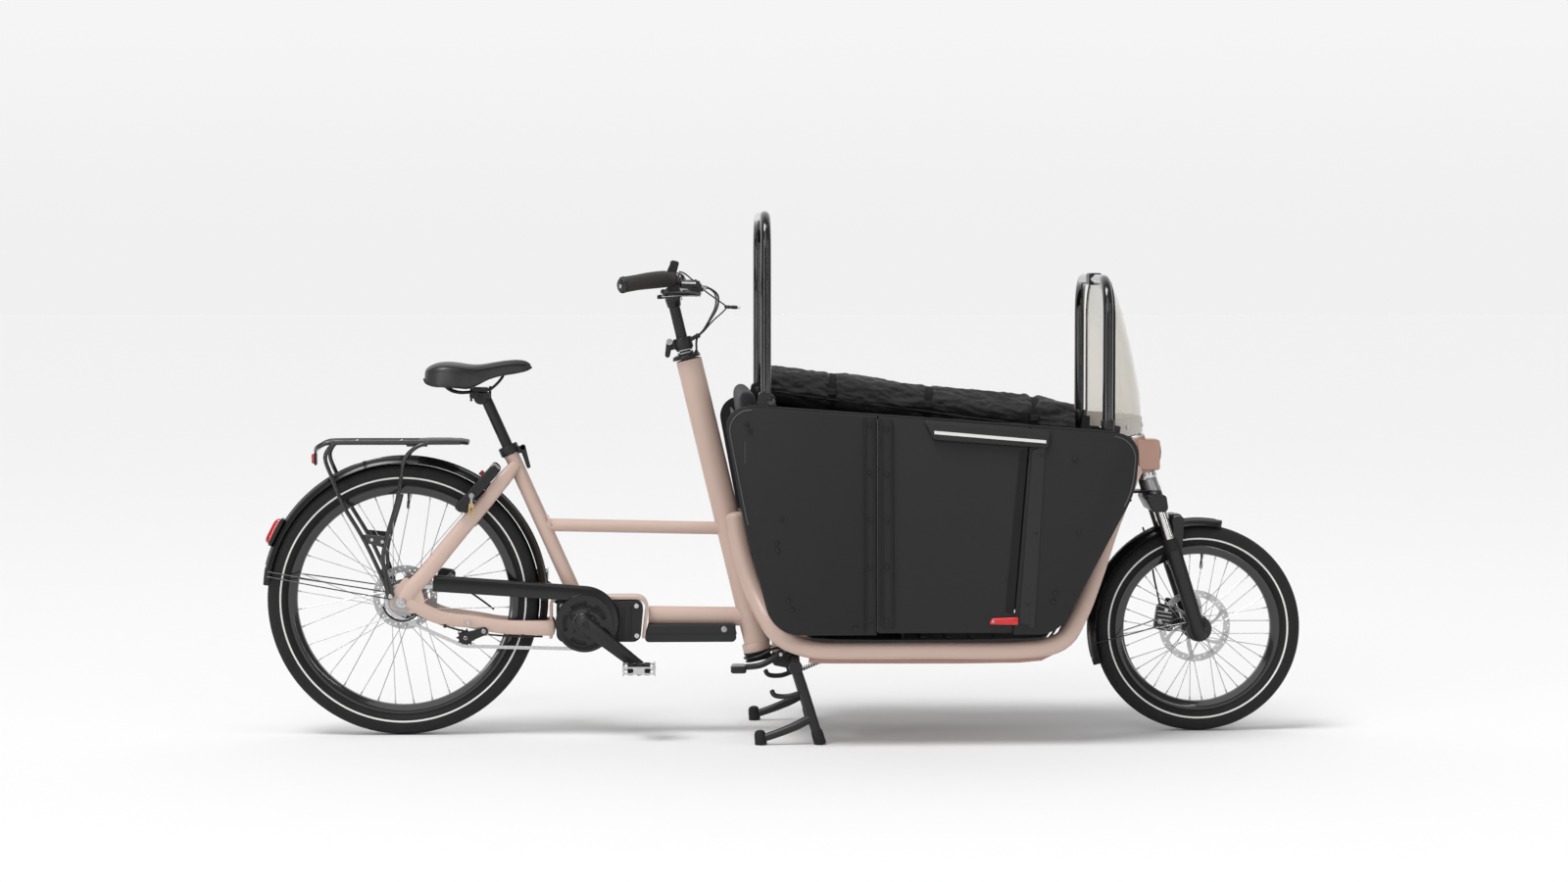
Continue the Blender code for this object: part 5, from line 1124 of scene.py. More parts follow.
def tyre_point(axle_radius, bead, turn):
    """A point (radius, y) of the tyre's round section; turn 0 is the crown."""
    middle, high, half = (axle_radius + bead) / 2, (axle_radius - bead) / 2, 0.0275
    c, s = math.cos(turn), math.sin(turn)
    return (middle + high * math.copysign(abs(c) ** 0.90, c), half * math.copysign(abs(s) ** 0.80, s))


def tyre(axle, radius, bead):
    profile = [(bead, -0.0135)]
    steps = 34
    for k in range(1, steps):
        turn = math.pi * (k / steps * 2 - 1)
        r, y = tyre_point(radius, bead, turn)
        if r < bead + 0.004 and abs(y) < 0.016:
            continue
        groove = 0.0016 if abs(abs(y) - 0.0065) < 0.0013 else 0.0
        profile.append((r - groove, y))
    profile.append((bead, 0.0135))
    return turned(profile, axle, sides=128, ring=True)


def flank_ring(axle, radius, bead, at, width, proud):
    """A thin band on both flanks of the tyre at one radius."""
    middle, high, half = (radius + bead) / 2, (radius - bead) / 2, 0.0275
    rings = []
    for side in (-1, 1):
        profile = []
        for k in range(5):
            r = at + width * (k / 4 - 0.5)
            y = half * (max(0.0, 1 - (abs(r - middle) / high) ** (2 / 0.90))) ** 0.40
            profile.append((r, side * (y + proud)))
        profile += [(r, side * (abs(y) - 0.0015)) for r, y in reversed(profile)]
        rings.append(turned(profile, axle, sides=128, ring=True))
    return join(*rings)


def rim(axle, inner, outer):
    profile = [(inner, -0.0060), (inner + 0.002, -0.0105), (inner + 0.012, -0.0150), (outer - 0.003, -0.0160),
               (outer, -0.0155), (outer, -0.0125), (outer - 0.004, -0.0115), (outer - 0.005, 0.0115), (outer, 0.0125),
               (outer, 0.0155), (outer - 0.003, 0.0160), (inner + 0.012, 0.0150), (inner + 0.002, 0.0105),
               (inner, 0.0060)]
    return turned(profile, axle, sides=128, ring=True)


def spokes(axle, flange, inner, first, count=36, radius=0.00105):
    """Crossed spokes with a bend at the flange, and their nipples."""
    wires, nipples = [], []
    for k in range(count):
        turn = first + 2 * math.pi * k / count
        twist = math.radians(38) * (1 if k % 4 < 2 else -1)
        side = 1 if k % 2 else -1
        def place(r, angle, y):
            return Vector((axle.x + r * math.cos(angle), y, axle.z + r * math.sin(angle)))
        hub_end = place(flange[0] - 0.004, turn + twist, side * (flange[1] + 0.002 * (1 if k % 4 < 2 else -1)))
        rim_end = place(inner + 0.004, turn, side * 0.004)
        wires.append(tube([hub_end, rim_end], radius, sides=8))
        wires.append(turned([(0.0021, -0.0008), (0.0021, 0.0008)], hub_end, sides=8))
        out = (rim_end - hub_end).normalized()
        nipples.append(tube([rim_end - out * 0.013, rim_end - out * 0.002], 0.0019, sides=8))
    return join(*wires), join(*nipples)


def brake_disc(axle, radius, y, inner, arms):
    """A drilled ring with a slotted centre."""
    half = 0.0010
    ring = turned([(radius - 0.017, y - half), (radius, y - half), (radius, y + half), (radius - 0.017, y + half)], axle,
                  sides=120, ring=True)
    holes = []
    for k in range(arms * 6):
        turn = 2 * math.pi * k / (arms * 6)
        r = radius - (0.0045, 0.0085, 0.0125)[k % 3]
        holes.append(turned([(0.0022, y - 0.01), (0.0022, y + 0.01)],
                            (axle.x + r * math.cos(turn), 0, axle.z + r * math.sin(turn)), sides=10))
    ring = combine(ring, cut=holes)
    limbs = []
    for k in range(arms):
        turn = 2 * math.pi * k / arms
        points = []
        for step in range(7):
            part = step / 6
            r = inner + (radius - 0.015 - inner) * part
            angle = turn + math.radians(26) * part
            points.append((axle.x + r * math.cos(angle), y, axle.z + r * math.sin(angle)))
        limbs.append(tube(points, [0.0058, 0.005, 0.0042, 0.004, 0.004, 0.0046, 0.0058], sides=12, squash=0.16))
    centre = turned([(inner - 0.012, y - half), (inner + 0.002, y - half), (inner + 0.002, y + half),
                     (inner - 0.012, y + half)], axle, sides=60, ring=True)
    return join(ring, centre, *limbs)


def valve(axle, inner, turn):
    out = Vector((math.cos(turn), 0, math.sin(turn)))
    base = axle + out * (inner + 0.002)
    return turned([(0.0042, 0.0), (0.0038, -0.004), (0.0030, -0.012), (0.0030, -0.020), (0.0039, -0.021),
                   (0.0039, -0.036), (0.0025, -0.039)], base, out, sides=20)


def wheels():
    for name, axle, radius, bead, inner, flange, first, valve_turn, rubber_name in (
            ("rear", REAR_AXLE, 0.337, 0.2845, 0.262, (0.046, 0.030), math.radians(5.4), math.radians(87), "rear_rubber"),
            ("front", FRONT_AXLE, 0.2585, 0.2065, 0.184, (0.032, 0.026), math.radians(5), math.radians(86),
             "front_rubber")):
        body = name + "_wheel"
        piece(name + "_tyre_rubber", tyre(axle, radius, bead), rubber_name, body, [name + "_tyre"], angle=50)
        piece(name + "_tyre_line", flank_ring(axle, radius, bead, radius - 0.0340, 0.0042, 0.0004), "reflective", body)
        piece(name + "_tyre_bead", flank_ring(axle, radius, bead, radius - 0.0435, 0.0020, 0.0008), "rubber", body)
        piece(name + "_rim_band", rim(axle, inner, bead), "gloss_black", body, [name + "_rim"])
        wires, nipples = spokes(axle, flange, inner, first)
        piece(name + "_spokes", wires, "spoke_steel", body)
        piece(name + "_nipples", nipples, "silver", body)
        piece(name + "_valve", valve(axle, inner, valve_turn), "gloss_black", body)
        lugs = [prism(rounded([(axle.x + (inner + 0.003) * math.cos(t) - 0.006, axle.z + (inner + 0.003) * math.sin(t)
                                - 0.003, 0.001), (axle.x + (inner + 0.003) * math.cos(t) + 0.006,
                                                  axle.z + (inner + 0.003) * math.sin(t) - 0.003, 0.001),
                               (axle.x + (inner + 0.003) * math.cos(t) + 0.006,
                                axle.z + (inner + 0.003) * math.sin(t) + 0.003, 0.001),
                               (axle.x + (inner + 0.003) * math.cos(t) - 0.006,
                                axle.z + (inner + 0.003) * math.sin(t) + 0.003, 0.001)]), -0.0055, 0.0055)
                for t in (valve_turn,)]
        piece(name + "_valve_nut", join(*lugs), "dull_steel", body)
    hub = turned([(0.0150, -0.0455), (0.0280, -0.0440), (0.0300, -0.0380), (0.0440, -0.0350), (0.0470, -0.0325),
                  (0.0470, -0.0275), (0.0440, -0.0255), (0.0375, -0.0225), (0.0365, 0.0), (0.0375, 0.0225),
                  (0.0440, 0.0255), (0.0470, 0.0275), (0.0470, 0.0325), (0.0440, 0.0350), (0.0300, 0.0380),
                  (0.0280, 0.0440), (0.0150, 0.0455)], REAR_AXLE, sides=64)
    piece("rear_hub", hub, "satin_black", "rear_wheel")
    piece("rear_hub_bands", join(*[turned([(0.0372, y - 0.0012), (0.0382, y - 0.0006), (0.0382, y + 0.0006),
                                           (0.0372, y + 0.0012)], REAR_AXLE, sides=64) for y in (-0.018, 0.018)]),
          "dull_steel", "rear_wheel")
    hub = turned([(0.0110, -0.0365), (0.0180, -0.0350), (0.0200, -0.0300), (0.0310, -0.0290), (0.0330, -0.0270),
                  (0.0330, -0.0240), (0.0300, -0.0225), (0.0190, -0.0180), (0.0170, 0.0), (0.0190, 0.0180),
                  (0.0300, 0.0225), (0.0330, 0.0240), (0.0330, 0.0270), (0.0310, 0.0290), (0.0240, 0.0320),
                  (0.0200, 0.0350), (0.0110, 0.0365)], FRONT_AXLE, sides=56)
    piece("front_hub", hub, "satin_black", "front_wheel")
    piece("rear_disc", brake_disc(REAR_AXLE, 0.080, 0.050, 0.024, 6), "disc_steel", "rear_wheel", ["rear_brake_disc"])
    piece("front_disc", brake_disc(FRONT_AXLE, 0.090, 0.0345, 0.026, 6), "disc_steel", "front_wheel",
          ["front_brake_disc"])
    studs = [bolt((REAR_AXLE.x + 0.022 * math.cos(t), 0.0510, REAR_AXLE.z + 0.022 * math.sin(t)), (0, 1, 0), 0.0034,
                  0.0020) for t in [2 * math.pi * k / 6 for k in range(6)]]
    piece("rear_disc_bolts", join(*studs), "silver", "rear_wheel")
    studs = [bolt((FRONT_AXLE.x + 0.022 * math.cos(t), 0.0355, FRONT_AXLE.z + 0.022 * math.sin(t)), (0, 1, 0), 0.0034,
                  0.0020) for t in [2 * math.pi * k / 6 for k in range(6)]]
    piece("front_disc_bolts", join(*studs), "silver", "front_wheel")


# Drive


def around(centre, radius, start, end, steps):
    points = []
    for k in range(steps + 1):
        turn = start + (end - start) * k / steps
        points.append(Vector((centre.x + radius * math.cos(turn), CHAIN_Y, centre.z + radius * math.sin(turn))))
    return points


def belt_turns(first, first_radius, second, second_radius):
    """The angle at which an outer belt, going round anticlockwise, leaves one circle for the next."""
    gap = second - first
    return math.atan2(gap.z, gap.x) - math.acos((first_radius - second_radius) / math.hypot(gap.x, gap.z))


def chain_line():
    stops = [(REAR_AXLE, SPROCKET_PITCH, 30), (PULLEY, PULLEY_PITCH, 10), (CRANK, CHAINRING_PITCH, 36)]
    points = []
    for i, (centre, radius, steps) in enumerate(stops):
        before, before_radius, _ = stops[i - 1]
        after, after_radius, _ = stops[(i + 1) % 3]
        start = belt_turns(before, before_radius, centre, radius)
        end = belt_turns(centre, radius, after, after_radius)
        while end < start:
            end += 2 * math.pi
        points += around(centre, radius, start, end, steps)
    return points


def chain_links():
    """Plates and rollers, each link on the chain's line at its own pitch."""
    line = chain_line()
    line.append(line[0])
    marks = [0.0]
    for a, b in zip(line, line[1:]):
        marks.append(marks[-1] + (b - a).length)
    count = 2 * round(marks[-1] / 0.0127 / 2)
    pitch = marks[-1] / count

    def at(distance):
        distance %= marks[-1]
        for i in range(len(line) - 1):
            if marks[i + 1] >= distance:
                return line[i].lerp(line[i + 1], (distance - marks[i]) / max(marks[i + 1] - marks[i], 1e-9))
        return line[-1]

    plates, rollers = [], []
    for k in range(count):
        a, b = at(k * pitch), at((k + 1) * pitch)
        along = (b - a).normalized()
        up = Vector((-along.z, 0, along.x))
        outline = []
        for centre, first in ((b, -90), (a, 90)):
            for step in range(6):
                turn = math.radians(first + 36 * step)
                outline.append(centre + (along * math.cos(turn) + up * math.sin(turn)) * 0.0040)
        waist = (a + b) / 2
        outline = [p + (waist - p) * 0.0 for p in outline]
        reach = 0.0033 if k % 2 else 0.0024
        for side in (-1, 1):
            low, high = sorted((reach * side, (reach - 0.0009) * side))
            plates.append(loft([[p + Vector((0, y, 0)) for p in outline] for y in (low, high)]))
        rollers.append(turned([(0.0030, -0.0022), (0.0030, 0.0022)], a, sides=10))
        rollers.append(turned([(0.0014, -0.0037), (0.0014, 0.0037)], a, sides=8))
    return join(*plates), join(*rollers)


def toothed(centre, count, pitch, half, y):
    outline = []
    for k in range(count):
        base = 2 * math.pi * k / count
        for part, reach in ((0.0, -0.0034), (0.25, -0.0022), (0.42, 0.0022), (0.58, 0.0022), (0.75, -0.0022)):
            turn = base + 2 * math.pi * part / count
            outline.append((centre.x + (pitch + reach) * math.cos(turn), centre.z + (pitch + reach) * math.sin(turn)))
    return prism(outline, y - half, y + half)


def capsule(a, b, ra, rb, steps=14):
    """An outline in (x, z) round two circles."""
    gap = b - a
    heading = math.atan2(gap.z, gap.x)
    lean = math.acos((ra - rb) / gap.length)
    outline = []
    for k in range(steps + 1):
        turn = heading + lean + (2 * math.pi - 2 * lean) * k / steps
        outline.append((a.x + ra * math.cos(turn), a.z + ra * math.sin(turn)))
    for k in range(steps + 1):
        turn = heading - lean + 2 * lean * k / steps
        outline.append((b.x + rb * math.cos(turn), b.z + rb * math.sin(turn)))
    return outline


def crank_end(side):
    reach = CRANK_LENGTH if side < 0 else -CRANK_LENGTH
    return CRANK + Vector((math.cos(CRANK_ANGLE), 0, math.sin(CRANK_ANGLE))) * reach


def arm(side):
    """A crank arm, thick at its root and dished on its outer face."""
    end = crank_end(side)
    sections = []
    for y, shrink in ((0.0735, 0.0030), (0.0755, 0.0006), (0.0800, 0.0), (0.0865, 0.0006), (0.0890, 0.0040)):
        sections.append([(x, y * side, z) for x, z in capsule(CRANK, end, 0.0205 - shrink, 0.0150 - shrink)])
    return loft(sections)


def crankset():
    spindle = turned([(0.0112, -0.088), (0.0112, 0.088)], CRANK, sides=32)
    bolts = [turned([(0.0105, 0.0), (0.0105, 0.0020), (0.0085, 0.0034), (0.0050, 0.0034), (0.0045, 0.0010)],
                    (CRANK.x, 0.0888 * s, CRANK.z), (0, s, 0), sides=32) for s in (-1, 1)]
    piece("crank_arms", join(spindle, arm(-1), arm(1)), "satin_black", "crank", ["crankset"], angle=50)
    piece("crank_bolts", join(*bolts), "satin_black", "crank")
    piece("chainring", toothed(CRANK, 32, CHAINRING_PITCH, 0.0014, CHAIN_Y), "satin_black", "crank")
    guard = turned([(0.0200, -0.0520), (0.0300, -0.0615), (0.0660, -0.0622), (0.0710, -0.0628), (0.0722, -0.0642),
                    (0.0710, -0.0658), (0.0640, -0.0664), (0.0600, -0.0652), (0.0280, -0.0660), (0.0240, -0.0690),
                    (0.0200, -0.0720)], CRANK, sides=96)
    slots = []
    for k in range(5):
        start = 72 * k + 12
        points = [(r, y) for r, y in ((0.0440, -0.08), (0.0545, -0.08), (0.0545, -0.058), (0.0440, -0.058))]
        slots.append(arc_shell(CRANK, points, start, start + 46, 12))
    piece("guard_disc", combine(guard, cut=slots), "guard_plastic", "crank")
    piece("guard_bolts", join(*[bolt((CRANK.x + 0.035 * math.cos(t), -0.0660, CRANK.z + 0.035 * math.sin(t)),
                                     (0, -1, 0), 0.0042, 0.0024)
                                for t in [math.radians(72 * k - 1) for k in range(5)]]), "satin_black", "crank")
    stubs = []
    for side in (-1, 1):
        low, high = sorted((0.086 * side, 0.1865 * side))
        stubs.append(turned([(0.0052, low), (0.0052, high)], crank_end(side), sides=24))
        stubs.append(hexagon(crank_end(side) + Vector((0, 0.0895 * side, 0)), (0, side, 0), 0.0086, 0.0040))
    piece("pedal_axles", join(*stubs), "dull_steel", "crank")


def pedals():
    for name, side in (("right", -1), ("left", 1)):
        end = crank_end(side)
        inner, outer = 0.0975, 0.1875
        body = name + "_pedal"
        rails_ = []
        for ahead in (-1, 1):
            teeth = []
            count = 9
            for k in range(count):
                y = inner + (outer - inner) * (k + 0.5) / count
                teeth.append(box((end.x + ahead * 0.0385 - 0.0016, y - 0.0035, end.z + 0.009),
                                 (end.x + ahead * 0.0385 + 0.0016, y + 0.0035, end.z + 0.0135)))
                teeth.append(box((end.x + ahead * 0.0385 - 0.0016, y - 0.0035, end.z - 0.0135),
                                 (end.x + ahead * 0.0385 + 0.0016, y + 0.0035, end.z - 0.009)))
            plate = box((end.x + ahead * 0.0385 - 0.0016, inner + 0.003, end.z - 0.010),
                        (end.x + ahead * 0.0385 + 0.0016, outer - 0.003, end.z + 0.010))
            rails_.append(join(plate, *teeth))
        for y in (inner, outer - 0.006):
            outline = rounded([(end.x - 0.0400, end.z - 0.0095, 0.004), (end.x + 0.0400, end.z - 0.0095, 0.004),
                               (end.x + 0.0400, end.z + 0.0095, 0.004), (end.x - 0.0400, end.z + 0.0095, 0.004)])
            windows = [prism(rounded([(end.x + a, end.z - 0.0055, 0.003), (end.x + b, end.z - 0.0055, 0.003),
                                      (end.x + b, end.z + 0.0055, 0.003), (end.x + a, end.z + 0.0055, 0.003)]),
                             y - 0.01, y + 0.02) for a, b in ((-0.0350, -0.0140), (0.0140, 0.0350))]
            rails_.append(combine(prism(outline, y, y + 0.006), cut=windows))
        cage = join(*rails_)
        if side < 0:
            for vertex in cage.verts:
                vertex.co.y = -vertex.co.y
            bmesh.ops.reverse_faces(cage, faces=cage.faces)
        piece(name + "_pedal_cage", cage, "silver", body, [name + "_pedal"], bevel=0.0007)
        low, high = sorted((inner * side + 0.004 * side, outer * side - 0.004 * side))
        barrel = turned([(0.0115, low), (0.0130, low + 0.008), (0.0105, (low + high) / 2), (0.0130, high - 0.008),
                         (0.0115, high)], end, sides=32)
        treads = [box((end.x + ahead * 0.020 - 0.008, low + 0.008, end.z - 0.0125),
                      (end.x + ahead * 0.020 + 0.008, high - 0.008, end.z + 0.0125)) for ahead in (-1, 1)]
        piece(name + "_pedal_core", join(barrel, *treads), "rubber", body, bevel=0.003)
        glass = [box((end.x + ahead * 0.0398 - 0.0007, (low + high) / 2 - 0.020, end.z - 0.006),
                     (end.x + ahead * 0.0398 + 0.0007, (low + high) / 2 + 0.020, end.z + 0.006)) for ahead in (-1, 1)]
        piece(name + "_pedal_reflectors", join(*glass), "amber", body, bevel=0.0006)


def case_and_chain():
    plates, rollers = chain_links()
    piece("chain_plates", plates, "silver", "frame", ["chain"])
    piece("chain_rollers", rollers, "dull_steel", "frame")
    leave = belt_turns(CRANK, CHAINRING_PITCH, REAR_AXLE, SPROCKET_PITCH)
    arrive = leave + 2 * math.pi
    front = around(CRANK, CHAINRING_PITCH, arrive - math.radians(118), arrive, 30)
    upper = around(REAR_AXLE, SPROCKET_PITCH, leave, leave, 1)[0]
    route = front + [front[-1].lerp(upper, part) for part in (0.05, 0.12, 0.2, 0.3, 0.4, 0.5, 0.6, 0.7, 0.78, 0.84)]
    sections = []
    for i, point in enumerate(route):
        ahead, behind = route[min(i + 1, len(route) - 1)], route[max(i - 1, 0)]
        along = (ahead - behind).normalized()
        out = Vector((along.z, 0, -along.x))
        top = 0.0195 + 0.010 * i / len(route)
        lower = -0.0115
        section = [(r, y) for r, y in rounded([(lower, -0.0575, 0.0006), (lower, -0.0625, 0.0020), (top, -0.0615, 0.0075),
                                               (top, -0.0450, 0.0060), (top - 0.0030, -0.0450, 0.0010),
                                               (top - 0.0035, -0.0575, 0.0030)], 4)]
        sections.append([point + out * reach + Vector((0, y - CHAIN_Y, 0)) for reach, y in section])
    piece("chain_cover", loft(sections), "guard_plastic", "frame", ["chain_case"], angle=50)
    spots = [front[-1].lerp(upper, part) for part in (0.10, 0.46, 0.80)]
    piece("chain_cover_screws", join(*[bolt(p + Vector((0, -0.0625 - CHAIN_Y, 0.006)), (0, -1, 0), 0.0040, 0.0016)
                                       for p in spots]), "dark_bolt", "frame")
    sprocket = join(toothed(REAR_AXLE, 20, SPROCKET_PITCH, 0.0016, CHAIN_Y),
                    turned([(0.0200, CHAIN_Y - 0.0045), (0.0220, CHAIN_Y - 0.0030), (0.0220, CHAIN_Y + 0.003)], REAR_AXLE))
    piece("sprocket", sprocket, "dull_steel", "rear_sprocket", ["rear_sprocket"])
    cover = arc_shell(REAR_AXLE, [(0.047, -0.0600), (0.051, -0.0600), (0.051, -0.0480), (0.047, -0.0480)], 195, 318, 22)
    piece("hub_cover", cover, "guard_plastic", "frame")
    wheel_ = join(toothed(PULLEY, 11, PULLEY_PITCH - 0.0008, 0.0020, CHAIN_Y),
                  turned([(0.0062, -0.0640), (0.0062, CHAIN_Y - 0.004)], PULLEY, sides=24),
                  turned([(0.0100, CHAIN_Y - 0.0032), (0.0100, CHAIN_Y + 0.0032)], PULLEY, sides=24))
    piece("tensioner_wheel", wheel_, "black_plastic", "chain_tensioner", ["chain_tensioner"])
    plate = [prism(capsule(Vector((PULLEY.x, 0, PULLEY.z)), Vector((TENSIONER_PIVOT.x, 0, TENSIONER_PIVOT.z)), 0.0125,
                           0.0105), y, y + 0.0022) for y in (-0.0622,)]
    piece("tensioner_arm", join(*plate), "satin_black", "chain_tensioner", bevel=0.0006)
    piece("tensioner_bolts", join(bolt((PULLEY.x, -0.0622, PULLEY.z), (0, -1, 0), 0.0052, 0.0030),
                                  bolt((TENSIONER_PIVOT.x, -0.0622, TENSIONER_PIVOT.z), (0, -1, 0), 0.0060, 0.0034)),
          "dull_steel", "chain_tensioner")
    piece("tensioner_lug", prism(rounded([(-0.7570, 0.250, 0.006), (-0.7330, 0.250, 0.006), (-0.7330, 0.280, 0.002),
                                          (-0.7570, 0.280, 0.002)]), -0.0555, -0.0445), "beige_paint", "frame",
          bevel=0.001)
    spring = []
    for k in range(60):
        turn = 2 * math.pi * k / 12
        spring.append((TENSIONER_PIVOT.x + 0.0085 * math.cos(turn), -0.0452 + 0.0002 * k,
                       TENSIONER_PIVOT.z - 0.0 + 0.0085 * math.sin(turn)))
    piece("tensioner_spring", tube(spring, 0.0008, sides=6), "dull_steel", "frame")
    for name, side in (("right", -1), ("left", 1)):
        run = smooth([(-0.600, 0.050 * side, 0.246), (-0.700, 0.0535 * side, 0.249), (-0.800, 0.0610 * side, 0.263),
                      (-0.880, 0.0690 * side, 0.291), (-0.915, 0.0730 * side, 0.306)], 5)
        if side < 0:
            run = [p + Vector((0, 0.010, 0)) for p in run]
        piece(name + "_stay_cable", tube(run, 0.0024, sides=10), "hose", "frame")
        clips = [box((x - 0.004, min(y * side, (y - 0.007) * side), z - 0.004), (x + 0.004, max(y * side, (y - 0.007) * side),
                                                                                 z + 0.005))
                 for x, y, z in ((-0.650, 0.0545, 0.2475), (-0.840, 0.0670, 0.2755))]
        piece(name + "_stay_clips", join(*clips), "black_plastic", "frame", bevel=0.0012)


# Rear end


def guard_section(outer, inner_half, thick=0.0026):
    """A rounded gutter section of (radius, y) points."""
    top, under = [], []
    for k in range(15):
        t = k / 7 - 1
        y = inner_half * t
        drop = 0.0155 * abs(t) ** 2.6
        top.append((outer - drop, y))
        under.append((outer - thick - drop, y * 0.93))
    return top + under[::-1]


def rear_end():
    piece("rear_guard", arc_shell(REAR_GUARD, guard_section(0.3540, 0.0310), -14, 168, 80), "guard_plastic", "frame",
          ["rear_mudguard"], angle=60)
    sections = []
    for k in range(9):
        turn = math.radians(167.5 + 7.0 * k / 8)
        narrow = 1 - 0.55 * (k / 8) ** 2
        sections.append([(REAR_GUARD.x + r * math.cos(turn), y * narrow, REAR_GUARD.z + r * math.sin(turn))
                         for r, y in guard_section(0.3545 - 0.002 * k / 8, 0.0310)])
    piece("rear_guard_flap", loft(sections), "rubber", "frame", angle=60)
    lines = [arc_shell(REAR_GUARD, [(0.3536, y - 0.0012), (0.3548, y), (0.3536, y + 0.0012)], -13, 166, 80)
             for y in (-0.0085, 0.0085)]
    piece("rear_guard_lines", join(*lines), "gloss_black", "frame", angle=70)
    turn = math.radians(152.5)
    out = Vector((math.cos(turn), 0, math.sin(turn)))
    along = Vector((-out.z, 0, out.x))

    def lamp(levels):
        sections = []
        for reach, high, half in levels:
            centre = REAR_GUARD + out * reach
            sections.append([centre + along * a + Vector((0, b, 0))
                             for a, b in rounded([(-high, -half, half * 0.45), (high, -half, half * 0.45),
                                                  (high, half, half * 0.45), (-high, half, half * 0.45)], 5)])
        return loft(sections)

    piece("tail_lamp_base", lamp([(0.3530, 0.037, 0.0230), (0.3600, 0.0375, 0.0230), (0.3615, 0.0350, 0.0215)]),
          "black_plastic", "frame", bevel=0.0)
    piece("tail_lamp_lens", lamp([(0.3612, 0.0345, 0.0210), (0.3680, 0.0330, 0.0200), (0.3725, 0.0270, 0.0165),
                                  (0.3742, 0.0180, 0.0110)]), "red_lens", "frame", ["tail_light"], angle=60)
    bar = [REAR_GUARD + out * 0.3690 + along * a for a in (0.026, 0.030)]
    piece("tail_lamp_line", loft([[bar[0] + Vector((0, y, 0)), bar[0] + out * 0.003 + Vector((0, y, 0)),
                                   bar[1] + out * 0.002 + Vector((0, y, 0)), bar[1] + Vector((0, y, 0))]
                                  for y in (-0.017, 0.017)]), "amber", "frame")
    rack()
    ring_lock()
    caliper_rear()


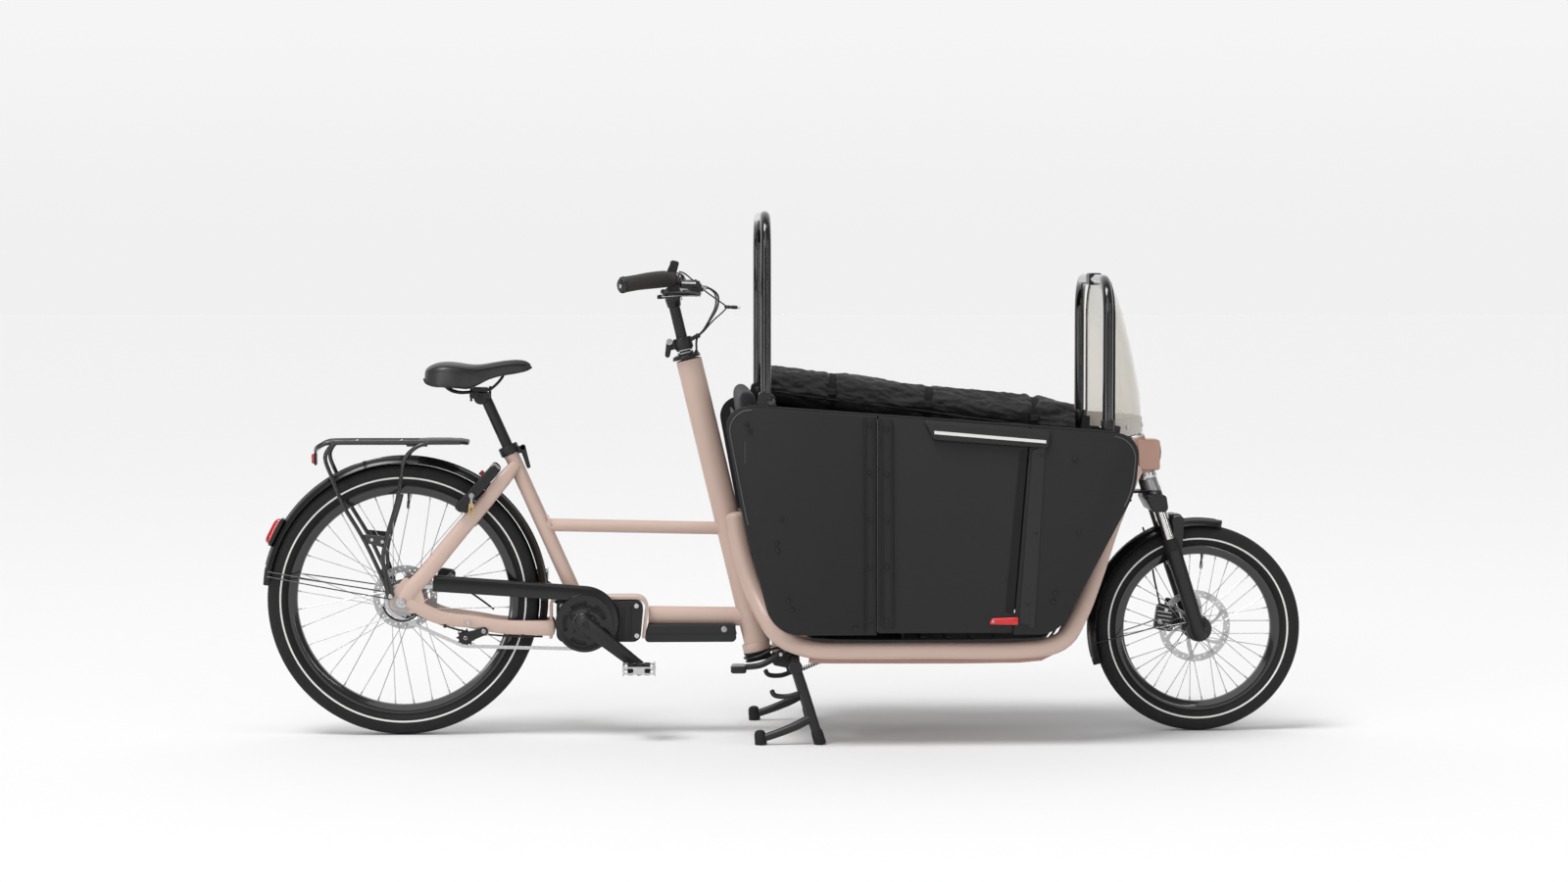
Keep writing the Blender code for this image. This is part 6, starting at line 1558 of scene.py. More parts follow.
def rack():
    z = 0.729
    loop = [(-0.800, -0.060, z), (-0.950, -0.062, z), (-1.100, -0.062, z), (-1.132, -0.061, z - 0.002),
            (-1.150, -0.052, z - 0.010), (-1.1575, -0.030, z - 0.0190), (-1.1590, 0.0, z - 0.0215),
            (-1.1575, 0.030, z - 0.0190), (-1.150, 0.052, z - 0.010), (-1.132, 0.061, z - 0.002), (-1.100, 0.062, z),
            (-0.950, 0.062, z), (-0.800, 0.060, z)]
    bars = [tube(smooth(loop, 6), 0.0055, sides=20)]
    bars += [turned([(0.0040, -0.062), (0.0040, 0.062)], (x, 0, z), sides=20) for x in (-1.060, -0.950)]
    bars += [tube([(-1.155, y, z - 0.016), (-1.128, y, z - 0.002), (-1.100, y, z), (-0.850, y, z)], 0.0038, sides=16)
             for y in (-0.022, 0.022)]
    legs, plates = [], []
    for side in (-1, 1):
        rear = [(-1.105, 0.0620 * side, z), (-1.124, 0.0650 * side, z - 0.016), (-1.131, 0.0690 * side, z - 0.042),
                (-1.112, 0.0740 * side, 0.638), (-1.086, 0.0775 * side, 0.574), (-1.033, 0.0775 * side, 0.483),
                (-0.972, 0.0765 * side, 0.350)]
        fore = [(-0.880, 0.0620 * side, z), (-0.910, 0.0640 * side, z - 0.012), (-0.936, 0.0680 * side, 0.690),
                (-0.946, 0.0740 * side, 0.640), (-0.957, 0.0775 * side, 0.580), (-0.985, 0.0775 * side, 0.483),
                (-0.990, 0.0770 * side, 0.430), (-0.974, 0.0765 * side, 0.350)]
        legs += [tube(smooth(rear, 5), 0.0052, sides=18), tube(smooth(fore, 5), 0.0052, sides=18)]
        low, high = sorted((0.0755 * side, 0.0795 * side))
        plates.append(prism(rounded([(-1.046, 0.505, 0.004), (-0.978, 0.498, 0.004), (-0.984, 0.470, 0.004),
                                     (-1.028, 0.482, 0.004)]), low, high))
        plates.append(prism(rounded([(-0.998, 0.415, 0.003), (-0.984, 0.428, 0.004), (-0.962, 0.352, 0.006),
                                     (-0.980, 0.338, 0.006)]), low, high))
    plates.append(box((-0.936, -0.014, 0.7165), (-0.884, 0.014, z + 0.001)))
    piece("rack_tubes", join(*bars, *legs), "gloss_black", "frame", ["rear_rack"], angle=50)
    piece("rack_plates", join(*plates), "gloss_black", "frame", bevel=0.0010)
    pad = loft([[(x, half * t, zz + dz) for t, dz in ((-1, -0.003), (-1, 0.003), (-0.8, 0.006), (0.8, 0.006), (1, 0.003),
                                                      (1, -0.003), (0.8, -0.005), (-0.8, -0.005))]
                for x, half, zz in ((-0.905, 0.0600, z), (-0.880, 0.0630, z + 0.001), (-0.830, 0.0620, z + 0.001),
                                    (-0.795, 0.0540, z - 0.001), (-0.782, 0.0440, z - 0.003))])
    piece("rack_front_pad", pad, "black_plastic", "frame", bevel=0.0020)
    feet = [bolt((-0.973, 0.0800 * s, 0.351), (0, s, 0), 0.0060, 0.0040) for s in (-1, 1)]
    feet += [bolt((-1.018, 0.0795 * s, 0.491), (0, s, 0), 0.0045, 0.0030) for s in (-1, 1)]
    feet += [bolt((-0.992, 0.0795 * s, 0.486), (0, s, 0), 0.0045, 0.0030) for s in (-1, 1)]
    piece("rack_bolts", join(*feet), "silver", "frame")
    mount = prism(rounded([(-1.163, 0.671, 0.002), (-1.158, 0.671, 0.001), (-1.158, 0.712, 0.001), (-1.163, 0.712, 0.002)]),
                  -0.018, 0.018)
    piece("reflector_mount", mount, "black_plastic", "frame", bevel=0.001)
    glass = loft([[(x, y, zz) for y, zz in rounded([(-half, 0.6755 + dd, 0.004), (half, 0.6755 + dd, 0.004),
                                                    (half, 0.7005 - dd, 0.004), (-half, 0.7005 - dd, 0.004)], 5)]
                  for x, half, dd in ((-1.1625, 0.0280, 0.0), (-1.1670, 0.0275, 0.0005), (-1.1690, 0.0250, 0.0025))])
    piece("rack_reflector", glass, "red_lens", "frame", angle=60)
    stays = []
    for side in (-1, 1):
        for turn, foot in ((168.5, (-0.985, 0.0735 * side, 0.362)), (170.5, (-0.980, 0.0740 * side, 0.345))):
            top = REAR_GUARD + Vector((math.cos(math.radians(turn)), 0, math.sin(math.radians(turn)))) * 0.3440
            top.y = 0.0315 * side
            stays.append(tube(smooth([foot, Vector(foot).lerp(top, 0.5) + Vector((0, 0.012 * side, 0)), top], 6), 0.0016,
                              sides=10))
    piece("guard_stays", join(*stays), "gloss_black", "frame")


def lock_point(radius, turn, depth):
    return (LOCK - LOCK_UP * radius * math.cos(turn) + Vector((0, radius * math.sin(turn), 0)) + LOCK_OUT * depth)


def lock_sweep(section, start, end, steps):
    sections = []
    for k in range(steps + 1):
        turn = math.radians(start + (end - start) * k / steps)
        sections.append([lock_point(radius, turn, depth) for radius, depth in section])
    return loft(sections)


def ring_lock():
    inner, outer, groove, mid = 0.0525, 0.0695, 0.0045, 0.0595
    section = rounded([(inner, -0.0175, 0.0035), (outer, -0.0175, 0.0075), (outer, 0.0085, 0.0030),
                       (mid + groove, 0.0085, 0.0008), (mid + groove, -0.0030, 0.0008), (mid - groove, -0.0030, 0.0008),
                       (mid - groove, 0.0085, 0.0008), (inner, 0.0085, 0.0020)], 3)
    piece("lock_ring", lock_sweep(section, 47, 313, 60), "satin_black", "frame", ["ring_lock"], angle=50)
    case = lock_sweep(rounded([(outer - 0.003, -0.0180, 0.004), (outer + 0.026, -0.0175, 0.008),
                               (outer + 0.026, 0.0080, 0.006), (outer - 0.003, 0.0085, 0.002)], 4), 146, 214, 20)
    piece("lock_case", case, "guard_plastic", "frame", bevel=0.0030)
    for name, side in (("right", -1), ("left", 1)):
        low, high = sorted((0.0672 * side, 0.0772 * side))
        corners = [(-0.0480, -0.0180, 0.010), (0.0950, -0.0180, 0.012), (0.0950, 0.0085, 0.008), (-0.0480, 0.0085, 0.008)]
        outline = []
        for up, out, r in corners:
            spot = LOCK + LOCK_UP * up + LOCK_OUT * out
            outline.append((spot.x, spot.z, r))
        piece(f"lock_cover_{name}", prism(rounded(outline, 5), low, high), "guard_plastic", "frame", bevel=0.0040)
    tips = []
    for side in (-1, 1):
        root = lock_point(0.0610, math.radians(47 if side > 0 else 313), 0.001)
        tips.append(tube([root - LOCK_OUT * 0.005, root - LOCK_OUT * 0.005 - LOCK_UP * 0.010], [0.0125, 0.0100], sides=20, ends=0.004))
    piece("lock_tips", join(*tips), "satin_black", "frame")
    half = 0.0037
    arc = lock_sweep(rounded([(mid - half, -0.0022, 0.0015), (mid + half, -0.0022, 0.0015), (mid + half, 0.0058, 0.0015),
                              (mid - half, 0.0058, 0.0015)], 3), 193, 307, 32)
    piece("lock_shackle", arc, "silver", "ring_lock_bolt", ["ring_lock_bolt"])
    knob = lock_sweep(rounded([(mid - half, 0.0040, 0.001), (mid + 0.005, 0.0040, 0.001), (mid + 0.008, 0.0180, 0.003),
                               (mid - half, 0.0180, 0.002)], 3), 197, 207, 6)
    piece("lock_thumb", knob, "pink_pad", "ring_lock_bolt", bevel=0.0008)
    head_ = LOCK + Vector((0.006, -0.078, -0.001))
    piece("lock_core", turned([(0.0075, 0.0), (0.0075, 0.010), (0.0062, 0.012), (0.0030, 0.012)], head_, (0, -1, 0),
                              sides=28), "dull_steel", "frame")
    bow = rounded([(head_.x - 0.0085, head_.z - 0.050, 0.006), (head_.x + 0.0075, head_.z - 0.050, 0.006),
                   (head_.x + 0.0060, head_.z - 0.018, 0.004), (head_.x - 0.0060, head_.z - 0.018, 0.004)])
    hole = rounded([(head_.x - 0.0045, head_.z - 0.045, 0.003), (head_.x + 0.0035, head_.z - 0.045, 0.003),
                    (head_.x + 0.0030, head_.z - 0.030, 0.002), (head_.x - 0.0030, head_.z - 0.030, 0.002)])
    y = head_.y - 0.0135
    blade = prism([(head_.x - 0.0030, head_.z + 0.004), (head_.x - 0.0030, head_.z - 0.020), (head_.x + 0.0030,
                  head_.z - 0.020), (head_.x + 0.0030, head_.z + 0.004)], y - 0.0008, y + 0.0008)
    piece("lock_key_bow", combine(prism(bow, y - 0.0016, y + 0.0016), cut=[prism(hole, y - 0.01, y + 0.01)]), "brass",
          "frame", bevel=0.0004)
    piece("lock_key_blade", blade, "dull_steel", "frame", bevel=0.0002)


def caliper_rear():
    cx, cz = -0.846, 0.384
    corners = [(cx - 0.026, cz - 0.018, 0.008), (cx + 0.022, cz - 0.022, 0.008), (cx + 0.028, cz + 0.020, 0.010),
               (cx - 0.014, cz + 0.026, 0.010)]
    halves = [prism(rounded(corners), 0.0405, 0.0475), prism(rounded(corners), 0.0525, 0.0605),
              prism(rounded([(cx - 0.010, cz + 0.016, 0.003), (cx + 0.020, cz + 0.012, 0.003), (cx + 0.024, cz + 0.022,
                             0.004), (cx - 0.008, cz + 0.027, 0.004)]), 0.0470, 0.0530)]
    piece("rear_caliper_body", join(*halves), "satin_black", "frame", ["rear_brake_caliper"], bevel=0.0020)
    piece("rear_caliper_piston", turned([(0.0120, 0.0), (0.0120, 0.0030), (0.0100, 0.0042)], (cx + 0.002, 0.0600, cz),
                                        (0, 1, 0), sides=36), "dull_steel", "frame")
    piece("rear_caliper_bolts", join(bolt((cx - 0.014, 0.0400, cz - 0.010), (0, -1, 0), 0.0050, 0.0040),
                                     bolt((cx + 0.018, 0.0400, cz + 0.008), (0, -1, 0), 0.0050, 0.0040),
                                     bolt((cx + 0.014, 0.0605, cz + 0.012), (0, 1, 0), 0.0045, 0.0035)), "silver",
          "frame")
    route = [(-0.830, 0.054, 0.372), (-0.808, 0.0575, 0.362), (-0.780, 0.0620, 0.345), (-0.750, 0.0610, 0.324),
             (-0.724, 0.0545, 0.305)]
    hose = smooth(route, 6)
    made = piece("rear_caliper_hose", tube(hose, 0.0025, sides=14), "hose", "frame")


wheels()
crankset()
pedals()
case_and_chain()
rear_end()


# Seat


def seat():
    post = turned_on(seat_at, SEAT_LEAN, [(0.0138, 0.500), (0.0138, 0.834), (0.0125, 0.840)], 40)
    piece("seat_post_tube", post, "satin_black", "seatpost", ["seatpost"])
    clamp = [prism(rounded([(-0.780, 0.836, 0.006), (-0.730, 0.834, 0.006), (-0.728, 0.850, 0.004), (-0.778, 0.853, 0.004)]),
                   -0.0240, 0.0240),
             prism(rounded([(-0.774, 0.853, 0.003), (-0.732, 0.852, 0.003), (-0.734, 0.863, 0.004), (-0.772, 0.863, 0.004)]),
                   -0.0245, 0.0245),
             turned([(0.0165, -0.0180), (0.0175, -0.0150), (0.0175, 0.0150), (0.0165, 0.0180)], (-0.752, 0, 0.838), sides=36)]
    piece("seat_clamp_head", join(*clamp), "satin_black", "seatpost", bevel=0.0015)
    piece("seat_clamp_bolts", join(*[bolt((-0.752, 0.0245 * s, 0.845), (0, s, 0), 0.0060, 0.0040) for s in (-1, 1)],
                                   *[tube([(x, 0, 0.828), (x, 0, 0.866)], 0.0030, sides=14) for x in (-0.776, -0.729)]),
          "dark_bolt", "seatpost")
    rails_ = []
    for side in (-1, 1):
        y = side
        rails_.append(tube(smooth([(-0.850, 0.034 * y, 0.882), (-0.838, 0.030 * y, 0.866), (-0.822, 0.025 * y, 0.8545),
                                   (-0.800, 0.0210 * y, 0.8500), (-0.775, 0.0185 * y, 0.8515), (-0.735, 0.0175 * y, 0.8560),
                                   (-0.716, 0.0160 * y, 0.8680), (-0.700, 0.0120 * y, 0.8860),
                                   (-0.694, 0.0090 * y, 0.9000)], 6), 0.0035, sides=16))
    piece("saddle_rails", join(*rails_), "satin_black", "seatpost")
    stations = [(-0.8900, 0.040, 0.9035, 0.889), (-0.8835, 0.060, 0.9140, 0.884), (-0.8640, 0.079, 0.9240, 0.8815),
                (-0.8380, 0.088, 0.9275, 0.8820), (-0.8080, 0.086, 0.9250, 0.8795), (-0.7800, 0.071, 0.9200, 0.8745),
                (-0.7560, 0.056, 0.9190, 0.8810), (-0.7300, 0.045, 0.9235, 0.8920), (-0.7000, 0.037, 0.9290, 0.8985),
                (-0.6650, 0.0285, 0.9325, 0.9020), (-0.6400, 0.0220, 0.9300, 0.9065), (-0.6270, 0.0120, 0.9205, 0.9110)]
    sections = []
    for x, half, top, base in stations:
        drop = base - 0.20 * half
        line = [(-1.00, drop + 0.004), (-0.985, drop + 0.012), (-0.90, top - 0.0125), (-0.70, top - 0.0045),
                (-0.42, top - 0.0008), (-0.20, top - 0.0002), (-0.06, top - 0.0030), (0.06, top - 0.0030),
                (0.20, top - 0.0002), (0.42, top - 0.0008), (0.70, top - 0.0045), (0.90, top - 0.0125),
                (0.985, drop + 0.012), (1.00, drop + 0.004), (0.93, drop - 0.001), (0.70, base + 0.001), (0.30, base + 0.003),
                (-0.30, base + 0.003), (-0.70, base + 0.001), (-0.93, drop - 0.001)]
        sections.append([(x, half * t, z) for t, z in line])
    cover = piece("saddle_cover", loft(sections), "saddle_skin", "seatpost", ["saddle"], levels=2)
    seam = []
    for side in (-1, 1):
        seam.append(tube(smooth([(x, side * half * 0.915, top - 0.0118) for x, half, top, base in stations[1:-1]], 4),
                         0.0009, sides=8))
    piece("saddle_seam", join(*seam), "webbing", "seatpost")
    shell = []
    for side in (-1, 1):
        shell.append(tube(smooth([(x, side * half * 0.97, base - 0.20 * half + 0.0035) for x, half, top, base in stations], 4),
                          0.0026, sides=10))
    piece("saddle_base_edge", join(*shell), "black_plastic", "seatpost")
    lever = SEAT_LEVER
    boss = turned([(0.0055, -0.0130), (0.0068, -0.0120), (0.0068, 0.0120), (0.0055, 0.0130)], lever, sides=28)
    blade = loft([[(x, y, z) for x, z in capsule(lever, lever + Vector((0.014, 0, -0.047)), 0.0072 - d, 0.0050 - d)]
                  for y, d in ((-0.0130, 0.001), (-0.0115, 0.0), (-0.0085, 0.0), (-0.0070, 0.001))])
    piece("seat_lever_blade", join(boss, blade), "satin_black", "seat_lever", ["seat_clamp_lever"], angle=50)
    piece("seat_lever_nut", turned([(0.0066, 0.0), (0.0066, 0.0045), (0.0050, 0.0058)], lever + Vector((0, 0.0130, 0)),
                                   (0, 1, 0), sides=24), "silver", "seat_lever")


# Steering


def column():
    steps = [(0.0120, 0.182), (0.0350, 0.183), (0.0350, 0.186), (0.0310, 0.190), (0.0310, 0.198), (0.0350, 0.202),
             (0.0350, 0.2055), (0.0120, 0.206)]
    piece("cable_drum", turned_on(steer_at, STEER_LEAN, steps, 56), "satin_black", "steering_column", ["steering_shaft"])
    inside = [(0.0120, 0.200), (0.0120, 0.232), (0.0205, 0.233), (0.0205, 0.248), (0.0120, 0.249), (0.0120, 0.790),
              (0.0165, 0.800), (0.0165, 0.930)]
    piece("column_tube", turned_on(steer_at, STEER_LEAN, inside, 40), "satin_black", "steering_column")
    cap = [(0.0200, 0.9335), (0.0348, 0.9340), (0.0350, 0.9375), (0.0330, 0.9425), (0.0260, 0.9450), (0.0205, 0.9460),
           (0.0150, 0.9462)]
    piece("column_cap", turned_on(steer_at, STEER_LEAN, cap, 64), "satin_black", "steering_column")
    rings = [turned_on(steer_at, STEER_LEAN, [(0.0180, z), (0.0205, z + 0.0008), (0.0205, z + 0.0034), (0.0180, z + 0.0042)],
                       56) for z in (0.9465, 0.9535)]
    piece("column_rings", join(*rings), "dull_steel", "steering_column")
    collar = [(0.0160, 0.9575), (0.0222, 0.9580), (0.0230, 0.9600), (0.0230, 0.9835), (0.0222, 0.9855), (0.0152, 0.9860)]
    ears = [loft([[tuple(steer_at(z, ahead, y)) for z, ahead in ((0.9620, -0.0180), (0.9620, -0.0390), (0.9800, -0.0390),
                                                                  (0.9830, -0.0180))] for y in (a, a + 0.0045)])
            for a in (-0.0105, 0.0060)]
    piece("clamp_collar", join(turned_on(steer_at, STEER_LEAN, collar, 56), *ears), "satin_black", "steering_column",
          bevel=0.0012)
    arm_ = loft([[tuple(steer_at(z, ahead, y)) for z, ahead in ((0.9690, 0.0150), (0.9800, 0.0150), (0.9870, 0.0420),
                                                                (0.9845, 0.0465), (0.9790, 0.0440))]
                 for y in (-0.0130, 0.0130)])
    guide = [turned([(0.0052, -0.0045), (0.0062, -0.0030), (0.0062, 0.0030), (0.0052, 0.0045), (0.0032, 0.0045),
                     (0.0032, -0.0045)], steer_at(0.981, 0.0400, y), (0.25, 0, 1), sides=24, ring=True)
             for y in (-0.0090, 0.0, 0.0090)]
    piece("hose_guide", join(arm_, *guide), "satin_black", "steering_column", bevel=0.0010)
    port = [tube([steer_at(0.9400, 0.0250, y), steer_at(0.9480, 0.0285, y)], [0.0052, 0.0040], sides=20, ends=0.001)
            for y in (-0.0095, 0.0, 0.0095)]
    piece("hose_ports", join(*port), "rubber", "steering_column")
    lever = STEM_LEVER
    boss = turned([(0.0060, -0.0120), (0.0072, -0.0110), (0.0072, 0.0110), (0.0060, 0.0120)], lever, sides=28)
    blade = loft([[(x, y, z) for x, z in capsule(lever, lever + Vector((-0.005, 0, -0.033)), 0.0078 - d, 0.0062 - d)]
                  for y, d in ((-0.0120, 0.0015), (-0.0100, 0.0), (0.0100, 0.0), (0.0120, 0.0015))])
    piece("stem_lever_blade", join(boss, blade), "satin_black", "stem_lever", ["stem_clamp_lever"], angle=50)
    piece("stem_lever_knob", turned([(0.0075, 0.0), (0.0082, 0.0015), (0.0075, 0.0040), (0.0040, 0.0046)],
                                    lever + Vector((0, -0.0120, 0)), (0, -1, 0), sides=28), "dull_steel", "stem_lever")


BAR = [(-0.277, 0.0, 1.094), (-0.274, 0.040, 1.096), (-0.270, 0.090, 1.106), (-0.272, 0.150, 1.124),
       (-0.282, 0.205, 1.131), (-0.300, 0.240, 1.131), (-0.345, 0.284, 1.126), (-0.394, 0.319, 1.118)]


def bar_point(side, index):
    x, y, z = BAR[index]
    return Vector((x, y * side, z))


def bars():
    quill = turned_on(steer_at, STEER_LEAN, [(0.0138, 0.870), (0.0138, 1.060), (0.0150, 1.066), (0.0165, 1.076)], 40)
    piece("stem_quill", quill, "satin_black", "handlebar", ["handlebar"])
    clamp = turned([(0.0190, -0.0245), (0.0212, -0.0225), (0.0212, 0.0225), (0.0190, 0.0245)], (-0.277, 0, 1.093), sides=44)
    neck = tube([steer_at(1.060), steer_at(1.086, 0.001)], [0.0168, 0.0195], sides=36, ends=0.003)
    piece("stem_clamp", join(clamp, neck), "satin_black", "handlebar", angle=50)
    piece("stem_clamp_bolts", join(*[bolt((-0.2560, y, zz), (1, 0, 0.05), 0.0040, 0.0032) for y in (-0.015, 0.015)
                                     for zz in (1.083, 1.103)]), "silver", "handlebar")
    whole = [bar_point(-1, i) for i in range(7, -1, -1)] + [bar_point(1, i) for i in range(1, 8)]
    piece("handlebar_tube", tube(smooth(whole, 7), 0.0110, sides=28), "satin_black", "handlebar")
    for name, side in (("right", -1), ("left", 1)):
        grip(name, side)
        controls(name, side)
    screen()


def grip(name, side):
    """A grip that widens into a palm rest towards its outer half, with lock rings at both ends."""
    route = [Vector((-0.2835, 0.2085 * side, 1.131))] + [bar_point(side, i) for i in (5, 6, 7)]
    line = smooth(route, 8)
    line.append(line[-1] + (line[-1] - line[-2]).normalized() * 0.006)
    sections = []
    count = len(line)
    up = Vector((0, 0, 1))
    for i, point in enumerate(line):
        part = i / (count - 1)
        along = (line[min(i + 1, count - 1)] - line[max(i - 1, 0)]).normalized()
        back = along.cross(up).normalized()
        if back.x > 0:
            back = -back
        rise = back.cross(along).normalized()
        if rise.z < 0:
            rise = -rise
        body = 0.0172 + 0.0022 * math.sin(math.pi * min(1.0, part * 1.3))
        palm = 0.019 * max(0.0, math.sin(math.pi * min(1.0, part / 0.80))) ** 1.5
        end = 1.0 if part < 0.97 else 0.90
        section = []
        for k in range(36):
            turn = 2 * math.pi * k / 36
            c, s = math.cos(turn), math.sin(turn)
            reach = body + (palm * max(0.0, c) ** 2 if c > 0 else 0.0)
            thin = 1.0 - 0.30 * max(0.0, c) * (palm / 0.019)
            section.append(point + (back * c * reach + rise * s * body * 0.98 * thin) * end)
        sections.append(section)
    piece(name + "_grip_rubber", loft(sections), "grip", "handlebar", [name + "_grip"], angle=60)
    rings = []
    first = (line[1] - line[0]).normalized()
    last = (line[-1] - line[-2]).normalized()
    rings.append(turned([(0.0178, 0.0), (0.0186, 0.001), (0.0186, 0.008), (0.0178, 0.009), (0.0112, 0.009), (0.0112, 0.0)],
                        line[0] - first * 0.008, first, sides=40, ring=True))
    rings.append(turned([(0.0172, -0.004), (0.0180, -0.003), (0.0180, 0.004), (0.0165, 0.0055), (0.0040, 0.0060)], line[-1],
                        last, sides=40))
    piece(name + "_grip_rings", join(*rings), "satin_black", "handlebar", angle=45)
    piece(name + "_grip_bolt", bolt(line[-1] + last * 0.0058, last, 0.0048, 0.0022), "silver", "handlebar")


def controls(name, side):
    low, high = sorted((0.1735 * side, 0.1925 * side))
    clamp = turned([(0.0155, low), (0.0168, low + 0.0015), (0.0168, high - 0.0015), (0.0155, high)], (-0.2760, 0, 1.127),
                   sides=36)
    tank = [(-0.262, 0.183 * side, 1.1190), (-0.235, 0.183 * side, 1.1165), (-0.208, 0.183 * side, 1.1120)]
    barrel = tube(smooth(tank, 5), 0.0098, sides=28, ends=0.004)
    lid = loft([[(x, y, z) for x, y in rounded([(-0.262, low + 0.002, 0.003), (-0.212, low + 0.002, 0.005),
                                                (-0.212, high - 0.002, 0.005), (-0.262, high - 0.002, 0.003)])]
                for z in (1.1195, 1.1275)])
    yoke = loft([[(x, y, z) for x, y in rounded([(-0.236, 0.165 * side, 0.004), (-0.204, 0.165 * side, 0.006),
                                                 (-0.204, 0.192 * side, 0.006), (-0.236, 0.192 * side, 0.004)])]
                 for z in (1.1015, 1.1105)])
    piece(name + "_brake_cylinder", join(clamp, barrel, lid, yoke), "satin_black", "handlebar", bevel=0.0012, angle=50)
    piece(name + "_brake_label", prism([(-0.256, 1.1215), (-0.222, 1.1205), (-0.222, 1.1250), (-0.256, 1.1258)],
                                       *sorted(((0.1925) * side if side < 0 else low - 0.0004,
                                                (0.1931) * side if side < 0 else low + 0.0002))), "white_print",
          "handlebar")
    nut = tube([(-0.2085, 0.183 * side, 1.1118), (-0.1965, 0.183 * side, 1.1095)], 0.0048, sides=6)
    piece(name + "_hose_nut", nut, "dull_steel", "handlebar")
    piece(name + "_control_bolts", join(*[bolt((-0.2615, y, z), (1, 0, 0), 0.0036, 0.0028)
                                          for y in (0.178 * side, 0.188 * side) for z in (1.138,)],
                                        *[bolt((x, 0.183 * side, 1.1275), (0, 0, 1), 0.0024, 0.0012)
                                          for x in (-0.257, -0.217)]), "silver", "handlebar")
    route = [(-0.2160, 0.168 * side, 1.0965), (-0.2180, 0.200 * side, 1.0965), (-0.236, 0.240 * side, 1.0980),
             (-0.268, 0.280 * side, 1.0980), (-0.303, 0.305 * side, 1.0970)]
    blade = tube(smooth(route, 8), spread([0.0078, 0.0068, 0.0056, 0.0052, 0.0066], 8), sides=24, squash=1.0, ends=0.005)
    for vertex in blade.verts:
        vertex.co.z = 1.0972 + (vertex.co.z - 1.0972) * 0.85
    pin = turned([(0.0042, -0.0080), (0.0042, 0.0090)], (-0.215, 0.178 * side, 1.097), (0, 0, 1), sides=24)
    body = name + "_brake"
    piece(name + "_lever_blade", blade, "satin_black", body, [name + "_brake_lever"], angle=60)
    piece(name + "_lever_pin", pin, "silver", body)
    groove = [(p[0] - 0.001, p[1], p[2] - 0.0048) for p in route[1:]]
    piece(name + "_lever_underside", tube(smooth(groove, 8), 0.0026, sides=12, squash=0.8), "silver", body)
    if side < 0:
        pod = prism(rounded([(-0.292, 1.0985, 0.005), (-0.260, 1.0985, 0.005), (-0.262, 1.118, 0.006), (-0.290, 1.118,
                             0.006)]), -0.207, -0.195)
        band = turned([(0.0150, -0.2070), (0.0160, -0.2055), (0.0160, -0.1975), (0.0150, -0.1960)], (-0.2790, 0, 1.1290),
                      sides=36)
        piece("shift_pod", join(pod, band), "black_plastic", "handlebar", bevel=0.0010, angle=50)
        paddle = loft([[(x, y, z + lift) for x, z in rounded([(-0.3160, 1.0840, 0.003), (-0.2660, 1.0880, 0.003),
                                                              (-0.2660, 1.0965, 0.003), (-0.3160, 1.0935, 0.003)], 5)]
                       for y, lift in ((-0.2035, 0.0), (-0.1960, -0.0008), (-0.1860, -0.0008), (-0.1780, 0.0))])
        piece("shift_paddle", paddle, "black_plastic", "shifter", ["shift_lever"], bevel=0.0012)
        piece("shift_ribs", join(*[tube([(x, -0.2030, z), (x, -0.1785, z)], 0.0010, sides=8)
                                   for x, z in ((-0.312, 1.0938), (-0.307, 1.0942), (-0.302, 1.0946), (-0.297, 1.0950))]),
              "rubber", "shifter")
    else:
        bell = turned([(0.0165, 0.0), (0.0170, 0.003), (0.0150, 0.012), (0.0100, 0.0170), (0.0030, 0.0185)],
                      (-0.262, 0.120, 1.128), (0.45, 0, 1), sides=36)
        band = turned([(0.0128, 0.112), (0.0138, 0.114), (0.0138, 0.128), (0.0128, 0.130)], (-0.271, 0, 1.115), sides=36)
        piece("bell_cup", bell, "gloss_black", "handlebar")
        piece("bell_band", band, "black_plastic", "handlebar")
        piece("bell_striker", tube([(-0.250, 0.132, 1.1285), (-0.243, 0.140, 1.1310)], [0.0022, 0.0032], sides=14, ends=0.002),
              "dull_steel", "handlebar")


def screen():
    outline = rounded([(-0.297, 1.1380, 0.004), (-0.271, 1.1380, 0.004), (-0.2610, 1.1740, 0.006), (-0.280, 1.1785, 0.005)])
    piece("display_case", prism(outline, -0.151, -0.103), "black_plastic", "handlebar", ["display"], bevel=0.0015)
    slope = Vector((0.0142, 0, 0.0310)).normalized()
    out = Vector((-slope.z, 0, slope.x))
    base = Vector((-0.2960, 0, 1.1425))
    corners = [base + out * 0.0002, base + slope * 0.0300 + out * 0.0002, base + slope * 0.0300 - out * 0.0015,
               base - out * 0.0015]
    piece("display_glass", loft([[p + Vector((0, y, 0)) for p in corners] for y in (-0.146, -0.108)]), "screen_glass",
          "handlebar")
    bracket = join(turned([(0.0128, -0.140), (0.0138, -0.1385), (0.0138, -0.1155), (0.0128, -0.114)], (-0.2715, 0, 1.1165),
                          sides=36),
                   prism(rounded([(-0.288, 1.122, 0.003), (-0.270, 1.122, 0.003), (-0.272, 1.142, 0.002),
                                  (-0.288, 1.142, 0.002)]), -0.136, -0.118))
    piece("display_bracket", bracket, "black_plastic", "handlebar", bevel=0.0010)
    buttons = [turned([(0.0036, 0.0), (0.0036, 0.0012), (0.0028, 0.0018)], base + slope * 0.0335 + Vector((0.0, y, 0)),
                      out, sides=20) for y in (-0.138, -0.127, -0.116)]
    piece("display_buttons", join(*buttons), "pale_grey", "handlebar")


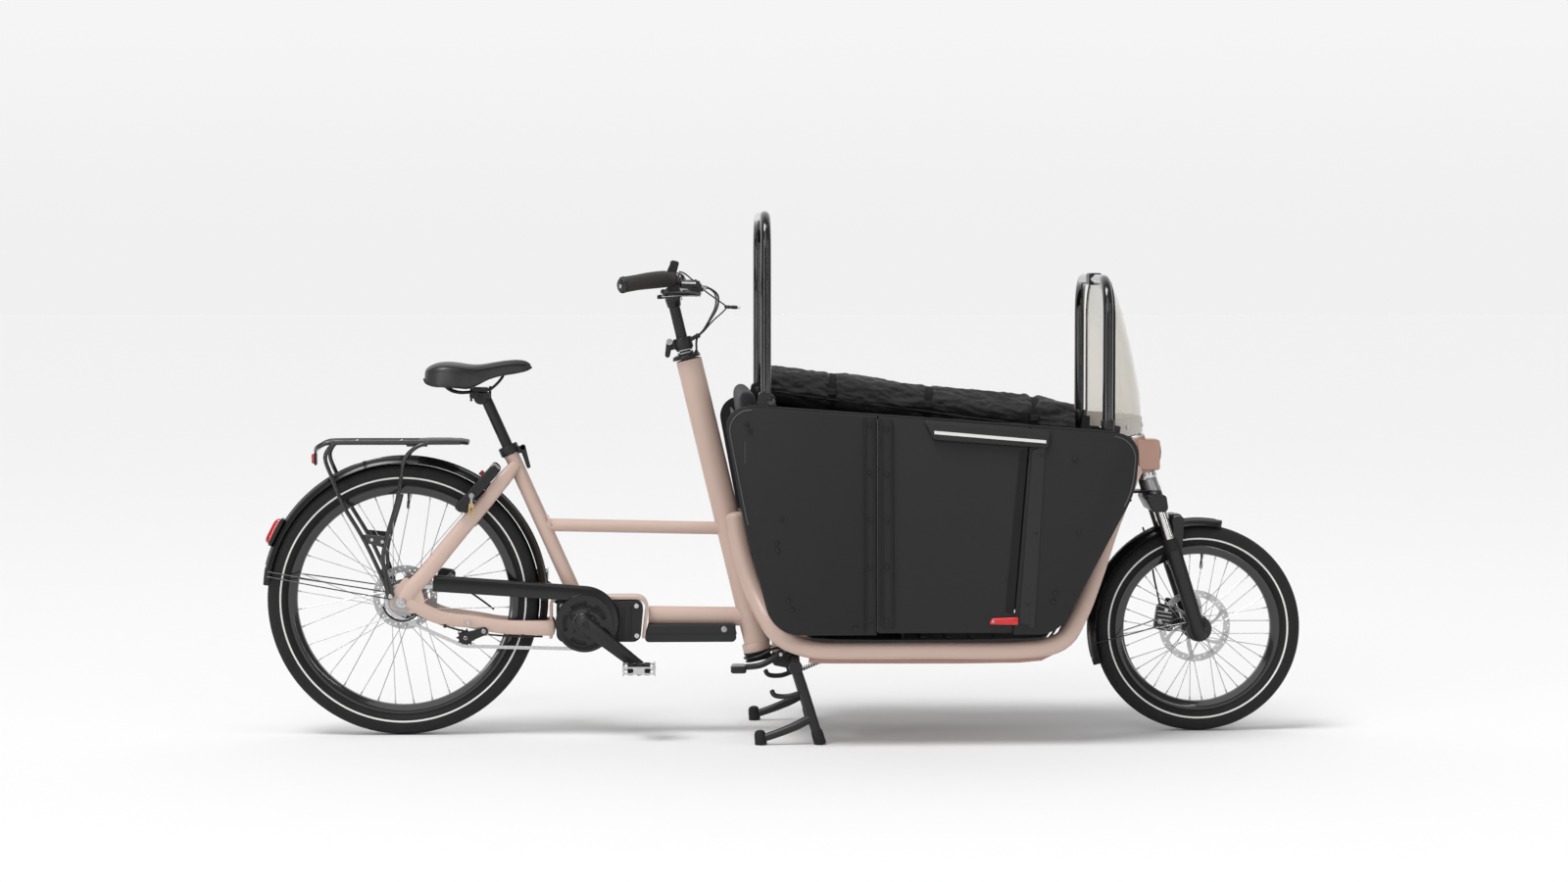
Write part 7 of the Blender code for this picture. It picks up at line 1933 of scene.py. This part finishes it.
def lines():
    """The two brake hoses and the display's cable, each running from the handlebar down to the steering column."""

    def line(name, route, radius, node, finish="hose"):
        path = smooth(route, 8)
        shape = tube(path, radius, sides=14)
        mesh = bpy.data.meshes.new(name)
        shape.to_mesh(mesh)
        shape.free()
        mesh.shade_smooth()
        mesh.materials.append(LOOKS[finish])
        obj = bpy.data.objects.new(name, mesh)
        SCENE.collection.objects.link(obj)
        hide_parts(node)
        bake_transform(obj)
        return obj

    for name, side in (("right", -1), ("left", 1)):
        line(name + "_hose_line", [
            (-0.1998, 0.183 * side, 1.111), (-0.186, 0.182 * side, 1.108), (-0.168, 0.158 * side, 1.092),
            (-0.168, 0.100 * side, 1.062), (-0.184, 0.040 * side, 1.030), (-0.200, 0.012 * side, 1.004),
            tuple(steer_at(0.975, 0.0360, 0.0080 * side)), tuple(steer_at(0.9435, 0.0270, 0.0085 * side))], 0.0025,
            name + "_brake_hose")
    line("display_line", [
        (-0.2620, -0.127, 1.150), (-0.245, -0.124, 1.143), (-0.205, -0.105, 1.108), (-0.170, -0.072, 1.082),
        (-0.146, -0.040, 1.064), (-0.150, -0.020, 1.052), (-0.176, -0.006, 1.028), (-0.198, 0.0, 1.003),
        tuple(steer_at(0.975, 0.0370)), tuple(steer_at(0.9435, 0.0280))], 0.0018, "display_cable")
    plug = turned([(0.0022, 0.0), (0.0038, 0.002), (0.0044, 0.006), (0.0044, 0.014), (0.0036, 0.015), (0.0036, 0.017),
                   (0.0046, 0.018), (0.0046, 0.028), (0.0034, 0.033)], (-0.149, -0.036, 1.0625), (1, -0.1, -0.05), sides=28)
    piece("cable_plug", plug, "satin_black", "handlebar")
    piece("cable_plug_tip", turned([(0.0030, 0.0), (0.0036, 0.001), (0.0036, 0.005), (0.0026, 0.0065)],
                                   Vector((-0.149, -0.036, 1.0625)) + Vector((1, -0.1, -0.05)).normalized() * 0.0325,
                                   (1, -0.1, -0.05), sides=24), "reflective", "handlebar")


def under_cable():
    side_run = [(0.834, 0.030, 0.601), (0.822, 0.036, 0.575), (0.790, 0.044, 0.508), (0.760, 0.048, 0.420),
                (0.715, 0.044, 0.325), (0.684, 0.038, 0.250), (0.645, 0.0345, 0.218), (0.560, 0.0330, 0.2145),
                (0.300, 0.0330, 0.2145), (0.060, 0.0330, 0.2145), (-0.018, 0.0335, 0.2145), (-0.040, 0.0365, 0.2060)]
    loop = []
    for k in range(9):
        turn = math.radians(90 - 22.5 * k)
        loop.append(steer_at(0.194, -0.0355 * math.cos(turn), 0.0355 * math.sin(turn)))
    route = [Vector(p) for p in side_run] + loop + [Vector((x, -y, z)) for x, y, z in reversed(side_run)]
    path = smooth(route, 4)
    made = piece("steering_cable_line", tube(path, 0.0030, sides=14), "hose", "frame", ["steering_cable"])
    clips = [box((x - 0.005, sorted((0.0285 * s, 0.0375 * s))[0], 0.2095), (x + 0.005, sorted((0.0285 * s, 0.0375 * s))[1],
                                                                            0.2190))
             for x in (0.10, 0.30, 0.50) for s in (-1, 1)]
    piece("steering_cable_clips", join(*clips), "black_plastic", "frame", bevel=0.001)
    tips = []
    for s in (-1, 1):
        a = Vector((0.834, 0.030 * s, 0.601))
        b = Vector((0.822, 0.036 * s, 0.575))
        tips.append(tube([a, a.lerp(b, 0.8)], [0.0046, 0.0042], sides=16, ends=0.001))
    piece("steering_cable_tips", join(*tips), "silver", "frame")


# Fork


def fork():
    crown_side = rounded([(0.9125, 0.553, 0.010), (0.9530, 0.553, 0.012), (0.9460, 0.596, 0.010), (0.8900, 0.596, 0.010)])
    levels = ((-0.0800, 0.004), (-0.0770, 0.0), (0.0770, 0.0), (0.0800, 0.004))
    cx, cz = 0.925, 0.575
    crown = loft([[(cx + (x - cx) * (1 - d * 12), y, cz + (z - cz) * (1 - d * 12)) for x, z in crown_side]
                  for y, d in levels])
    steerer = turned_on(fork_at, FORK_LEAN, [(0.0250, 0.583), (0.0250, 0.6060), (0.0235, 0.6120), (0.0235, 0.6290),
                                             (0.0215, 0.6330), (0.0148, 0.6335), (0.0148, 0.7375), (0.0200, 0.7380),
                                             (0.0205, 0.7425), (0.0180, 0.7440)], 48)
    piece("crown", crown, "satin_black", "fork", ["fork_crown"], bevel=0.0040, angle=60)
    piece("steerer", steerer, "dull_steel", "fork")
    wing = [loft([[(x, y, z) for x, y in rounded([(0.852, -0.043, 0.012), (0.8960, -0.030, 0.010), (0.930, -0.024, 0.010),
                                                  (0.930, 0.024, 0.010), (0.8960, 0.030, 0.010), (0.852, 0.043, 0.012)])]
                  for z in (0.5975, 0.6045)])]
    drum = arc_shell(Vector((0.918, 0, 0.601)), [(0.0560, -0.0340), (0.0660, -0.0340), (0.0660, -0.0280), (0.0560, -0.0280)],
                     182, 204, 10)
    drum2 = arc_shell(Vector((0.918, 0, 0.601)), [(0.0560, 0.0280), (0.0660, 0.0280), (0.0660, 0.0340), (0.0560, 0.0340)],
                      182, 204, 10)
    piece("cable_arm", join(*wing, drum, drum2), "satin_black", "fork", bevel=0.0015)
    piece("cable_arm_bolts", join(*[bolt((0.868, 0.030 * s, 0.6045), (0, 0, 1), 0.0052, 0.0040) for s in (-1, 1)],
                                  bolt((0.936, 0, 0.575), (1, 0, 0.3), 0.0060, 0.0034)), "silver", "fork")
    tubes_, caps, seals, legs, dark = [], [], [], [], []
    for s in (-1, 1):
        y = 0.060 * s
        place = (lambda q: lambda z, ahead=0.0: fork_at(z, ahead, q))(y)
        tubes_.append(turned([(0.0150, 0.0), (0.0150, 0.215)], fork_at(0.380, 0, y), up_line(FORK_LEAN), sides=44))
        caps.append(turned_on(place, FORK_LEAN, [(0.0172, 0.5900), (0.0180, 0.5925), (0.0180, 0.6000), (0.0150, 0.6035),
                                                 (0.0060, 0.6040)], 36))
        seals.append(turned_on(place, FORK_LEAN, [(0.0160, 0.4860), (0.0185, 0.4840), (0.0205, 0.4740), (0.0212, 0.4640),
                                                  (0.0212, 0.4580), (0.0200, 0.4560)], 44))
        legs.append(turned_on(place, FORK_LEAN, [(0.0130, 0.2360), (0.0175, 0.2420), (0.0190, 0.2600), (0.0180, 0.2800),
                                                 (0.0186, 0.3200), (0.0196, 0.4000), (0.0202, 0.4580)], 44))
        low, high = sorted((0.0395 * s, 0.0640 * s))
        legs.append(turned([(0.0240, low), (0.0305, low + 0.004), (0.0320, low + 0.010), (0.0320, high - 0.006),
                            (0.0285, high), (0.0180, high + 0.0005 * s)], (FRONT_AXLE.x - 0.002, 0, FRONT_AXLE.z + 0.001),
                           sides=48))
        dark.append(turned([(0.0135, 0.0), (0.0135, 0.0030), (0.0105, 0.0050), (0.0060, 0.0050), (0.0056, 0.0020)],
                           (FRONT_AXLE.x, 0.0640 * s, FRONT_AXLE.z), (0, s, 0), sides=32))
        legs.append(prism(rounded([(0.9660, 0.4350, 0.006), (0.9860, 0.4350, 0.008), (0.9930, 0.5425, 0.010),
                                   (0.9650, 0.5425, 0.010)]), *sorted((0.0440 * s, 0.0690 * s))))
    piece("stanchion_tubes", join(*tubes_), "stanchion", "fork")
    piece("stanchion_caps", join(*caps), "satin_black", "fork")
    piece("fork_seals", join(*seals), "rubber", "fork_slider")
    arch = []
    for k in range(21):
        turn = math.pi * k / 20
        arch.append((0.9800 - 0.0040 * math.sin(turn), -0.0560 * math.cos(turn), 0.5150 + 0.0180 * math.sin(turn) ** 0.6))
    legs.append(tube(arch, 0.0125, sides=24, squash=0.62))
    piece("fork_legs", join(*legs), "satin_black", "fork_slider", ["fork_lowers"], bevel=0.0020, angle=50)
    piece("axle_caps", join(*dark), "dull_steel", "fork_slider")
    axle = turned([(0.0055, -0.062), (0.0055, 0.062)], FRONT_AXLE, sides=28)
    piece("front_axle", axle, "dull_steel", "fork_slider")
    bracket = prism(rounded([(0.9560, 0.500, 0.004), (0.9930, 0.500, 0.004), (0.9930, 0.5440, 0.006), (0.9560, 0.5440,
                             0.006)]), -0.0240, 0.0240)
    piece("front_guard_bracket", bracket, "satin_black", "fork_slider", bevel=0.002)
    piece("front_guard_bolts", join(*[bolt((0.9930, y, 0.530), (1, 0, 0), 0.0045, 0.0030) for y in (-0.014, 0.014)]),
          "silver", "fork_slider")
    guard()
    caliper_front()


def guard():
    section = guard_section(0.2745, 0.0330, 0.0024)
    sections = []
    for k in range(71):
        degrees = 77 + (197 - 77) * k / 70
        turn = math.radians(degrees)
        narrow = 1.0
        if degrees < 84:
            narrow = 1 - 0.45 * ((84 - degrees) / 7) ** 2
        lift = 0.0012 * max(0.0, (82 - degrees) / 5)
        sections.append([(FRONT_AXLE.x + (r + lift) * math.cos(turn), y * narrow, FRONT_AXLE.z + (r + lift) * math.sin(turn))
                         for r, y in section])
    piece("front_guard", loft(sections), "guard_plastic", "fork_slider", ["front_mudguard"], angle=60)
    flap = []
    for k in range(9):
        turn = math.radians(196.5 + 3.5 * k / 8)
        narrow = 1 - 0.5 * (k / 8) ** 2
        flap.append([(FRONT_AXLE.x + r * math.cos(turn), y * narrow, FRONT_AXLE.z + r * math.sin(turn))
                     for r, y in guard_section(0.2752, 0.0330, 0.0024)])
    piece("front_guard_flap", loft(flap), "rubber", "fork_slider", angle=60)
    lines_ = [arc_shell(FRONT_AXLE, [(0.2741, y - 0.0012), (0.2753, y), (0.2741, y + 0.0012)], 80, 196, 70)
              for y in (-0.0085, 0.0085)]
    piece("front_guard_lines", join(*lines_), "gloss_black", "fork_slider", angle=70)
    wires = []
    for s in (-1, 1):
        end = Vector((FRONT_AXLE.x + 0.268 * math.cos(math.radians(188)), 0.0330 * s,
                      FRONT_AXLE.z + 0.268 * math.sin(math.radians(188))))
        wires.append(tube(smooth([(0.985, 0.0640 * s, 0.290), (0.900, 0.0560 * s, 0.258), end], 6), 0.0015, sides=10))
    piece("front_guard_stays", join(*wires), "gloss_black", "fork_slider")


def caliper_front():
    corners = [(0.932, 0.252, 0.008), (0.978, 0.244, 0.008), (0.988, 0.302, 0.010), (0.942, 0.318, 0.010)]
    halves = [prism(rounded(corners), 0.0240, 0.0318), prism(rounded(corners), 0.0370, 0.0545),
              prism(rounded([(0.934, 0.262, 0.004), (0.946, 0.258, 0.004), (0.954, 0.308, 0.004), (0.941, 0.312, 0.004)]),
                    0.0310, 0.0375)]
    piece("front_caliper_body", join(*halves), "satin_black", "fork_slider", ["front_brake_caliper"], bevel=0.0025)
    piece("front_caliper_mount", prism(rounded([(0.960, 0.245, 0.006), (1.008, 0.262, 0.006), (0.985, 0.325, 0.006),
                                                (0.962, 0.330, 0.006)]), 0.0440, 0.0520), "satin_black", "fork_slider",
          bevel=0.002)
    piece("front_caliper_bolts", join(bolt((0.946, 0.0240, 0.272), (0, -1, 0), 0.0052, 0.0040),
                                      bolt((0.962, 0.0240, 0.300), (0, -1, 0), 0.0052, 0.0040),
                                      bolt((0.972, 0.0545, 0.262), (0, 1, 0), 0.0048, 0.0035),
                                      bolt((0.955, 0.0545, 0.302), (0, 1, 0), 0.0048, 0.0035)), "silver", "fork_slider")
    fins = [prism(rounded([(0.940, z, 0.001), (0.976, z - 0.006, 0.001), (0.976, z - 0.003, 0.001), (0.940, z + 0.003,
                           0.001)]), 0.0225, 0.0250) for z in (0.266, 0.276, 0.286, 0.296)]
    piece("front_caliper_fins", join(*fins), "dull_steel", "fork_slider")
    route = [(0.950, 0.046, 0.308), (0.945, 0.054, 0.335), (0.936, 0.062, 0.380), (0.928, 0.066, 0.430),
             (0.916, 0.068, 0.480), (0.908, 0.068, 0.505)]
    path = smooth(route, 6)
    made = piece("front_caliper_hose", tube(path, 0.0025, sides=14), "hose", "fork_slider")


# Stand


def stand():
    px, pz = STAND_PIVOT.x, STAND_PIVOT.z
    metal = [turned([(0.0100, -0.247), (0.0100, 0.247)], STAND_PIVOT, sides=32)]
    rubber = []
    for s in (-1, 1):
        y = STAND_Y * s
        front = [(px, y, pz), (0.036, y, 0.138), (0.052, y, 0.088), (0.0655, y, 0.044), (0.0765, y, 0.012)]
        metal.append(tube(smooth(front, 5), 0.0125, sides=28, ends=0.004))
        rear = [(0.057, y, 0.066), (0.020, y, 0.046), (-0.025, y, 0.028), (-0.056, y, 0.0175)]
        metal.append(tube(smooth(rear, 5), spread([0.0115, 0.0110, 0.0100, 0.0095], 5), sides=24))
        metal.append(turned([(0.0150, -0.0140), (0.0165, -0.0120), (0.0165, 0.0120), (0.0150, 0.0140)], (px, y, pz),
                            sides=32))
        rubber.append(turned([(0.0140, 0.0), (0.0150, 0.003), (0.0148, 0.024), (0.0140, 0.034), (0.0130, 0.036)],
                             (0.0795, y, 0.0), up_line(-0.0 + 0.30), sides=36))
        rubber.append(turned([(0.0140, 0.0), (0.0150, 0.003), (0.0140, 0.026), (0.0115, 0.033), (0.0060, 0.036)],
                             (-0.0655, y, 0.0), (-0.10, 0, 1), sides=32))
        hook = smooth([(0.030, y - 0.010 * s, 0.125), (0.000, y - 0.016 * s, 0.116), (-0.030, y - 0.018 * s, 0.118),
                       (-0.040, y - 0.018 * s, 0.132)], 5)
        metal.append(tube(hook, 0.0062, sides=18, ends=0.003))
    trimmed = [combine(shape, cut=[box((-0.3, -0.5, -0.1), (0.3, 0.5, 0.0))]) for shape in rubber]
    piece("stand_tubes", join(*metal), "satin_black", "stand", ["stand"], angle=50)
    piece("stand_feet", join(*trimmed), "rubber", "stand", bevel=0.0010)
    cams = [prism(rounded([(px - 0.016, pz - 0.030, 0.008), (px + 0.020, pz - 0.034, 0.008), (px + 0.016, pz + 0.010, 0.008),
                           (px - 0.014, pz + 0.010, 0.008)]), y, y + 0.006) for y in (-0.075, -0.040, 0.034, 0.069)]
    piece("stand_cams", join(*cams), "satin_black", "stand", bevel=0.0015)
    spring = []
    for k in range(120):
        part = k / 119
        turn = 2 * math.pi * 11 * part
        centre = Vector((px + 0.022, -0.045, pz - 0.026)).lerp(Vector((0.108, -0.045, 0.1900)), part)
        spring.append(centre + Vector((0.0045 * math.cos(turn) * 0.4, 0.0060 * math.sin(turn), 0.0060 * math.cos(turn))))
    piece("stand_spring", tube(spring, 0.0012, sides=8), "dark_bolt", "frame")
    plates = [prism(rounded([(-0.030, 0.176, 0.008), (0.010, 0.168, 0.008), (0.016, 0.207, 0.003), (-0.034, 0.207, 0.003)]),
                    y, y + 0.005) for y in (-0.076, -0.066)]
    piece("stand_latch_plates", join(*plates), "satin_black", "frame", bevel=0.001)
    boss = turned([(0.0095, -0.0105), (0.0105, -0.0090), (0.0105, 0.0090), (0.0095, 0.0105)], STAND_PEDAL, sides=32)
    arm_ = tube(smooth([STAND_PEDAL, (-0.036, -0.085, 0.190), (-0.066, -0.085, 0.1765), (-0.112, -0.085, 0.172)], 6),
                spread([0.0080, 0.0080, 0.0078, 0.0072], 6), sides=24, ends=0.003)
    piece("stand_pedal_arm", join(boss, arm_), "satin_black", "stand_pedal", ["stand_pedal"], angle=50)
    base = loft([[(x, y, z) for x, y in rounded([(-0.1350 + d, -0.1050 + d, 0.006), (-0.0970 - d, -0.1050 + d, 0.006),
                                                 (-0.0970 - d, -0.0650 - d, 0.006), (-0.1350 + d, -0.0650 - d, 0.006)])]
                 for z, d in ((0.1585, 0.004), (0.1610, 0.0), (0.1735, 0.0), (0.1755, 0.002))])
    top = loft([[(x, y, z) for x, y in rounded([(-0.1325 + d, -0.1025 + d, 0.005), (-0.0995 - d, -0.1025 + d, 0.005),
                                                (-0.0995 - d, -0.0675 - d, 0.005), (-0.1325 + d, -0.0675 - d, 0.005)])]
                for z, d in ((0.1765, 0.0), (0.1785, 0.0), (0.1795, 0.0015))])
    piece("stand_pedal_base", base, "black_plastic", "stand_pedal")
    piece("stand_pedal_pad", top, "pale_grey", "stand_pedal")
    ribs = [tube([(x, -0.100, 0.1797), (x, -0.070, 0.1797)], 0.0011, sides=8) for x in (-0.128, -0.122, -0.116, -0.110, -0.104)]
    piece("stand_pedal_ribs", join(*ribs), "pale_grey", "stand_pedal")


seat()
column()
bars()
lines()
under_cable()
fork()
stand()
